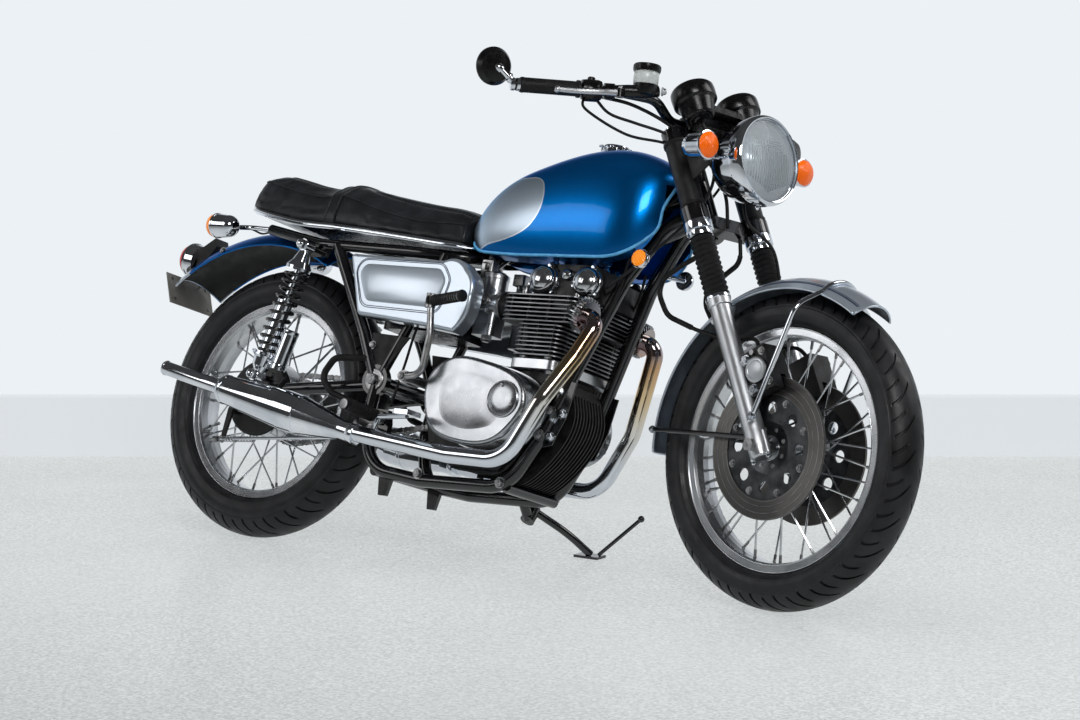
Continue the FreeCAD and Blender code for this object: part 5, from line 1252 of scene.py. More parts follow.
class BuildTyres(bpy.types.Operator):
    """Makes both tyres with their grooved tread and ribbed sidewalls"""

    bl_idname = "cafe_racer.tyres"
    bl_label = "Tyres"

    def execute(self, context):
        settings = context.scene.cafe_racer_tread
        for name, tyre in TYRES.items():
            half, centre = tyre["half"], tyre["radius"] - tyre["half"]
            rim, rim_half = tyre["rim"], tyre["rim_half"]
            wall = [(rim_half - 4, rim - 6.5), (rim_half - 0.5, rim + 0.6), (rim_half + 3.5, rim + 3.4),
                    (half - 9.5, rim + 5.5), (half - 7.0, rim + 9.0), (half - 5.6, rim + 10.5),
                    (half - 4.8, rim + 11.0), (half - 3.4, rim + 14.0), (half - 1.6, centre - 6.0),
                    (half - 0.4, centre)]
            rows = []
            leans = [-SHOULDER + 2 * SHOULDER * step / 58 for step in range(59)]
            for turn, share, start in tread_rows(tyre, settings):
                edge = turn + tread_sweep(SHOULDER)
                row = [wheel_point(tyre["axle"], edge, r, -y) for y, r in wall]
                for lean in leans:
                    cut = groove_depth(share, start, lean, settings)
                    if 70.5 < abs(lean) < 72.0:
                        cut = 1.3
                    if 8.2 < abs(lean) < 9.6:
                        cut = 3.0
                    tilt, reach = math.radians(lean), half - cut
                    row.append(wheel_point(tyre["axle"], turn + tread_sweep(lean),
                                           centre + reach * math.cos(tilt), reach * math.sin(tilt)))
                row += [wheel_point(tyre["axle"], edge, r, y) for y, r in reversed(wall)]
                rows.append(row)
            shape = Shape()
            shape.grid(rows, closed_rows=True)
            piece = shape.piece(name + "_tyre_tread", name + " tyre rubber", sharp=40.0)
            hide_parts(name + "_tyre")
        return {"FINISHED"}


class BuildWheelDetails(bpy.types.Operator):
    """Makes spoke nipples, valves, rim beads, disc bolts and disc rings"""

    bl_idname = "cafe_racer.wheel_details"
    bl_label = "Wheel details"

    def execute(self, context):
        for name, tyre in TYRES.items():
            axle = tyre["axle"]
            inner = tyre["rim"] - 23.0
            shape = Shape()
            for flange_y, flange_radius in HUB_FLANGES[name]:
                side = 1 if flange_y > 0 else -1
                for number in range(SPOKES_A_SIDE):
                    at_hub = 360.0 / SPOKES_A_SIDE * (number + 0.25 * side)
                    lean = 52.0 if number % 2 else -52.0
                    at_rim = at_hub + lean * (1 - flange_radius / inner)
                    start = wheel_point(axle, at_hub, flange_radius - 5.0, flange_y)
                    end = wheel_point(axle, at_rim, inner + 4.0, side * 7.0)
                    along = (end - start).normalized()
                    shape.turned(NIPPLE, end - along * 21, along, 8)
                    shape.turned([(-1.5, 3.6), (1.5, 3.6)], start + along * 3.0, LEFT, 8)
            valve = wheel_point(axle, 200.0, inner + 3.0, 0)
            shape.turned(VALVE, valve, axle - valve, 14)
            shape.piece(name + "_nipples", "plated steel", body=name + "_wheel")
            bead = Shape()
            for side in (-1, 1):
                for radius, y, size in ((tyre["rim"] - 1.2, tyre["rim_half"] + 0.2, 1.9),
                                        (tyre["rim"] - 16.5, tyre["rim_half"] - 0.6, 1.4)):
                    self.ring(bead, axle, radius, side * y, size)
            bead.piece(name + "_rim_beads", name + " rim alloy", sharp=None)
        self.disc_details()
        return {"FINISHED"}

    def ring(self, shape, axle, radius, y, size, steps=120, sides=8):
        section = spokes(sides, Vector((size, 0, 0)), Vector((0, size, 0)))
        shape.grid([[wheel_point(axle, 360.0 * step / steps, radius + spoke.x, y + spoke.y)
                     for spoke in section] for step in range(steps)], closed_rows=True)

    def disc_details(self):
        for side, word in SIDES:
            shape = Shape()
            for number in range(8):
                turn = 45.0 * number + 22.5
                shape.bolt(wheel_point(FRONT_AXLE, turn, 98, side * 67.0), LEFT * side, 11, 5)
                shape.bolt(wheel_point(FRONT_AXLE, turn, 40, side * 60.0), LEFT * side, 9, 4)
            for radius, y in ((121, 69.6), (135, 69.6), (147.4, 69.2), (110.5, 69.4)):
                self.ring(shape, FRONT_AXLE, radius, side * y, 0.5, 96, 6)
            shape.piece("disc_bolts_" + word, "plated steel fork", body="front_wheel")


CHAIN_PITCH = 15.875
CHAIN_Y = 76.0


def chain_path():
    """A function from a distance along the chain's loop to its point, and the loop's length."""
    rear_radius, front_radius = 86.0, 43.0
    front = Vector((505.0, 0.0, 378.0))
    run = front - REAR_AXLE
    spread = math.acos((rear_radius - front_radius) / run.length)
    heading = math.atan2(run.z, run.x)
    line = []
    for step in range(49):
        turn = heading + spread + (2 * math.pi - 2 * spread) * step / 48
        line.append(REAR_AXLE + Vector((math.cos(turn), 0, math.sin(turn))) * rear_radius)
    for step in range(33):
        turn = heading - spread + 2 * spread * step / 32
        line.append(front + Vector((math.cos(turn), 0, math.sin(turn))) * front_radius)
    line.append(line[0])
    lengths = [0.0]
    for before, after in zip(line, line[1:]):
        lengths.append(lengths[-1] + (after - before).length)

    def at(distance):
        distance %= lengths[-1]
        index = next(number for number in range(len(lengths) - 1) if lengths[number + 1] >= distance)
        share = (distance - lengths[index]) / max(lengths[index + 1] - lengths[index], 1e-6)
        return line[index].lerp(line[index + 1], share)
    return at, lengths[-1]


class BuildChain(bpy.types.Operator):
    """Makes the drive chain from plates, rollers and pins"""

    bl_idname = "cafe_racer.chain"
    bl_label = "Drive chain"

    def execute(self, context):
        at, length = chain_path()
        links = 2 * round(length / CHAIN_PITCH / 2)
        step = length / links
        shape = Shape()
        for number in range(links):
            start, end = at(number * step), at((number + 1) * step)
            along = (end - start).normalized()
            across = along.cross(LEFT)
            outer = number % 2 == 0
            gap = 7.2 if outer else 5.0
            for side in (-1, 1):
                y = CHAIN_Y + side * gap
                outline = []
                for centre, facing in ((start, -1), (end, 1)):
                    for turn in range(-70, 71, 28):
                        tilt = math.radians(turn)
                        outline.append(centre + along * (facing * 6.8 * math.cos(tilt))
                                       + across * (facing * 6.8 * math.sin(tilt)))
                    outline.append((start + end) / 2 + across * (facing * 4.9))
                outline = [Vector((p.x, y - 0.9, p.z)) for p in outline]
                shape.prism(outline, LEFT * 1.8)
            shape.turned([(-8.8, 2.6), (8.8, 2.6)], Vector((start.x, CHAIN_Y, start.z)), LEFT, steps=8)
            shape.turned([(-4.4, 4.9), (4.4, 4.9)], Vector((start.x, CHAIN_Y, start.z)), LEFT, steps=10)
        piece = shape.piece("chain_links", "plated steel", smooth=False,
                            sharp=None)
        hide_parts("drive_chain")
        return {"FINISHED"}


SHOCK_TOP = (139.0, 690.0)
SHOCK_BOTTOM = (64.0, 369.0)


class SpringSettings(bpy.types.PropertyGroup):
    """The rear springs."""

    coils: FloatProperty(name="Coils", description="Turns of each rear spring", default=10.5)
    wire: FloatProperty(name="Wire", description="Radius of the spring wire in millimetres", default=3.9)


class BuildSprings(bpy.types.Operator):
    """Makes the coil springs and the dampers' bright fittings"""

    bl_idname = "cafe_racer.springs"
    bl_label = "Rear springs"

    def execute(self, context):
        settings = context.scene.cafe_racer_springs
        springs = Shape()
        fittings = Shape()
        for side in (-1, 1):
            top, bottom = (Vector((x, side * 158.0, z)) for x, z in (SHOCK_TOP, SHOCK_BOTTOM))
            along = (top - bottom).normalized()
            length = (top - bottom).length
            first, last = 58.5, length - 62.5
            one, other = square_pair(along)
            line = []
            steps = int(settings.coils * 26)
            for step in range(steps + 1):
                share = step / steps
                turn = 2 * math.pi * settings.coils * share
                ease = share - math.sin(2 * math.pi * share) * 0.018
                rise = first + settings.wire + (last - first - 2 * settings.wire) * ease
                line.append(bottom + along * rise + (one * math.cos(turn) + other * math.sin(turn))
                            * (30.4 - settings.wire))
            springs.bar(line, settings.wire, 10)
            for point in (top, bottom):
                for face in (-1, 1):
                    fittings.bolt(point + LEFT * (face * 13.2), LEFT * face, 14, 7)
            for level, radius in ((first - 8, 31.6), (last + 4, 31.6), (last + 12, 26)):
                fittings.turned([(0, radius - 1.5), (1, radius), (4, radius), (5, radius - 1.5)],
                                bottom + along * level, along, 40)
            for spoke in spokes(10, one, other):
                notch = bottom + along * (first - 4) + spoke * 31.4
                fittings.turned([(-1.6, 2.4), (1.6, 2.4)], notch, along, 8)
            back = along.cross(LEFT) * -1
            can = bottom + along * 34 + back * 53
            fittings.turned([(0, 15), (-3, 19.4), (4, 19.6), (10, 19.6), (11, 19)], can, along, 32)
            fittings.turned([(84, 19), (86, 19.6), (93, 19.6), (95, 17), (95.5, 8)], can, along, 32)
        piece = springs.piece("spring_coils", "frame paint", sharp=None)
        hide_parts("shock_springs")
        fittings.piece("shock_fittings", "chrome")
        return {"FINISHED"}


# Engine

def rounded_rectangle(x_from, x_to, y_from, y_to, radius, z, steps=5):
    points = []
    for x, y, start in ((x_to - radius, y_to - radius, 0), (x_from + radius, y_to - radius, 90),
                        (x_from + radius, y_from + radius, 180), (x_to - radius, y_from + radius, 270)):
        for step in range(steps + 1):
            turn = math.radians(start + 90 * step / steps)
            points.append(Vector((x + radius * math.cos(turn), y + radius * math.sin(turn), z)))
    return points


class FinSettings(bpy.types.PropertyGroup):
    """The cooling fins."""

    pitch: FloatProperty(name="Pitch", description="Distance between fins in millimetres", default=9.6)
    thick: FloatProperty(name="Thickness", description="Thickness of a fin in millimetres", default=3.0)


class BuildFins(bpy.types.Operator):
    """Makes the fins' machined edges, the bridges between them and the head's bolts"""

    bl_idname = "cafe_racer.fins"
    bl_label = "Cooling fins"

    def execute(self, context):
        settings = context.scene.cafe_racer_fins
        edges = Shape()
        level = 446.0 + 20.0 + settings.pitch / 2
        while level + settings.thick < 546.0:
            self.edge(edges, (770.0, 894.0, -134.0, 134.0), level, settings.thick)
            level += settings.pitch
        level = 546.0
        while level + settings.thick < 612.0:
            self.edge(edges, (726.0, 926.0, -138.0, 138.0), level, settings.thick)
            level += settings.pitch
        edges.piece("fin_edges", "fin alloy", sharp=30.0)
        posts = Shape()
        for side in (-1, 1):
            for x in (790, 832, 874):
                posts.bar([(x, side * 129.5, 470), (x, side * 129.5, 545)], 2.6, 8)
            for x in (752, 800, 852, 900):
                posts.bar([(x, side * 133.5, 548), (x, side * 133.5, 606)], 2.8, 8)
            for y in (40, 96):
                posts.bar([(889.5, side * y, 470), (889.5, side * y, 545)], 2.6, 8)
        posts.piece("fin_bridges", "black casting")
        nuts = Shape()
        for side in (-1, 1):
            for x, y in ((756, 98), (900, 98), (752, 40), (905, 40)):
                nuts.turned([(0, 8.5), (14, 8.5)], (x, side * y, 606), UP, 16)
                nuts.turned([(0, 7), (6, 7), (12, 4.5), (13.5, 0.5)], (x, side * y, 620), UP, 16)
            for x in (DOMES[0] - 4, DOMES[1] + 4):
                for y in (58, 82):
                    nuts.bolt((x, side * y, 669), UP, 10, 5)
        nuts.piece("head_nuts", "plated steel")
        return {"FINISHED"}

    def edge(self, shape, box, level, thick):
        x_from, x_to, y_from, y_to = box
        rows = []
        for grow, rise in ((0.05, -0.1), (0.45, 0.15), (0.45, thick - 0.15), (0.05, thick + 0.1)):
            rows.append(rounded_rectangle(x_from - grow, x_to + grow, y_from - grow, y_to + grow, 20.0 + grow,
                                          level + rise))
        shape.grid(rows)


DOMES = (797.0, 914.0)
LID_CENTRE = Vector((822, 0, 357))
ALTERNATOR_CENTRE = Vector((798, 0, 350))


def cover_outline():
    """The right engine cover's outline, as a smooth closed line."""
    points = [(602, 350), (616, 412), (664, 443), (746, 441), (822, 422), (864, 394), (878, 352), (856, 303),
              (818, 266), (720, 252), (634, 280)]
    return smooth_line([(x, 0, z) for x, z in points], 8, closed=True)


def scaled_outline(outline, middle, share, y):
    """An outline drawn in towards its middle, at some distance across the motorcycle."""
    return [Vector((middle.x + (p.x - middle.x) * share, y, middle.z + (p.z - middle.z) * share))
            for p in outline]


class CoverSettings(bpy.types.PropertyGroup):
    """The right engine cover."""

    crown: FloatProperty(name="Crown", description="How far the cover's middle stands out in millimetres",
                         default=8.0)


class BuildCovers(bpy.types.Operator):
    """Makes the crowned right cover with its lid, the left covers' lids and all their screws"""

    bl_idname = "cafe_racer.covers"
    bl_label = "Engine covers"

    def execute(self, context):
        crown = context.scene.cafe_racer_cover.crown
        outline = cover_outline()
        middle = Vector((738, 0, 350))
        cover = Shape()
        rows = []
        for share, out in ((1.0, 0.0), (1.0, 78.0), (0.994, 83.0), (0.975, 87.0), (0.945, 89.5), (0.9, 91.0),
                           (0.8, 92.0 + crown * 0.25), (0.6, 92.0 + crown * 0.6), (0.4, 92.0 + crown * 0.85),
                           (0.2, 92.0 + crown * 0.97), (0.05, 92.0 + crown)):
            rows.append(scaled_outline(outline, middle, share, -104.2 - out + (4 if share < 0.9 else 0)))
        cover.grid(rows, caps="both")
        cover.grid([scaled_outline(outline, middle, grow, y) for grow, y in (
            (1.0, -106), (1.035, -106), (1.04, -108), (1.04, -116), (1.03, -118), (1.0, -118))])
        cover.piece("right_cover_crown", "cover alloy", sharp=45.0)
        lid = Shape()
        lid.turned([(0, 41), (6, 41), (8, 39), (8, 38.2), (7.2, 37.4), (7.8, 36.4), (9.0, 20), (9.4, 0)],
                   LID_CENTRE - LEFT * 193, -LEFT, 56)
        lid.piece("right_cover_lid", "cover alloy", sharp=28.0)
        gap = Shape()
        gap.grid([[wheel_point(LID_CENTRE, 360 * step / 64, 38.0 + grow, -201.0 + y)
                   for grow, y in ((-0.6, 0.2), (0.6, 0.2), (0.6, -0.25), (-0.6, -0.25))]
                  for step in range(64)], closed_rows=True)
        gap.piece("right_lid_gap", "black plastic")
        screws = Shape()
        sockets = Shape()
        for x, z in ((616, 372), (652, 431), (742, 433), (800, 420), (858, 386), (868, 330), (836, 290),
                     (742, 262), (664, 276), (614, 318)):
            self.cap_screw(screws, sockets, Vector((x, -186, z)), -LEFT, 5.2)
        for turn in (100, 220, 340):
            self.cap_screw(screws, sockets, wheel_point(LID_CENTRE, turn, 30, -200.5), -LEFT, 3.6)
        screws.piece("cover_screws", "plated steel")
        sockets.piece("screw_socket_shade", "black plastic")
        self.left_side()
        return {"FINISHED"}

    def cap_screw(self, screws, sockets, centre, out, radius):
        screws.turned([(-2, radius), (4, radius), (5, radius * 0.85), (5, radius * 0.5)], centre, out, 20)
        # A thin black disc on the screw's face stands for its hex socket's hollow: painted shade.
        sockets.turned([(4.6, radius * 0.52), (5.15, radius * 0.5)], centre, out, 6)

    def left_side(self):
        lid = Shape()
        face = ALTERNATOR_CENTRE + LEFT * 104
        lid.turned([(0, 79), (12, 79.5), (14, 78.5)], face + LEFT * 0.5, LEFT, 64)
        lid.turned([(56, 77.6), (60, 76), (63, 73.8), (64.4, 70), (64.6, 66)], face, LEFT, 64)
        lid.turned([(75, 40), (82.6, 38), (83.2, 34), (83.4, 0)], face, LEFT, 48)
        for turn in range(30, 390, 60):
            lid.bolt(wheel_point(ALTERNATOR_CENTRE, turn, 71, 166), LEFT, 8, 4)
        for x, z in ((496, 296), (500, 420), (600, 428), (716, 416), (704, 286), (596, 284)):
            lid.bolt((x, 173.6, z), LEFT, 8, 4)
        lid.turned([(0, 24), (3, 24), (5, 20), (5, 0)], (560, 172.6, 372), LEFT, 32)
        lid.piece("left_cover_lids", "cover alloy", sharp=30.0)


class BuildRockers(bpy.types.Operator):
    """Makes the polished rocker domes' rims, nuts and the small caps between them"""

    bl_idname = "cafe_racer.rockers"
    bl_label = "Rocker covers"

    def execute(self, context):
        shape = Shape()
        black = Shape()
        for side in (-1, 1):
            out = LEFT * side
            for x in DOMES:
                shape.turned([(0, 35), (3.5, 35.5), (6, 34)], (x, side * 88, 648), out, 44)
                black.turned([(-7, 38), (0, 38), (0.5, 35)], (x, side * 88, 648), out, 44)
                for turn in (75, 195, 315):
                    spot = wheel_point(Vector((x, 0, 648)), turn, 36, side * 84)
                    black.turned([(-4, 9), (6, 9), (7.5, 7.5)], spot, out, 18)
                    shape.turned([(7, 5.4), (12, 5.4), (14.5, 3.2)], spot, out, 6)
            middle = (DOMES[0] + DOMES[1]) / 2
            shape.turned([(0, 14), (8, 14), (15, 11), (19, 5), (19.5, 0)], (middle, side * 82, 664), out, 28)
            shape.bolt((middle - 24, side * 84, 640), out, 11, 6)
            shape.bolt((middle + 24, side * 84, 640), out, 11, 6)
        for y in (-70, -24, 24, 70):
            for x in (DOMES[0] + 6, DOMES[1] - 6):
                shape.turned([(0, 9), (6, 9), (6, 6.5), (13, 6.5), (14, 5)], (x, y, 690), UP, 6)
        shape.piece("rocker_fittings", "polished alloy", sharp=32.0)
        black.piece("rocker_bosses", "black casting")
        return {"FINISHED"}


SUMP_HALF = 62


class BuildLowerEngine(bpy.types.Operator):
    """Makes the sump's ribs, the front engine plates with their bolts and the filter lids"""

    bl_idname = "cafe_racer.lower_engine"
    bl_label = "Sump and engine plates"

    def execute(self, context):
        ribs = Shape()
        for y in range(-96, 97, 12):
            reach = 9.0
            line = [(700, 196), (800, 196), (860, 240), (902, 300), (914, 350), (900, 400)]
            if abs(y) > SUMP_HALF:
                reach = 4.0
                line = [(640, 212), (775, 212), (834, 290), (860, 380), (868, 440)]
            smooth = smooth_line([(x, 0, z) for x, z in line], 5)
            rows = []
            for index, place in enumerate(smooth):
                along = direction_at(smooth, index)
                normal = Vector((along.z, 0, -along.x))
                foot = Vector((place.x, y - 1.5, place.z))
                tip = foot + normal * reach
                foot -= normal * 3
                rows.append([foot, tip, tip + LEFT * 3, foot + LEFT * 3])
            ribs.grid(rows, caps="both")
        ribs.piece("sump_ribs", "black casting", sharp=30.0)
        base = Shape()
        for side in (-1, 1):
            base.bar([(800, side * 110, 444), (800, side * 122, 472)], 9, 16)
            base.bar([(866, side * 110, 436), (866, side * 122, 472)], 9, 16)
        rows = []
        for grow, z in ((0, 440), (3, 442), (3, 462), (0, 465)):
            rows.append(rounded_rectangle(772 - grow, 892 + grow, -130 - grow, 130 + grow, 20, z))
        base.grid(rows, caps="both")
        base.piece("cylinder_base", "engine alloy", sharp=35.0)
        plates = Shape()
        bolts = Shape()
        for side in (-1, 1):
            y = side * 84
            corners = [(884, 352), (906, 428), (930, 424), (918, 344), (894, 282), (872, 276)]
            plates.prism([Vector((x, y, z)) for x, z in corners], LEFT * (side * 4), bevel=0.8)
            for x, z in ((898, 402), (886, 340), (908, 352), (888, 300)):
                bolts.bolt((x, side * 88, z), LEFT * side, 15, 8)
        plates.piece("front_plates", "frame paint")
        for x, y, z in ((720, -60, 196), (780, 10, 196), (700, 44, 198)):
            bolts.turned([(0, 16), (-8, 16), (-12, 11), (-12, 0.5)], (x, y, z), UP, 6)
        bolts.piece("engine_bolts", "chrome")
        return {"FINISHED"}


def header_port(side):
    return Vector((924.0, side * 116.0, 574.0)), Vector((28, side * 4, -9)).normalized()


class BuildExhaust(bpy.types.Operator):
    """Makes the finned exhaust clamps, the mufflers' seams and their hangers"""

    bl_idname = "cafe_racer.exhaust"
    bl_label = "Exhaust details"

    def execute(self, context):
        clamps, bolts, bright, dark = Shape(), Shape(), Shape(), Shape()
        for side in (-1, 1):
            port, out = header_port(side)
            one, other = square_pair(out)
            for spoke in spokes(26, one, other):
                flat = out.cross(spoke).normalized()
                base = port + out * 8 + spoke * 23
                clamps.prism([base - flat * 1.3, base + out * 20 - flat * 1.3,
                              base + out * 17 + spoke * 17 - flat, base + out * 3 + spoke * 18 - flat],
                             flat * 2.3)
            clamps.turned([(6, 24), (8, 29), (24, 29), (27, 25), (27, 20)], port, out, 48)
            for face in (-1, 1):
                foot = port + one * (face * 33)
                bolts.bolt(foot + out * 24, out, 10, 8)
                bolts.bar([foot, foot + out * 24], 3.5, 10)
            front = Vector((410, side * 198, 251))
            body_end = Vector((16, side * 226, 322))
            line = (body_end - front).normalized()
            length = (body_end - front).length
            bright.turned([(-26, 20), (-26, 24.6), (-10, 24.6), (-8, 23.4)], front, line, 40)
            bright.turned([(137, 46.4), (140, 47.3), (144, 47.3), (147, 46.9)], front, line, 48)
            bright.turned([(length - 28, 35), (length - 24, 36), (length - 19, 34.4)], front, line, 40)
            bright.turned([(length - 2, 18.6), (length + 1, 19.4), (length + 4, 18.4)], front, line, 36)
            bolts.bolt(front - line * 17 + UP * 24, UP, 9, 6)
            bolts.bolt(front + line * 250 + Vector((0, side * -30, 26)), UP, 12, 6)
            hanger = front + line * 246
            dark.bar([hanger + Vector((0, side * -20, 36)), hanger + Vector((0, side * -46, 70))], 6.0, 12)
            tail_end = Vector((-164, side * 232, 356))
            tail_run = (tail_end - body_end).normalized()
            dark.turned([(-60, 14.6), (-1.0, 14.6), (0.4, 14.4)], tail_end, tail_run, 32)
            bright.turned([(-4, 17.3), (-1.5, 18.4), (1.0, 17.6), (1.2, 15.2), (-6, 14.9)],
                          tail_end, tail_run, 40)
        clamps.piece("exhaust_clamps", "engine alloy", smooth=False, sharp=None)
        bolts.piece("exhaust_bolts", "plated steel")
        bright.piece("muffler_rings", "chrome", sharp=40.0)
        dark.piece("muffler_mouths", "black plastic")
        return {"FINISHED"}


class BuildCarburettors(bpy.types.Operator):
    """Makes the carburettors' caps, bowls' ribs, bells, springs and linkages"""

    bl_idname = "cafe_racer.carburettors"
    bl_label = "Carburettor details"

    def execute(self, context):
        alloy, steel, rubber = Shape(), Shape(), Shape()
        front, z = 725.7, 588.0
        back = -FORWARD
        for side in (-1, 1):
            y = side * 72.0
            out = LEFT * side
            mouth, middle = (front, y, z), (front - 74, y, z)
            alloy.turned([(137, 41.4), (141, 43.4), (143.5, 43.0), (144, 40), (138, 33), (120, 27), (118, 5)],
                         mouth, back, 44)
            alloy.turned([(60, 28), (64, 28.6), (68, 28)], middle, UP, 36)
            alloy.turned([(0, 27.6), (3, 28.4), (5, 28.4), (7, 24), (12, 16), (14, 0.5)],
                         (front - 74, y, z + 66), UP, 36)
            rows = []
            for grow, low in ((0.0, -6.0), (2.6, -8.0), (2.6, -13.0), (0.0, -15.0)):
                rows.append(rounded_rectangle(front - 104 - grow, front - 46 + grow,
                                              y - 27 - grow, y + 27 + grow, 13, z + low))
            alloy.grid(rows)
            alloy.turned([(-84, 8), (-80, 12), (-72, 12), (-72, 6)], (front - 75, y, z), UP, 6)
            for x in (front - 100, front - 50):
                for face in (-23, 23):
                    steel.turned([(-19, 3.6), (-15, 3.6), (-15, 2)], (x, y + face, z), UP, 12)
                    inward = 8 if x < front - 75 else -8
                    steel.turned([(55, 3.4), (70, 3.4)], (x + inward, y + face * 0.7, z), UP, 12)
            rubber.turned([(2, 26), (4, 33), (12, 33), (14, 30), (30, 30), (32, 33), (40, 33), (42, 27)],
                          mouth, back, 40)
            for at in (6.5, 35):
                steel.turned([(at, 33.4), (at + 1, 34.2), (at + 5, 34.2), (at + 6, 33.4)], mouth, back, 40)
                steel.bar([(front - at - 3, y + side * 34, z + height) for height in (-8, 8)], 3, 10)
            steel.turned([(0, 13), (3, 13), (3, 9), (9, 9), (9, 3), (14, 3)],
                         (front - 74, y + side * 30, z + 6), out, 28)
            coil = []
            for step in range(72):
                tilt = 2 * math.pi * step / 12
                coil.append(Vector((front - 74 + 10.5 * math.cos(tilt), y + side * (33 + step * 0.10),
                                    z + 6 + 10.5 * math.sin(tilt))))
            steel.bar(coil, 0.9, 6)
            steel.bar([(front - 74, y + side * 40, z + 6), (front - 86, y + side * 42, z + 26),
                       (front - 92, y + side * 42, z + 30)], 2.4, 8)
            steel.turned([(0, 2), (0, 5), (16, 5), (17, 3)], (front - 56, y + side * 29, z - 20), out, 12)
            steel.turned([(0, 4.5), (10, 4.5), (12, 3.6), (34, 3.6)],
                         (front - 104, y + side * 12, z - 22), back, 12)
            alloy.bar([(front - 60, y + side * 27, z + 30), (front - 60, y + side * 30, z + 30)], 8, 16)
        steel.bar([(front - 74, -100, 594), (front - 74, 100, 594)], 4, 12)
        alloy.piece("carburettor_castings", "engine alloy", sharp=32.0)
        steel.piece("carburettor_fittings", "plated steel")
        rubber.piece("inlet_boots", "black rubber")
        return {"FINISHED"}


# Front end

LAMP_FACE = Vector((1290.0, 0.0, 948.0))
LAMP_AXIS = Vector((math.cos(math.radians(6.0)), 0.0, math.sin(math.radians(6.0))))
GLASS_RADIUS = 85.3
BAR_CENTRE = Vector((1084.0, 0.0, 1022.0))
BAR_INNER = Vector((1066.0, 240.0, 1058.0))
BAR_END = Vector((958.0, 430.0, 1040.0))


class FrontSettings(bpy.types.PropertyGroup):
    """The headlight and the hoses."""

    dish: FloatProperty(name="Dish", description="Depth of the headlight's reflector in millimetres",
                        default=62.0)
    coil_pitch: FloatProperty(name="Guard pitch", default=3.4,
                              description="Pitch of the hose guards' coils in millimetres")


class BuildHeadlight(bpy.types.Operator):
    """Makes the headlight's rim, reflector, bulb and domed glass"""

    bl_idname = "cafe_racer.headlight"
    bl_label = "Headlight"

    def execute(self, context):
        dish = context.scene.cafe_racer_front.dish
        rim = Shape()
        rim.turned([(-27, 95.3), (-26, 97.5), (-20, 98.4), (-8, 98.6), (0, 97.8), (5, 95.6), (7.4, 92.4),
                    (6.6, 90), (2, 89.2), (-12, 89.2), (-12, 94)], LAMP_FACE, LAMP_AXIS, 96, closed=True)
        rim.bolt(LAMP_FACE - LAMP_AXIS * 16 - UP * 99, -UP, 7, 4)
        rim.piece("lamp_rim", "chrome fork", sharp=50.0)
        bowl = Shape()
        profile = [(-11 - dish * (1 - (r / 88.0) ** 2), r) for r in (12, 20, 30, 40, 50, 60, 70, 80, 88.0)]
        bowl.turned(profile, LAMP_FACE, LAMP_AXIS, 72)
        bowl.piece("lamp_reflector", "lamp reflector", sharp=None)
        bulb = Shape()
        back = LAMP_FACE - LAMP_AXIS * (13 + dish)
        bulb.turned([(-4, 16), (6, 16), (8, 12), (20, 12), (22, 9), (40, 9), (44, 6), (46, 0.5)],
                    back, LAMP_AXIS, 24)
        bulb.turned([(0, 20), (5, 20), (9, 15), (10, 0.5)], back + LAMP_AXIS * 40, LAMP_AXIS, 28)
        bulb.piece("lamp_bulb", "chrome fork", sharp=40.0)
        glass = Shape()
        rows = []
        for step in range(13):
            radius = 88.9 * (1 - step / 12) + 0.3
            centre = LAMP_FACE + LAMP_AXIS * (0.5 + 14.0 * (1 - (radius / 89.2) ** 2))
            rows.append([centre + spoke * radius for spoke in spokes(96, LEFT, LAMP_AXIS.cross(LEFT))])
        glass.grid(rows, caps="last")
        back_rows = [[point - LAMP_AXIS * 3.0 for point in row] for row in reversed(rows)]
        glass.grid(back_rows, caps="first")
        glass.grid([back_rows[-1], rows[0]])
        piece = glass.piece("lamp_lens", "lamp glass", sharp=60.0)
        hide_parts("headlight_glass")
        flutes = Shape()
        for column in range(-9, 10):
            y = column * 7.0
            low, high = -30 + abs(column), 70 - abs(column) * 3.0
            heights = [low + (high - low) * step / 6 for step in range(7)]
            flutes.bar([self.behind_glass(y, z, 14.0, -2.1) for z in heights], 1.7, 6)
        for row in range(5):
            flutes.bar([self.behind_glass(y, -22 - row * 5.0, 14.5, -2.4) for y in range(-14, 45, 6)], 0.9, 6)
        flutes.piece("lamp_flutes", "lamp flutes", sharp=None)
        ears = Shape()
        for side in (-1, 1):
            ears.bolt((1212, side * 105.4, 942), LEFT * side, 16, 8)
            ears.turned([(0, 13), (4, 13)], (1212, side * 100.5, 942), LEFT * side, 24)
        ears.piece("lamp_bolts", "chrome fork")
        return {"FINISHED"}

    def behind_glass(self, y, z, dome, lift):
        """A point under the domed glass, across and above the lamp's middle."""
        rise = dome * (1 - (y * y + z * z) / GLASS_RADIUS ** 2) + lift
        return LAMP_FACE + LEFT * y + LAMP_AXIS.cross(LEFT) * -z + LAMP_AXIS * rise


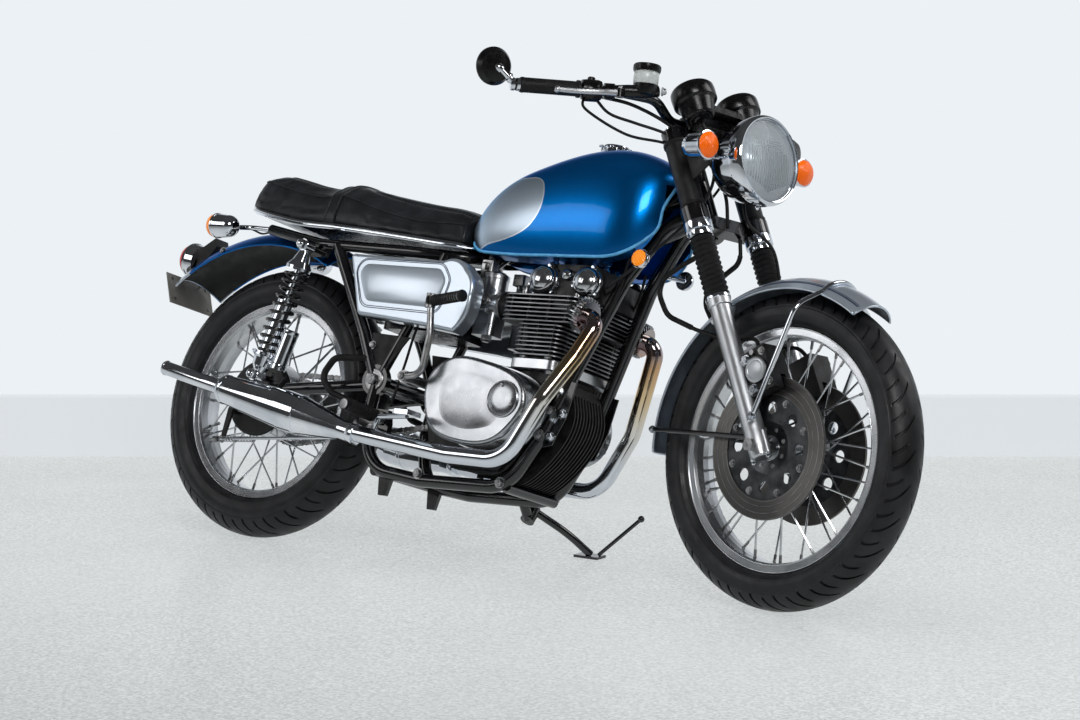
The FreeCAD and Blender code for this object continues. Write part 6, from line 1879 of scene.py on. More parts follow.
class BuildFork(bpy.types.Operator):
    """Makes the fork's collars, dust seals, axle clamps, bolts and stem nut"""

    bl_idname = "cafe_racer.fork"
    bl_label = "Fork details"

    def execute(self, context):
        chrome, alloy, black = Shape(), Shape(), Shape()
        for side in (-1, 1):
            foot = on_leg(0, side)
            chrome.turned([(487, 18), (487, 25.5), (490, 26.5), (500, 26.8), (501, 30), (504, 31), (521, 31),
                           (522.6, 29), (522.6, 18)], foot, STEM, 48, closed=True)
            chrome.turned([(335, 25.6), (336, 27), (340, 27.4), (343, 26.8), (343.2, 18)], foot, STEM, 48)
            chrome.turned([(748, 15), (748, 19), (752, 19), (754, 17), (756, 12)], foot, STEM, 6)
            chrome.turned([(756, 12), (760, 11.5), (761, 0.5)], foot, STEM, 28)
            alloy.turned([(318, 22.7), (320, 25.7), (342, 25.9), (342, 18)], foot, STEM, 48)
            alloy.turned([(-27, 16), (-24, 20), (-8, 23.2), (24, 23.2), (30, 22.7)], foot, STEM, 40)
            for run in (-1, 1):
                stud = foot + STEM * -24 + AHEAD * (run * 20)
                alloy.bar([stud, stud + STEM * 50], 6.5, 14)
                chrome.bolt(stud, -STEM, 11, 7)
            alloy.bar([foot + STEM * 60 - AHEAD * 20, foot + STEM * 60 - AHEAD * 28], 5, 12)
            chrome.bolt(foot + STEM * 60 - AHEAD * 27, AHEAD * -1, 8, 3)
            alloy.bar([foot + STEM * 300 - AHEAD * 18, foot + STEM * 300 - AHEAD * 30], 7, 14)
            for at in (112, 178):
                alloy.bar([foot + STEM * at, foot + STEM * at + AHEAD * 44], 11, 18)
                chrome.bolt(foot + STEM * at + AHEAD * 36 + LEFT * (side * 10), LEFT * side, 13, 7)
            for low, high in ((558, 568), (712, 721)):
                black.turned([(low, 26.2), (low + 2, 28.5), (low + 8, 28.5), (high, 26.3)], foot, STEM, 40)
            for at, reach in ((540, 31), (735, 28)):
                chrome.bolt(foot + STEM * at - AHEAD * reach + LEFT * (side * -6), LEFT * side, 11, 6)
        chrome.turned([(748, 14), (748, 24), (752, 25), (766, 24), (770, 18), (771, 0.5)], STEM_FOOT, STEM, 6)
        chrome.piece("fork_chrome", "chrome fork", sharp=35.0)
        alloy.piece("fork_castings", "fork alloy", sharp=35.0)
        black.piece("fork_rubbers", "black rubber fork")
        return {"FINISHED"}


class BuildGauges(bpy.types.Operator):
    """Makes the instruments' rims, dials, marks and needles"""

    bl_idname = "cafe_racer.gauges"
    bl_label = "Instruments"

    def execute(self, context):
        line = Vector((-0.50, 0, 0.87)).normalized()
        rims, faces, marks, needles = Shape(), Shape(), Shape(), Shape()
        for side in (-1, 1):
            base = Vector((1150, side * 72, 1030))
            rims.turned([(40, 47.2), (42, 48.6), (64, 49.4), (72, 48.6), (76, 45.5), (77, 43.5), (75.6, 42.0),
                         (70, 42.0), (70, 44)], base, line, 72, closed=True)
            rims.turned([(-2, 12), (-2, 20), (2, 26), (8, 34)], base, line, 48)
            faces.turned([(74.2, 44.2), (74.8, 43.6), (74.8, 0.2)], base, line, 56)
            face = base + line * 75.0
            for number in range(41):
                spoke = self.spoke(line, -130 + 260 * number / 40)
                long, width = (5.5, 0.7) if number % 5 == 0 else (3.0, 0.4)
                tip = face + spoke * 39.5
                across = line.cross(spoke) * width
                marks.prism([tip - across, tip + across, tip - spoke * long + across,
                             tip - spoke * long - across], line * 0.3)
            marks.grid([[face + spoke * radius + line * rise
                         for radius, rise in ((41.2, 0), (41.8, 0), (41.8, 0.3), (41.2, 0.3))]
                        for spoke in spokes(48, LEFT, line.cross(LEFT))], closed_rows=True)
            spoke = self.spoke(line, -128)
            across = line.cross(spoke)
            hub = base + line * 75.6
            tail, tip = hub - spoke * 8, hub + spoke * 33
            needles.prism([tail - across * 1.4, tail + across * 1.4, tip + across * 0.4, tip - across * 0.4],
                          line * 0.5)
            rims.turned([(75, 5), (76.6, 5), (77.2, 4)], base, line, 24)
        rims.turned([(0, 16), (20, 16), (22, 14), (22, 0.5)], Vector((1132, 0, 1040)), line, 32)
        rims.prism([(1120, -60, 1030), (1166, -60, 1052), (1160, -60, 1066), (1108, -60, 1052)], LEFT * 120,
                   bevel=3.0)
        rims.piece("gauge_rims", "black plastic fork", sharp=35.0)
        faces.piece("gauge_dials", "dial face")
        marks.piece("gauge_marks", "dial marks", smooth=False, sharp=None)
        needles.piece("gauge_needles", "dial needle", smooth=False, sharp=None)
        return {"FINISHED"}

    def spoke(self, line, angle):
        """A direction on the dial, in degrees from its top."""
        turn = math.radians(angle)
        return line.cross(LEFT) * -math.cos(turn) + LEFT * math.sin(turn)


def bar_line(side):
    points = [BAR_CENTRE, BAR_CENTRE + LEFT * 100, Vector((1092, 158, 1058)), BAR_INNER, BAR_END]
    return [Vector((point.x, side * point.y, point.z)) for point in points]


class BuildControls(bpy.types.Operator):
    """Makes the switch housings, the levers, the brake reservoir and the ribbed grips"""

    bl_idname = "cafe_racer.controls"
    bl_label = "Hand controls"

    def execute(self, context):
        black, bright, rubber, pot = Shape(), Shape(), Shape(), Shape()
        for side in (-1, 1):
            inner, end = bar_line(side)[-2:]
            line = (end - inner).normalized()
            out = line.cross(UP).normalized()
            front = out if out.x > 0 else -out
            black.turned([(132, 17), (133, 21), (142, 22.5), (168, 22.5), (175, 20.5), (176, 15)],
                         end, -line, 32)
            black.turned([(140, 22.9), (141, 23.6), (166, 23.6), (167, 22.9)], end - UP * 1.5, -line, 32)
            black.turned([(0, 8.5), (7, 8.5), (9, 6), (9, 0.5)], end - line * 152 + UP * 19, UP, 24)
            black.prism([end - line * 146 - front * 25 + UP * z for z in (-5, 5)]
                        + [end - line * 160 - front * 25 + UP * z for z in (5, -5)], -front * 5, bevel=1.0)
            black.turned([(182, 14), (183, 17.5), (204, 17.5), (206, 14)], end, -line, 28)
            pivot = end - line * 194 + Vector((34, 0, -6))
            black.bar([end - line * 194, end - line * 194 + Vector((18, 0, -3)), pivot], [11, 10, 10], 14)
            black.turned([(-9, 11), (9, 11)], pivot, UP, 24)
            bright.bolt(pivot + UP * 9, UP, 10, 4)
            tip = end - line * 44 + Vector((52, 0, -10))
            route = smooth_line([pivot, end - line * 150 + Vector((50, 0, -8)),
                                 end - line * 90 + Vector((50, 0, -10)), tip], 8)
            self.blade(bright, route)
            bright.turned([(-6, 4), (-4, 6.2), (0, 7.4), (4, 6.2), (6, 4)], route[-1], line, 20)
            for number in range(26):
                start = 4 + number * 4.8
                rubber.turned([(start, 15.4), (start + 0.8, 16.4), (start + 2.8, 16.4), (start + 3.6, 15.4)],
                              end, -line, 28)
            rubber.turned([(120, 15.6), (122, 19), (128, 19), (130, 14)], end, -line, 28)
            rubber.turned([(-1.0, 12), (1.0, 17), (5, 17), (6, 15)], end, -line, 28)
            if side < 0:
                cup = end - line * 246 + Vector((36, 0, 4))
                black.bar([end - line * 190 + Vector((20, 0, 0)), end - line * 214 + Vector((30, 0, 0)),
                           cup - UP * 4, cup - line * 30], [12, 14, 15, 12], 18)
                black.turned([(-12, 14), (-10, 21), (2, 25), (12, 26)], cup, UP, 40)
                pot.turned([(12, 26.4), (13, 27), (38, 27), (39, 26.4)], cup, UP, 48)
                black.turned([(39, 26), (39, 28.6), (41, 29.4), (53, 29.4), (55, 27.6), (55.6, 24), (54, 23),
                              (54, 0.5)], cup, UP, 48)
                for spoke in spokes(30, FORWARD, LEFT):
                    black.bar([cup + spoke * 29.2 + UP * 42, cup + spoke * 29.2 + UP * 52], 0.8, 6)
                bright.bolt(cup - line * 38, -line, 13, 7)
            else:
                bright.turned([(0, 5), (14, 5), (15, 3.4), (30, 3.2)],
                              end - line * 204 + FORWARD * 16, -line, 16)
        piece = black.piece("control_housings", "black plastic fork", slot="black_cast")
        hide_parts("hand_controls")
        bright.piece("levers", "fork alloy", sharp=50.0)
        rubber.piece("grip_ribs", "black rubber fork")
        pot.piece("brake_fluid_pot", "fluid pot")
        return {"FINISHED"}

    def blade(self, shape, route):
        """A lever's blade, which gets slimmer towards its end."""
        rows = []
        for index, point in enumerate(route):
            across = direction_at(route, index).cross(UP).normalized()
            share = index / (len(route) - 1)
            tall, wide = 7.6 - 2.4 * share, 4.4 - share
            ring = []
            for step in range(16):
                turn = 2 * math.pi * step / 16
                c, s = math.cos(turn), math.sin(turn)
                ring.append(point + UP * (tall * math.copysign(abs(s) ** 0.7, s))
                            + across * (wide * math.copysign(abs(c) ** 0.7, c)))
            rows.append(ring)
        shape.grid(rows, caps="both")


class BuildMirrors(bpy.types.Operator):
    """Makes the bar-end mirrors' glasses, stems and clamps"""

    bl_idname = "cafe_racer.mirrors"
    bl_label = "Mirrors"

    def execute(self, context):
        chrome, glass = Shape(), Shape()
        for side in (-1, 1):
            end = bar_line(side)[-1]
            line = (end - bar_line(side)[-2]).normalized()
            centre = Vector((932, side * 484, 1070))
            face = Vector((-1, side * -0.25, 0.1)).normalized()
            glass.turned([(9.6, 38.6), (10.6, 38), (10.6, 0.3)], centre, face, 56)
            chrome.turned([(2.0, 13.4), (3, 14.2), (9, 14.2), (10, 13.4)], end, line, 32)
            chrome.turned([(14, 13.4), (15, 14.2), (21, 14.2), (22.4, 12), (22.6, 0.5)], end, line, 32)
            start = end + line * 14
            stem_end = centre + Vector((6, 0, 0))
            run = (stem_end - start).normalized()
            chrome.turned([(8, 5.6), (10, 8), (18, 8), (20, 5.6)], start, run, 24)
            chrome.bar([start, start + run * ((stem_end - start).length - 8)], 5.4, 16)
            chrome.turned([(-8, 5.6), (-6, 9), (4, 9.5), (8, 7)], stem_end - run * 6, run, 20)
            chrome.bolt(start + run * 14 + UP * 7, UP, 9, 4)
        chrome.piece("mirror_stems", "chrome fork")
        glass.piece("mirror_glass", "chrome fork")
        return {"FINISHED"}


def lens_dome(shape, centre, axis, radius, start, depth, ribs=9):
    """A moulded lens with shallow steps."""
    profile = [(start, radius - 0.6), (start + 1, radius)]
    for number in range(ribs + 1):
        angle = number / ribs * math.pi / 2
        along, wide = start + 2 + depth * math.sin(angle), radius * math.cos(angle) ** 0.8
        profile.append((along, max(wide, 0.4)))
        if number < ribs:
            profile.append((along + 0.6, max(wide - 0.6, 0.4)))
    shape.turned(profile, centre, axis, 40)


class BuildSignals(bpy.types.Operator):
    """Makes the amber lenses, the chrome rims and the red tail lens"""

    bl_idname = "cafe_racer.signals"
    bl_label = "Signals and tail lens"

    def execute(self, context):
        front, rear, chrome, fork_chrome, red = Shape(), Shape(), Shape(), Shape(), Shape()
        for side in (-1, 1):
            spot = Vector((1234, side * 156, 952))
            lens_dome(front, spot, FORWARD, 28.5, 23, 13)
            fork_chrome.turned([(20, 30.2), (22, 31.4), (25, 31.4), (26, 29)], spot, FORWARD, 40)
            fork_chrome.turned([(-43, 9.6), (-42, 10.6), (-36, 15.5), (-35, 14.5)], spot, FORWARD, 32)
            spot = Vector((-118, side * 180, 727))
            lens_dome(rear, spot, -FORWARD, 29.0, 28, 22)
            chrome.turned([(22, 30.2), (24, 31.2), (27, 31.2), (28, 29)], spot, -FORWARD, 40)
            spot = Vector((1042, side * 91, 706))
            rear.turned([(3, 19.8), (9, 20.4), (12.6, 17.6), (14.2, 12), (14.8, 0.4)], spot, LEFT * side, 40)
            chrome.turned([(0, 20), (1, 21.4), (7.0, 21.6), (8.4, 21.2), (8.4, 19.6)], spot, LEFT * side, 40)
        tail = Vector((-352, 0, 676))
        out = Vector((-1, 0, 0.12)).normalized()
        lens_dome(red, tail, out, 41.5, 30, 26, 11)
        chrome.turned([(24, 43.6), (26, 45.2), (30, 45.4), (31, 42)], tail, out, 56)
        front.piece("front_lenses", "amber lens fork", sharp=50.0)
        rear.piece("rear_lenses", "amber lens", sharp=50.0)
        chrome.piece("lens_rims", "chrome")
        fork_chrome.piece("front_lens_rims", "chrome fork")
        red.piece("tail_lens", "red lens", sharp=50.0)
        return {"FINISHED"}


class BuildBrakes(bpy.types.Operator):
    """Makes the calipers' caps and bolts, and the guarded hoses"""

    bl_idname = "cafe_racer.brakes"
    bl_label = "Front brakes"

    def execute(self, context):
        pitch = context.scene.cafe_racer_front.coil_pitch
        caps, bolts, guard = Shape(), Shape(), Shape()
        for side in (-1, 1):
            centre = on_leg(145, side) + AHEAD * 56
            outer = Vector((centre.x, side * 112.5, centre.z))
            caps.turned([(-3, 26.4), (-1, 27), (1, 26.6), (2.2, 24.5), (2.6, 20), (1.6, 19), (2.4, 17),
                         (2.8, 0.5)], outer, LEFT * side, 48)
            face = Vector((centre.x, side * 104.6, centre.z))
            for at, run in ((34, -22), (34, 22), (-34, -22), (-34, 22)):
                bolts.bolt(face + STEM * at + AHEAD * run, LEFT * side, 11, 5)
            bolts.bar([centre + STEM * 40 + LEFT * (side * out) for out in (-14, 14)], 5.5, 14)
            start = on_stem(521) + AHEAD * 32
            end = on_leg(197.5, 0) + AHEAD * 56
            route = [(start.x, 56, start.z), (1190, 60, 738), (1140, 68, 712), (1090, 72, 682),
                     (1084, 74, 648), (1118, 76, 600), (1206, 76, 571), (1300, 66.5, 548), (1372, 68, 556),
                     (end.x, 80, end.z)]
            line = round_corners([(x, side * y, z) for x, y, z in route], 60.0, 10)
            fine = []
            for before, after in zip(line, line[1:]):
                count = max(1, round((after - before).length / (pitch / 2)))
                fine += [before.lerp(after, step / count) for step in range(count)]
            fine.append(line[-1])
            radii = []
            for index in range(len(fine)):
                guarded = 0.06 < index / len(fine) < 0.60
                radii.append((6.2 if index % 2 else 5.2) if guarded else 4.4)
            guard.bar(fine, radii, 10)
            bolts.turned([(-3, 6.5), (9, 6.5), (10, 5)], Vector((end.x, side * 80, end.z - 3)), STEM, 6)
        caps.piece("caliper_caps", "fork alloy", sharp=35.0)
        bolts.piece("caliper_bolts", "plated steel fork")
        piece = guard.piece("hose_guards", "black rubber fork", sharp=None)
        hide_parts("brake_hoses")
        return {"FINISHED"}


def fender_point(axle, crest, half, drop, turn, y, lift=0.0):
    """A point on a fender's arched outside."""
    radius = (half * half + drop * drop) / (2 * drop)
    height = crest - radius + math.sqrt(max(radius * radius - y * y, 0.0)) + lift
    return wheel_point(axle, turn, height, y)


def fender_liner(shape, fender, start, end):
    """A thin lining close under a fender's inside, 3 millimetres below its outside."""
    axle, crest, half, drop = fender
    inside = (axle, crest - 3.0, half - 3.0, drop - 2.5)
    across = [(half - 3.5) * place / 16 for place in range(-16, 17)]
    rows = []
    for step in range(80):
        turn = start + (end - start) * step / 79
        rows.append([fender_point(*inside, turn, y, -0.3) for y in across]
                    + [fender_point(*inside, turn, y, -1.1) for y in reversed(across)])
    shape.grid(rows, caps="both")


# Centre, crest, half width and drop of each fender's outside
FRONT_FENDER = (FRONT_AXLE, 362.0, 60.0, 30.0)
REAR_FENDER_CENTRE = Vector((-50.0, 0.0, 290.0))
REAR_FENDER_CREST = 466.0
REAR_FENDER_END = 134.0
REAR_FENDER = (REAR_FENDER_CENTRE, REAR_FENDER_CREST, 84.0, 46.0)


STAY_ANGLE = 74.0


class BuildFrontFender(bpy.types.Operator):
    """Makes the front fender's grey inside, stripes, rolled edges and stays"""

    bl_idname = "cafe_racer.front_fender"
    bl_label = "Front fender details"

    def execute(self, context):
        stripes, edges, chrome, black, liner = Shape(), Shape(), Shape(), Shape(), Shape()
        fender_liner(liner, FRONT_FENDER, 57.3, 183.7)
        liner.piece("front_fender_liner", "inner paint fork")
        for side in (-1, 1):
            for y, width in ((47.0, 1.5), (43.6, 0.5)):
                rows = []
                for step in range(110):
                    turn = 58.5 + 124.0 * step / 109
                    rows.append([fender_point(*FRONT_FENDER, turn, side * (y + edge), lift) for edge, lift in
                                 ((-width, 0.1), (-width, 0.45), (width, 0.45), (width, 0.1))])
                stripes.grid(rows, caps="both")
            edges.bar([wheel_point(FRONT_AXLE, 57 + 127 * step / 100, 331.6, side * 59.6)
                       for step in range(101)], 2.6, 8)
            lug = on_leg(52, side) + AHEAD * 26 + LEFT * (side * 28)
            route = [wheel_point(FRONT_AXLE, STAY_ANGLE, 337, side * 58),
                     wheel_point(FRONT_AXLE, STAY_ANGLE, 300, side * 122), lug]
            chrome.bar(round_corners(route, 40.0, 8), 5.5, 14)
            chrome.bar([lug + AHEAD * 4, on_leg(52, side) + LEFT * (side * 12)], 6.5, 14)
            chrome.bolt(lug + LEFT * (side * 4), LEFT * side, 12, 6)
            black.bar([wheel_point(FRONT_AXLE, 176, 338, side * 60), on_leg(30, side) - AHEAD * 22], 5.5, 14)
            chrome.bolt(wheel_point(FRONT_AXLE, 176, 338, side * 61), LEFT * side, 11, 6)
        chrome.bar([fender_point(*FRONT_FENDER, STAY_ANGLE, -58 + 116 * step / 24, 3.6)
                    for step in range(25)], 5.0, 12)
        for turn in (57.0, 184.0):
            edges.bar([fender_point(*FRONT_FENDER, turn, -59 + 118 * step / 24, -1.5) for step in range(25)],
                      2.2, 8)
        stripes.piece("fender_stripes", "dark line fork")
        edges.piece("fender_edges", "silver paint fork", sharp=None)
        chrome.piece("fender_hoop", "chrome fork", sharp=40.0)
        black.piece("fender_rear_stays", "fork paint")
        return {"FINISHED"}


class CableSettings(bpy.types.PropertyGroup):
    """The control cables."""

    radius: FloatProperty(name="Radius", description="Radius of the cables in millimetres", default=3.1)


class BuildCables(bpy.types.Operator):
    """Makes the throttle, clutch and instrument cables, their upper ends placed with the steered front end"""

    bl_idname = "cafe_racer.cables"
    bl_label = "Cables"

    def execute(self, context):
        radius = context.scene.cafe_racer_cables.radius
        to_steering = PARKED.inverted() @ STEERED
        for name, route, size in (
                ("throttle_cable", [(1022, -306, 1036), (1026, -296, 1010), (1046, -190, 978),
                                    (1090, -110, 972), (1118, -52, 950), (1100, -42, 890),
                                    (1050, -50, 830), (960, -62, 740)], radius),
                ("front_switch_wires", [(1036, -282, 1036), (1044, -244, 1012), (1060, -180, 1004),
                                        (1100, -120, 990), (1138, -60, 960), (1150, -40, 900)], radius * 1.1),
                ("clutch_cable", [(1040, 282, 1048), (1056, 240, 1006), (1080, 180, 984), (1110, 90, 960),
                                  (1110, 50, 900), (1060, 56, 830), (960, 80, 700), (900, 104, 560),
                                  (860, 150, 440)], radius),
                ("brake_line", [(1030, -262, 1046), (1062, -196, 1040), (1100, -120, 1012), (1150, -60, 960),
                                (1196, -24, 880), (1206, -10, 800)], radius * 1.3),
                ("speed_cable", [(1150, 70, 1028), (1172, 60, 980), (1196, 40, 900), (1236, 16, 820),
                                 (1282, 60, 760), (1300, 84, 640), (1330, 74, 540), (1400, 70, 372)],
                 radius * 1.15),
                ("tacho_cable", [(1150, -70, 1028), (1170, -50, 970), (1170, -36, 890), (1120, -60, 800),
                                 (1030, -80, 700), (960, -84, 640)], radius * 1.15)):
            fixed = name in ("front_switch_wires", "brake_line", "speed_cable")
            points = []
            for x, y, z in route:
                point = Vector((x, y, z))
                points.append(to_steering @ point if not fixed and z > 860 else point)
            line = smooth_line(points, 10)
            shape = Shape()
            shape.bar(line, size, 8)
            piece = shape.piece(name, "black rubber fork" if fixed else "black rubber", sharp=None)
            if not fixed:
                self.bend(piece, points)
        return {"FINISHED"}

    def bend(self, piece, points):
        """Takes the cable off its body, keeping it where it is."""
        world = piece.matrix_world.copy()
        piece.parent = None
        piece.matrix_world = world
        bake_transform(piece)


# Tail, controls on the frame and hardware

class RearSettings(bpy.types.PropertyGroup):
    """The rear fender and the rubbers."""

    tip: FloatProperty(name="Silver tip", description="Length of the rear fender's silver tip in millimetres",
                       default=58.0)
    rib: FloatProperty(name="Rib pitch", description="Pitch of the ribs on the foot rubbers in millimetres",
                       default=7.5)


class BuildRearFender(bpy.types.Operator):
    """Makes the rear fender's black inside, silver tip, rolled edge and bolts"""

    bl_idname = "cafe_racer.rear_fender"
    bl_label = "Rear fender details"

    def execute(self, context):
        length = math.degrees(context.scene.cafe_racer_rear.tip / REAR_FENDER_CREST)
        tip_start = REAR_FENDER_END - length
        dark, tip, edge, bolts = Shape(), Shape(), Shape(), Shape()
        centre, crest, half, drop = REAR_FENDER
        fender_liner(dark, REAR_FENDER, 62.3, REAR_FENDER_END - 0.3)
        for turn in (84.0, 88.5):
            dark.bar([fender_point(centre, crest - 3, half - 3, drop - 2.5, turn, y * 8.0, -1.2)
                      for y in range(-10, 11)], 1.8, 8)
        for side in (-1, 1):
            for part, start, end in ((edge, 62.5, tip_start), (tip, tip_start, REAR_FENDER_END)):
                part.bar([wheel_point(centre, start + (end - start) * step / 50, crest - drop - 0.5,
                                      side * (half - 0.6)) for step in range(51)], 2.6, 8)
            bolts.bolt(fender_point(*REAR_FENDER, 112, side * 76, 0.6), LEFT * side, 12, 5)
        across = [y * 83.8 / 16 for y in range(-16, 17)]
        rows = []
        for step in range(16):
            turn = tip_start + (length + 0.1) * step / 15
            rows.append([fender_point(*REAR_FENDER, turn, y, 0.9) for y in across]
                        + [fender_point(*REAR_FENDER, turn, y, 0.2) for y in reversed(across)])
        tip.grid(rows, caps="both")
        tip.bar([fender_point(*REAR_FENDER, REAR_FENDER_END, y * 83.0 / 20, -1.4) for y in range(-20, 21)],
                2.2, 8)
        dark.prism([(-354, -23, 699), (-299, -23, 736), (-289, -23, 715), (-345, -23, 639)], LEFT * 46)
        dark.piece("rear_fender_liner", "black casting")
        edge.piece("rear_fender_edges", "blue paint", sharp=None)
        tip.piece("rear_fender_tip", "silver paint", sharp=50.0)
        bolts.piece("rear_fender_bolts", "plated steel")
        return {"FINISHED"}


class BuildPlate(bpy.types.Operator):
    """Makes the number plate's raised rim and its screws"""

    bl_idname = "cafe_racer.plate"
    bl_label = "Number plate"

    def execute(self, context):
        normal = Vector((-0.88, 0, -0.4)).normalized()
        down = LEFT.cross(normal)
        centre = Vector((-370, 0, 590)) + normal * 3.0
        rim, screws = Shape(), Shape()
        corners = [centre + LEFT * y + down * z for y, z in ((-77, -39), (77, -39), (77, 39), (-77, 39))]
        line = round_corners(corners + corners[:2], 8.0, 6)[:-1]
        rim.bar(line, 1.4, 8)
        for y, z in ((-62, -28), (62, -28), (-62, 28), (62, 28)):
            spot = centre + LEFT * y + down * z
            screws.turned([(-6, 3.2), (0, 3.2), (0, 6), (1.6, 5.6), (2.8, 3), (3, 0.4)], spot, normal, 20)
            screws.prism([spot + normal * 2.9 + LEFT * across + down * rise for across, rise in
                          ((-5, -0.5), (5, -0.5), (5, 0.5), (-5, 0.5))], normal * 0.3)
        rim.piece("plate_rim", "bare plate", sharp=None)
        screws.piece("plate_screws", "plated steel")
        return {"FINISHED"}


class BuildFootControls(bpy.types.Operator):
    """Makes the foot rubbers, the pedals' pads and their pivots"""

    bl_idname = "cafe_racer.foot_controls"
    bl_label = "Foot controls"

    def execute(self, context):
        pitch = context.scene.cafe_racer_rear.rib
        rubber, bright = Shape(), Shape()
        for side in (-1, 1):
            self.ribs(rubber, (440, side * 164, 300.2), (440, side * 261, 304), 14.2, pitch)
            bright.turned([(0, 12), (0, 16), (6, 16), (8, 12)], (440, side * 130, 300), LEFT * side, 32)
            bright.hexagon((440, side * 112, 300), LEFT * -side, 19, 8)
            bright.turned([(0, 3), (2, 11), (5, 11), (6, 0.4)], (440, side * 262, 304), LEFT * side, 28)
        self.ribs(rubber, (616, -240, 556), (710, -261, 566), 11.2, pitch)
        rubber.turned([(0, 14), (5, 14), (6, 11)], (606, -237.5, 556), (106, -26, 10), 28)
        rubber.turned([(-5, 13.5), (0, 13.5), (2, 10), (2.4, 0.4)], (712, -262, 566), (106, -26, 10), 28)
        self.ribs(rubber, (652.3, 212, 286.2), (655.8, 256, 288), 10.2, pitch * 0.8)
        bright.turned([(0, 9), (0, 14), (14, 14), (14, 9)], (560, -212, 384), -LEFT, 32)
        bright.bolt((560, -230, 384), -LEFT, 14, 6)
        bright.bar([(606, -236, 540), (606, -236, 572)], 12, 20)
        bright.bolt((556, 200, 300), LEFT, 12, 5)
        bright.turned([(0, 10), (0, 14), (16, 14), (16, 9)], (556, 182, 300), LEFT, 28)
        bright.bolt((446, -166, 266), -LEFT, 17, 7)
        for number in range(6):
            x = 585 + number * 7.0
            rubber.prism([(x, -262, 303.6), (x + 3.4, -262, 303.6), (x + 3.4, -218, 303.6),
                          (x, -218, 303.6)], UP * 2.0, bevel=0.5)
        rubber.piece("foot_rubbers", "black rubber", sharp=30.0)
        bright.piece("foot_hardware", "plated steel")
        return {"FINISHED"}

    def ribs(self, shape, start, end, radius, pitch):
        start, end = Vector(start), Vector(end)
        along = end - start
        low, high = radius - 0.6, radius + 1.3
        for number in range(int(along.length / pitch)):
            first = number * pitch
            shape.turned([(first, low), (first + 0.8, high), (first + pitch * 0.55, high),
                          (first + pitch * 0.7, low)], start, along, 28)


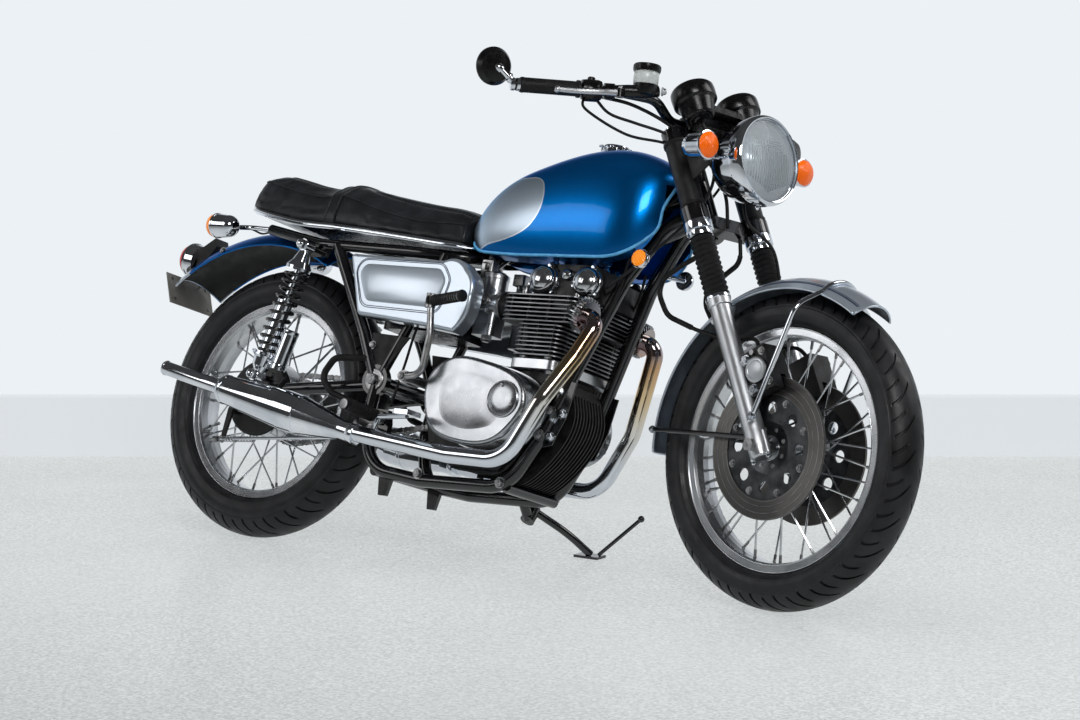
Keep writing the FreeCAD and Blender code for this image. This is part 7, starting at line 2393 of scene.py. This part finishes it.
class BuildHardware(bpy.types.Operator):
    """Makes the frame's bolts and nuts, the adjusters, the fuel taps' levers and the stand's spring"""

    bl_idname = "cafe_racer.hardware"
    bl_label = "Bolts, nuts and taps"

    def execute(self, context):
        steel, chrome, black = Shape(), Shape(), Shape()
        for side in (-1, 1):
            out = LEFT * side
            loop = [(372, 116, 440), (286, 150, 428), (258, 152, 380), (300, 152, 344), (380, 148, 322),
                    (452, 128, 303)]
            black.bar(round_corners([(x, side * y, z) for x, y, z in loop], 26.0), 8.0, 16)
            self.plate(black, [(356, 500), (470, 494), (408, 408), (378, 408)], side * 114, out * 4, 1.0)
            steel.bolt((366, side * 119, 470), out, 13, 6)
            steel.turned([(0, 26), (2, 26), (4, 24), (4, 0.4)], (391, side * 119.7, 389), out, 40)
            steel.bolt((391, side * 123.5, 389), out, 24, 11)
            steel.turned([(0, 19), (2.6, 19), (3, 18)], (0, side * 133.6, 332), out, 36)
            steel.turned([(0, 10), (8, 9.4), (9, 0.4)], (0, side * 133.6, 332), out, 28)
            steel.bar([(-52, side * 116, 332), (-78, side * 116, 332)], 4.4, 12)
            steel.hexagon((-54, side * 116, 332), (-1, 0, 0), 13, 6)
            steel.hexagon((-66, side * 116, 332), (-1, 0, 0), 13, 6)
            self.plate(steel, [(-53, 316), (-50, 316), (-50, 349), (-53, 349)], side * 106, out * 20, 1.0)
            for x in range(-34, 30, 6):
                self.plate(steel, [(x, 348), (x + 1, 348), (x + 1, 352), (x, 352)], side * 122, out * 0.4)
            for x, z in (SHOCK_TOP, SHOCK_BOTTOM):
                eye = (x, side * 171.4, z)
                chrome.turned([(0, 15), (2, 15), (3, 14)], eye, out, 32)
                chrome.turned([(2, 12), (14, 12), (18, 9), (20, 4), (20.4, 0.4)], eye, out, 6)
            for x, z, y in ((868, 300, 104), (884, 356, 100), (560, 186, 108), (790, 186, 108),
                            (1010, 720, 62)):
                steel.bolt((x, side * y, z), out, 17, 8)
            steel.turned([(0, 8), (10, 8), (14, 7)], (617, side * 64, 668), -UP, 24)
            steel.turned([(0, 9), (6, 9), (8, 6)], (617, side * 77, 680), out, 24)
            self.plate(steel, [(612, 684), (622, 684), (619, 650), (615, 650)], side * 84, out * 4, 1.0)
            for route, radius, steps in (
                    ([(617, 64, 656), (617, 64, 630), (632, 62, 606), (655, 60, 588)], 4.0, 12),
                    ([(-44, 96, 738), (-80, 90, 734), (-106, 104, 741), (-116, 140, 732)], 2.4, 8)):
                black.bar(smooth_line([(x, side * y, z) for x, y, z in route], 6), radius, steps)
        steel.turned([(0, 9), (6, 9), (8, 6), (8, 0.4)], (-62, -98.9, 216), -LEFT, 28)
        steel.bar([(-62, -104.9, 216), (-96, -104.9, 211)], 3.0, 10)
        steel.turned([(0, 7), (10, 8.4), (14, 8.4), (16, 4)], (-70, -104.9, 215), (-1, 0, -0.15), 8)
        coil = []
        for step in range(90):
            turn = step * 0.75
            coil.append(Vector((-56 + step * 1.15, -104.9 + 7.0 * math.cos(turn),
                                216.6 + step * 0.08 + 7.0 * math.sin(turn))))
        steel.bar(coil, 1.0, 6)
        loom = [(1060, -40, 800), (1030, -66, 780), (1000, -70, 720), (985, -70, 640), (960, -74, 560)]
        leads = [[(980, side * 30, 700), (960, side * 50, 650), (930, side * 70, 610), (900, side * 96, 585)]
                 for side in (-1, 1)]
        breather = [(560, -60, 640), (520, -110, 600), (486, -118, 520), (470, -118, 430), (452, -118, 330)]
        for route in (loom, *leads, breather):
            black.bar(smooth_line(route), 3.2, 10)
        for z in (540, 600, 660):
            black.bar([(428, -79, z), (446, -79, z), (446, 79, z)], 3.0, 8)
        steel.piece("frame_bolts", "plated steel")
        chrome.piece("shock_nuts", "chrome")
        black.piece("hoses_and_wires", "black rubber")
        return {"FINISHED"}

    def plate(self, shape, corners, y, run, bevel=0.0):
        """An upright plate along the motorcycle, its corners given as x and z."""
        shape.prism([(x, y, z) for x, z in corners], run, bevel)


class PaintFrame(bpy.types.Operator):
    """Gives every CAD piece its finish"""

    bl_idname = "cafe_racer.paint_frame"
    bl_label = "Finishes of the CAD pieces"

    def execute(self, context):
        for finish, nodes in NODE_FINISHES.items():
            material = finish_of(finish)
            for node in nodes.split():
                obj = frame["nodes"][node]
                if not obj.material_slots:
                    obj.data.materials.append(material)
                for slot in obj.material_slots:
                    slot.material = material
        return {"FINISHED"}


class CafeRacerPanel(bpy.types.Panel):
    """Lists the sizes, the colours and the pieces"""

    bl_idname = "VIEW3D_PT_cafe_racer"
    bl_label = "Cafe racer"
    bl_space_type = "VIEW_3D"
    bl_region_type = "UI"
    bl_category = "Cafe racer"

    def draw(self, context):
        for group in SETTINGS:
            settings = getattr(context.scene, SETTINGS[group])
            for name in group.__annotations__:
                self.layout.prop(settings, name)
        for operator in OPERATORS:
            self.layout.operator(operator.bl_idname)


SETTINGS = {
    StageSettings: "cafe_racer_stage",
    SeatSettings: "cafe_racer_seat",
    TreadSettings: "cafe_racer_tread",
    SpringSettings: "cafe_racer_springs",
    FinSettings: "cafe_racer_fins",
    CoverSettings: "cafe_racer_cover",
    FrontSettings: "cafe_racer_front",
    CableSettings: "cafe_racer_cables",
    RearSettings: "cafe_racer_rear",
}
OPERATORS = (
    BuildStage, BuildSeat, BuildTankTrim, BuildSideCovers, BuildTyres, BuildWheelDetails,
    BuildChain, BuildSprings, BuildFins, BuildCovers, BuildRockers, BuildLowerEngine, BuildExhaust,
    BuildCarburettors, BuildHeadlight, BuildFork, BuildGauges, BuildControls, BuildMirrors,
    BuildSignals, BuildBrakes, BuildFrontFender, BuildCables, BuildRearFender, BuildPlate,
    BuildFootControls, BuildHardware, PaintFrame,
)


def register():
    for group, name in SETTINGS.items():
        bpy.utils.register_class(group)
        setattr(bpy.types.Scene, name, PointerProperty(type=group))
    for operator in OPERATORS:
        bpy.utils.register_class(operator)
    bpy.utils.register_class(CafeRacerPanel)


def unregister():
    bpy.utils.unregister_class(CafeRacerPanel)
    for operator in reversed(OPERATORS):
        bpy.utils.unregister_class(operator)
    for group, name in SETTINGS.items():
        delattr(bpy.types.Scene, name)
        bpy.utils.unregister_class(group)


def main():
    register()
    for operator in OPERATORS:
        area, name = operator.bl_idname.split(".")
        getattr(getattr(bpy.ops, area), name)()


if __name__ == "__main__":
    main()
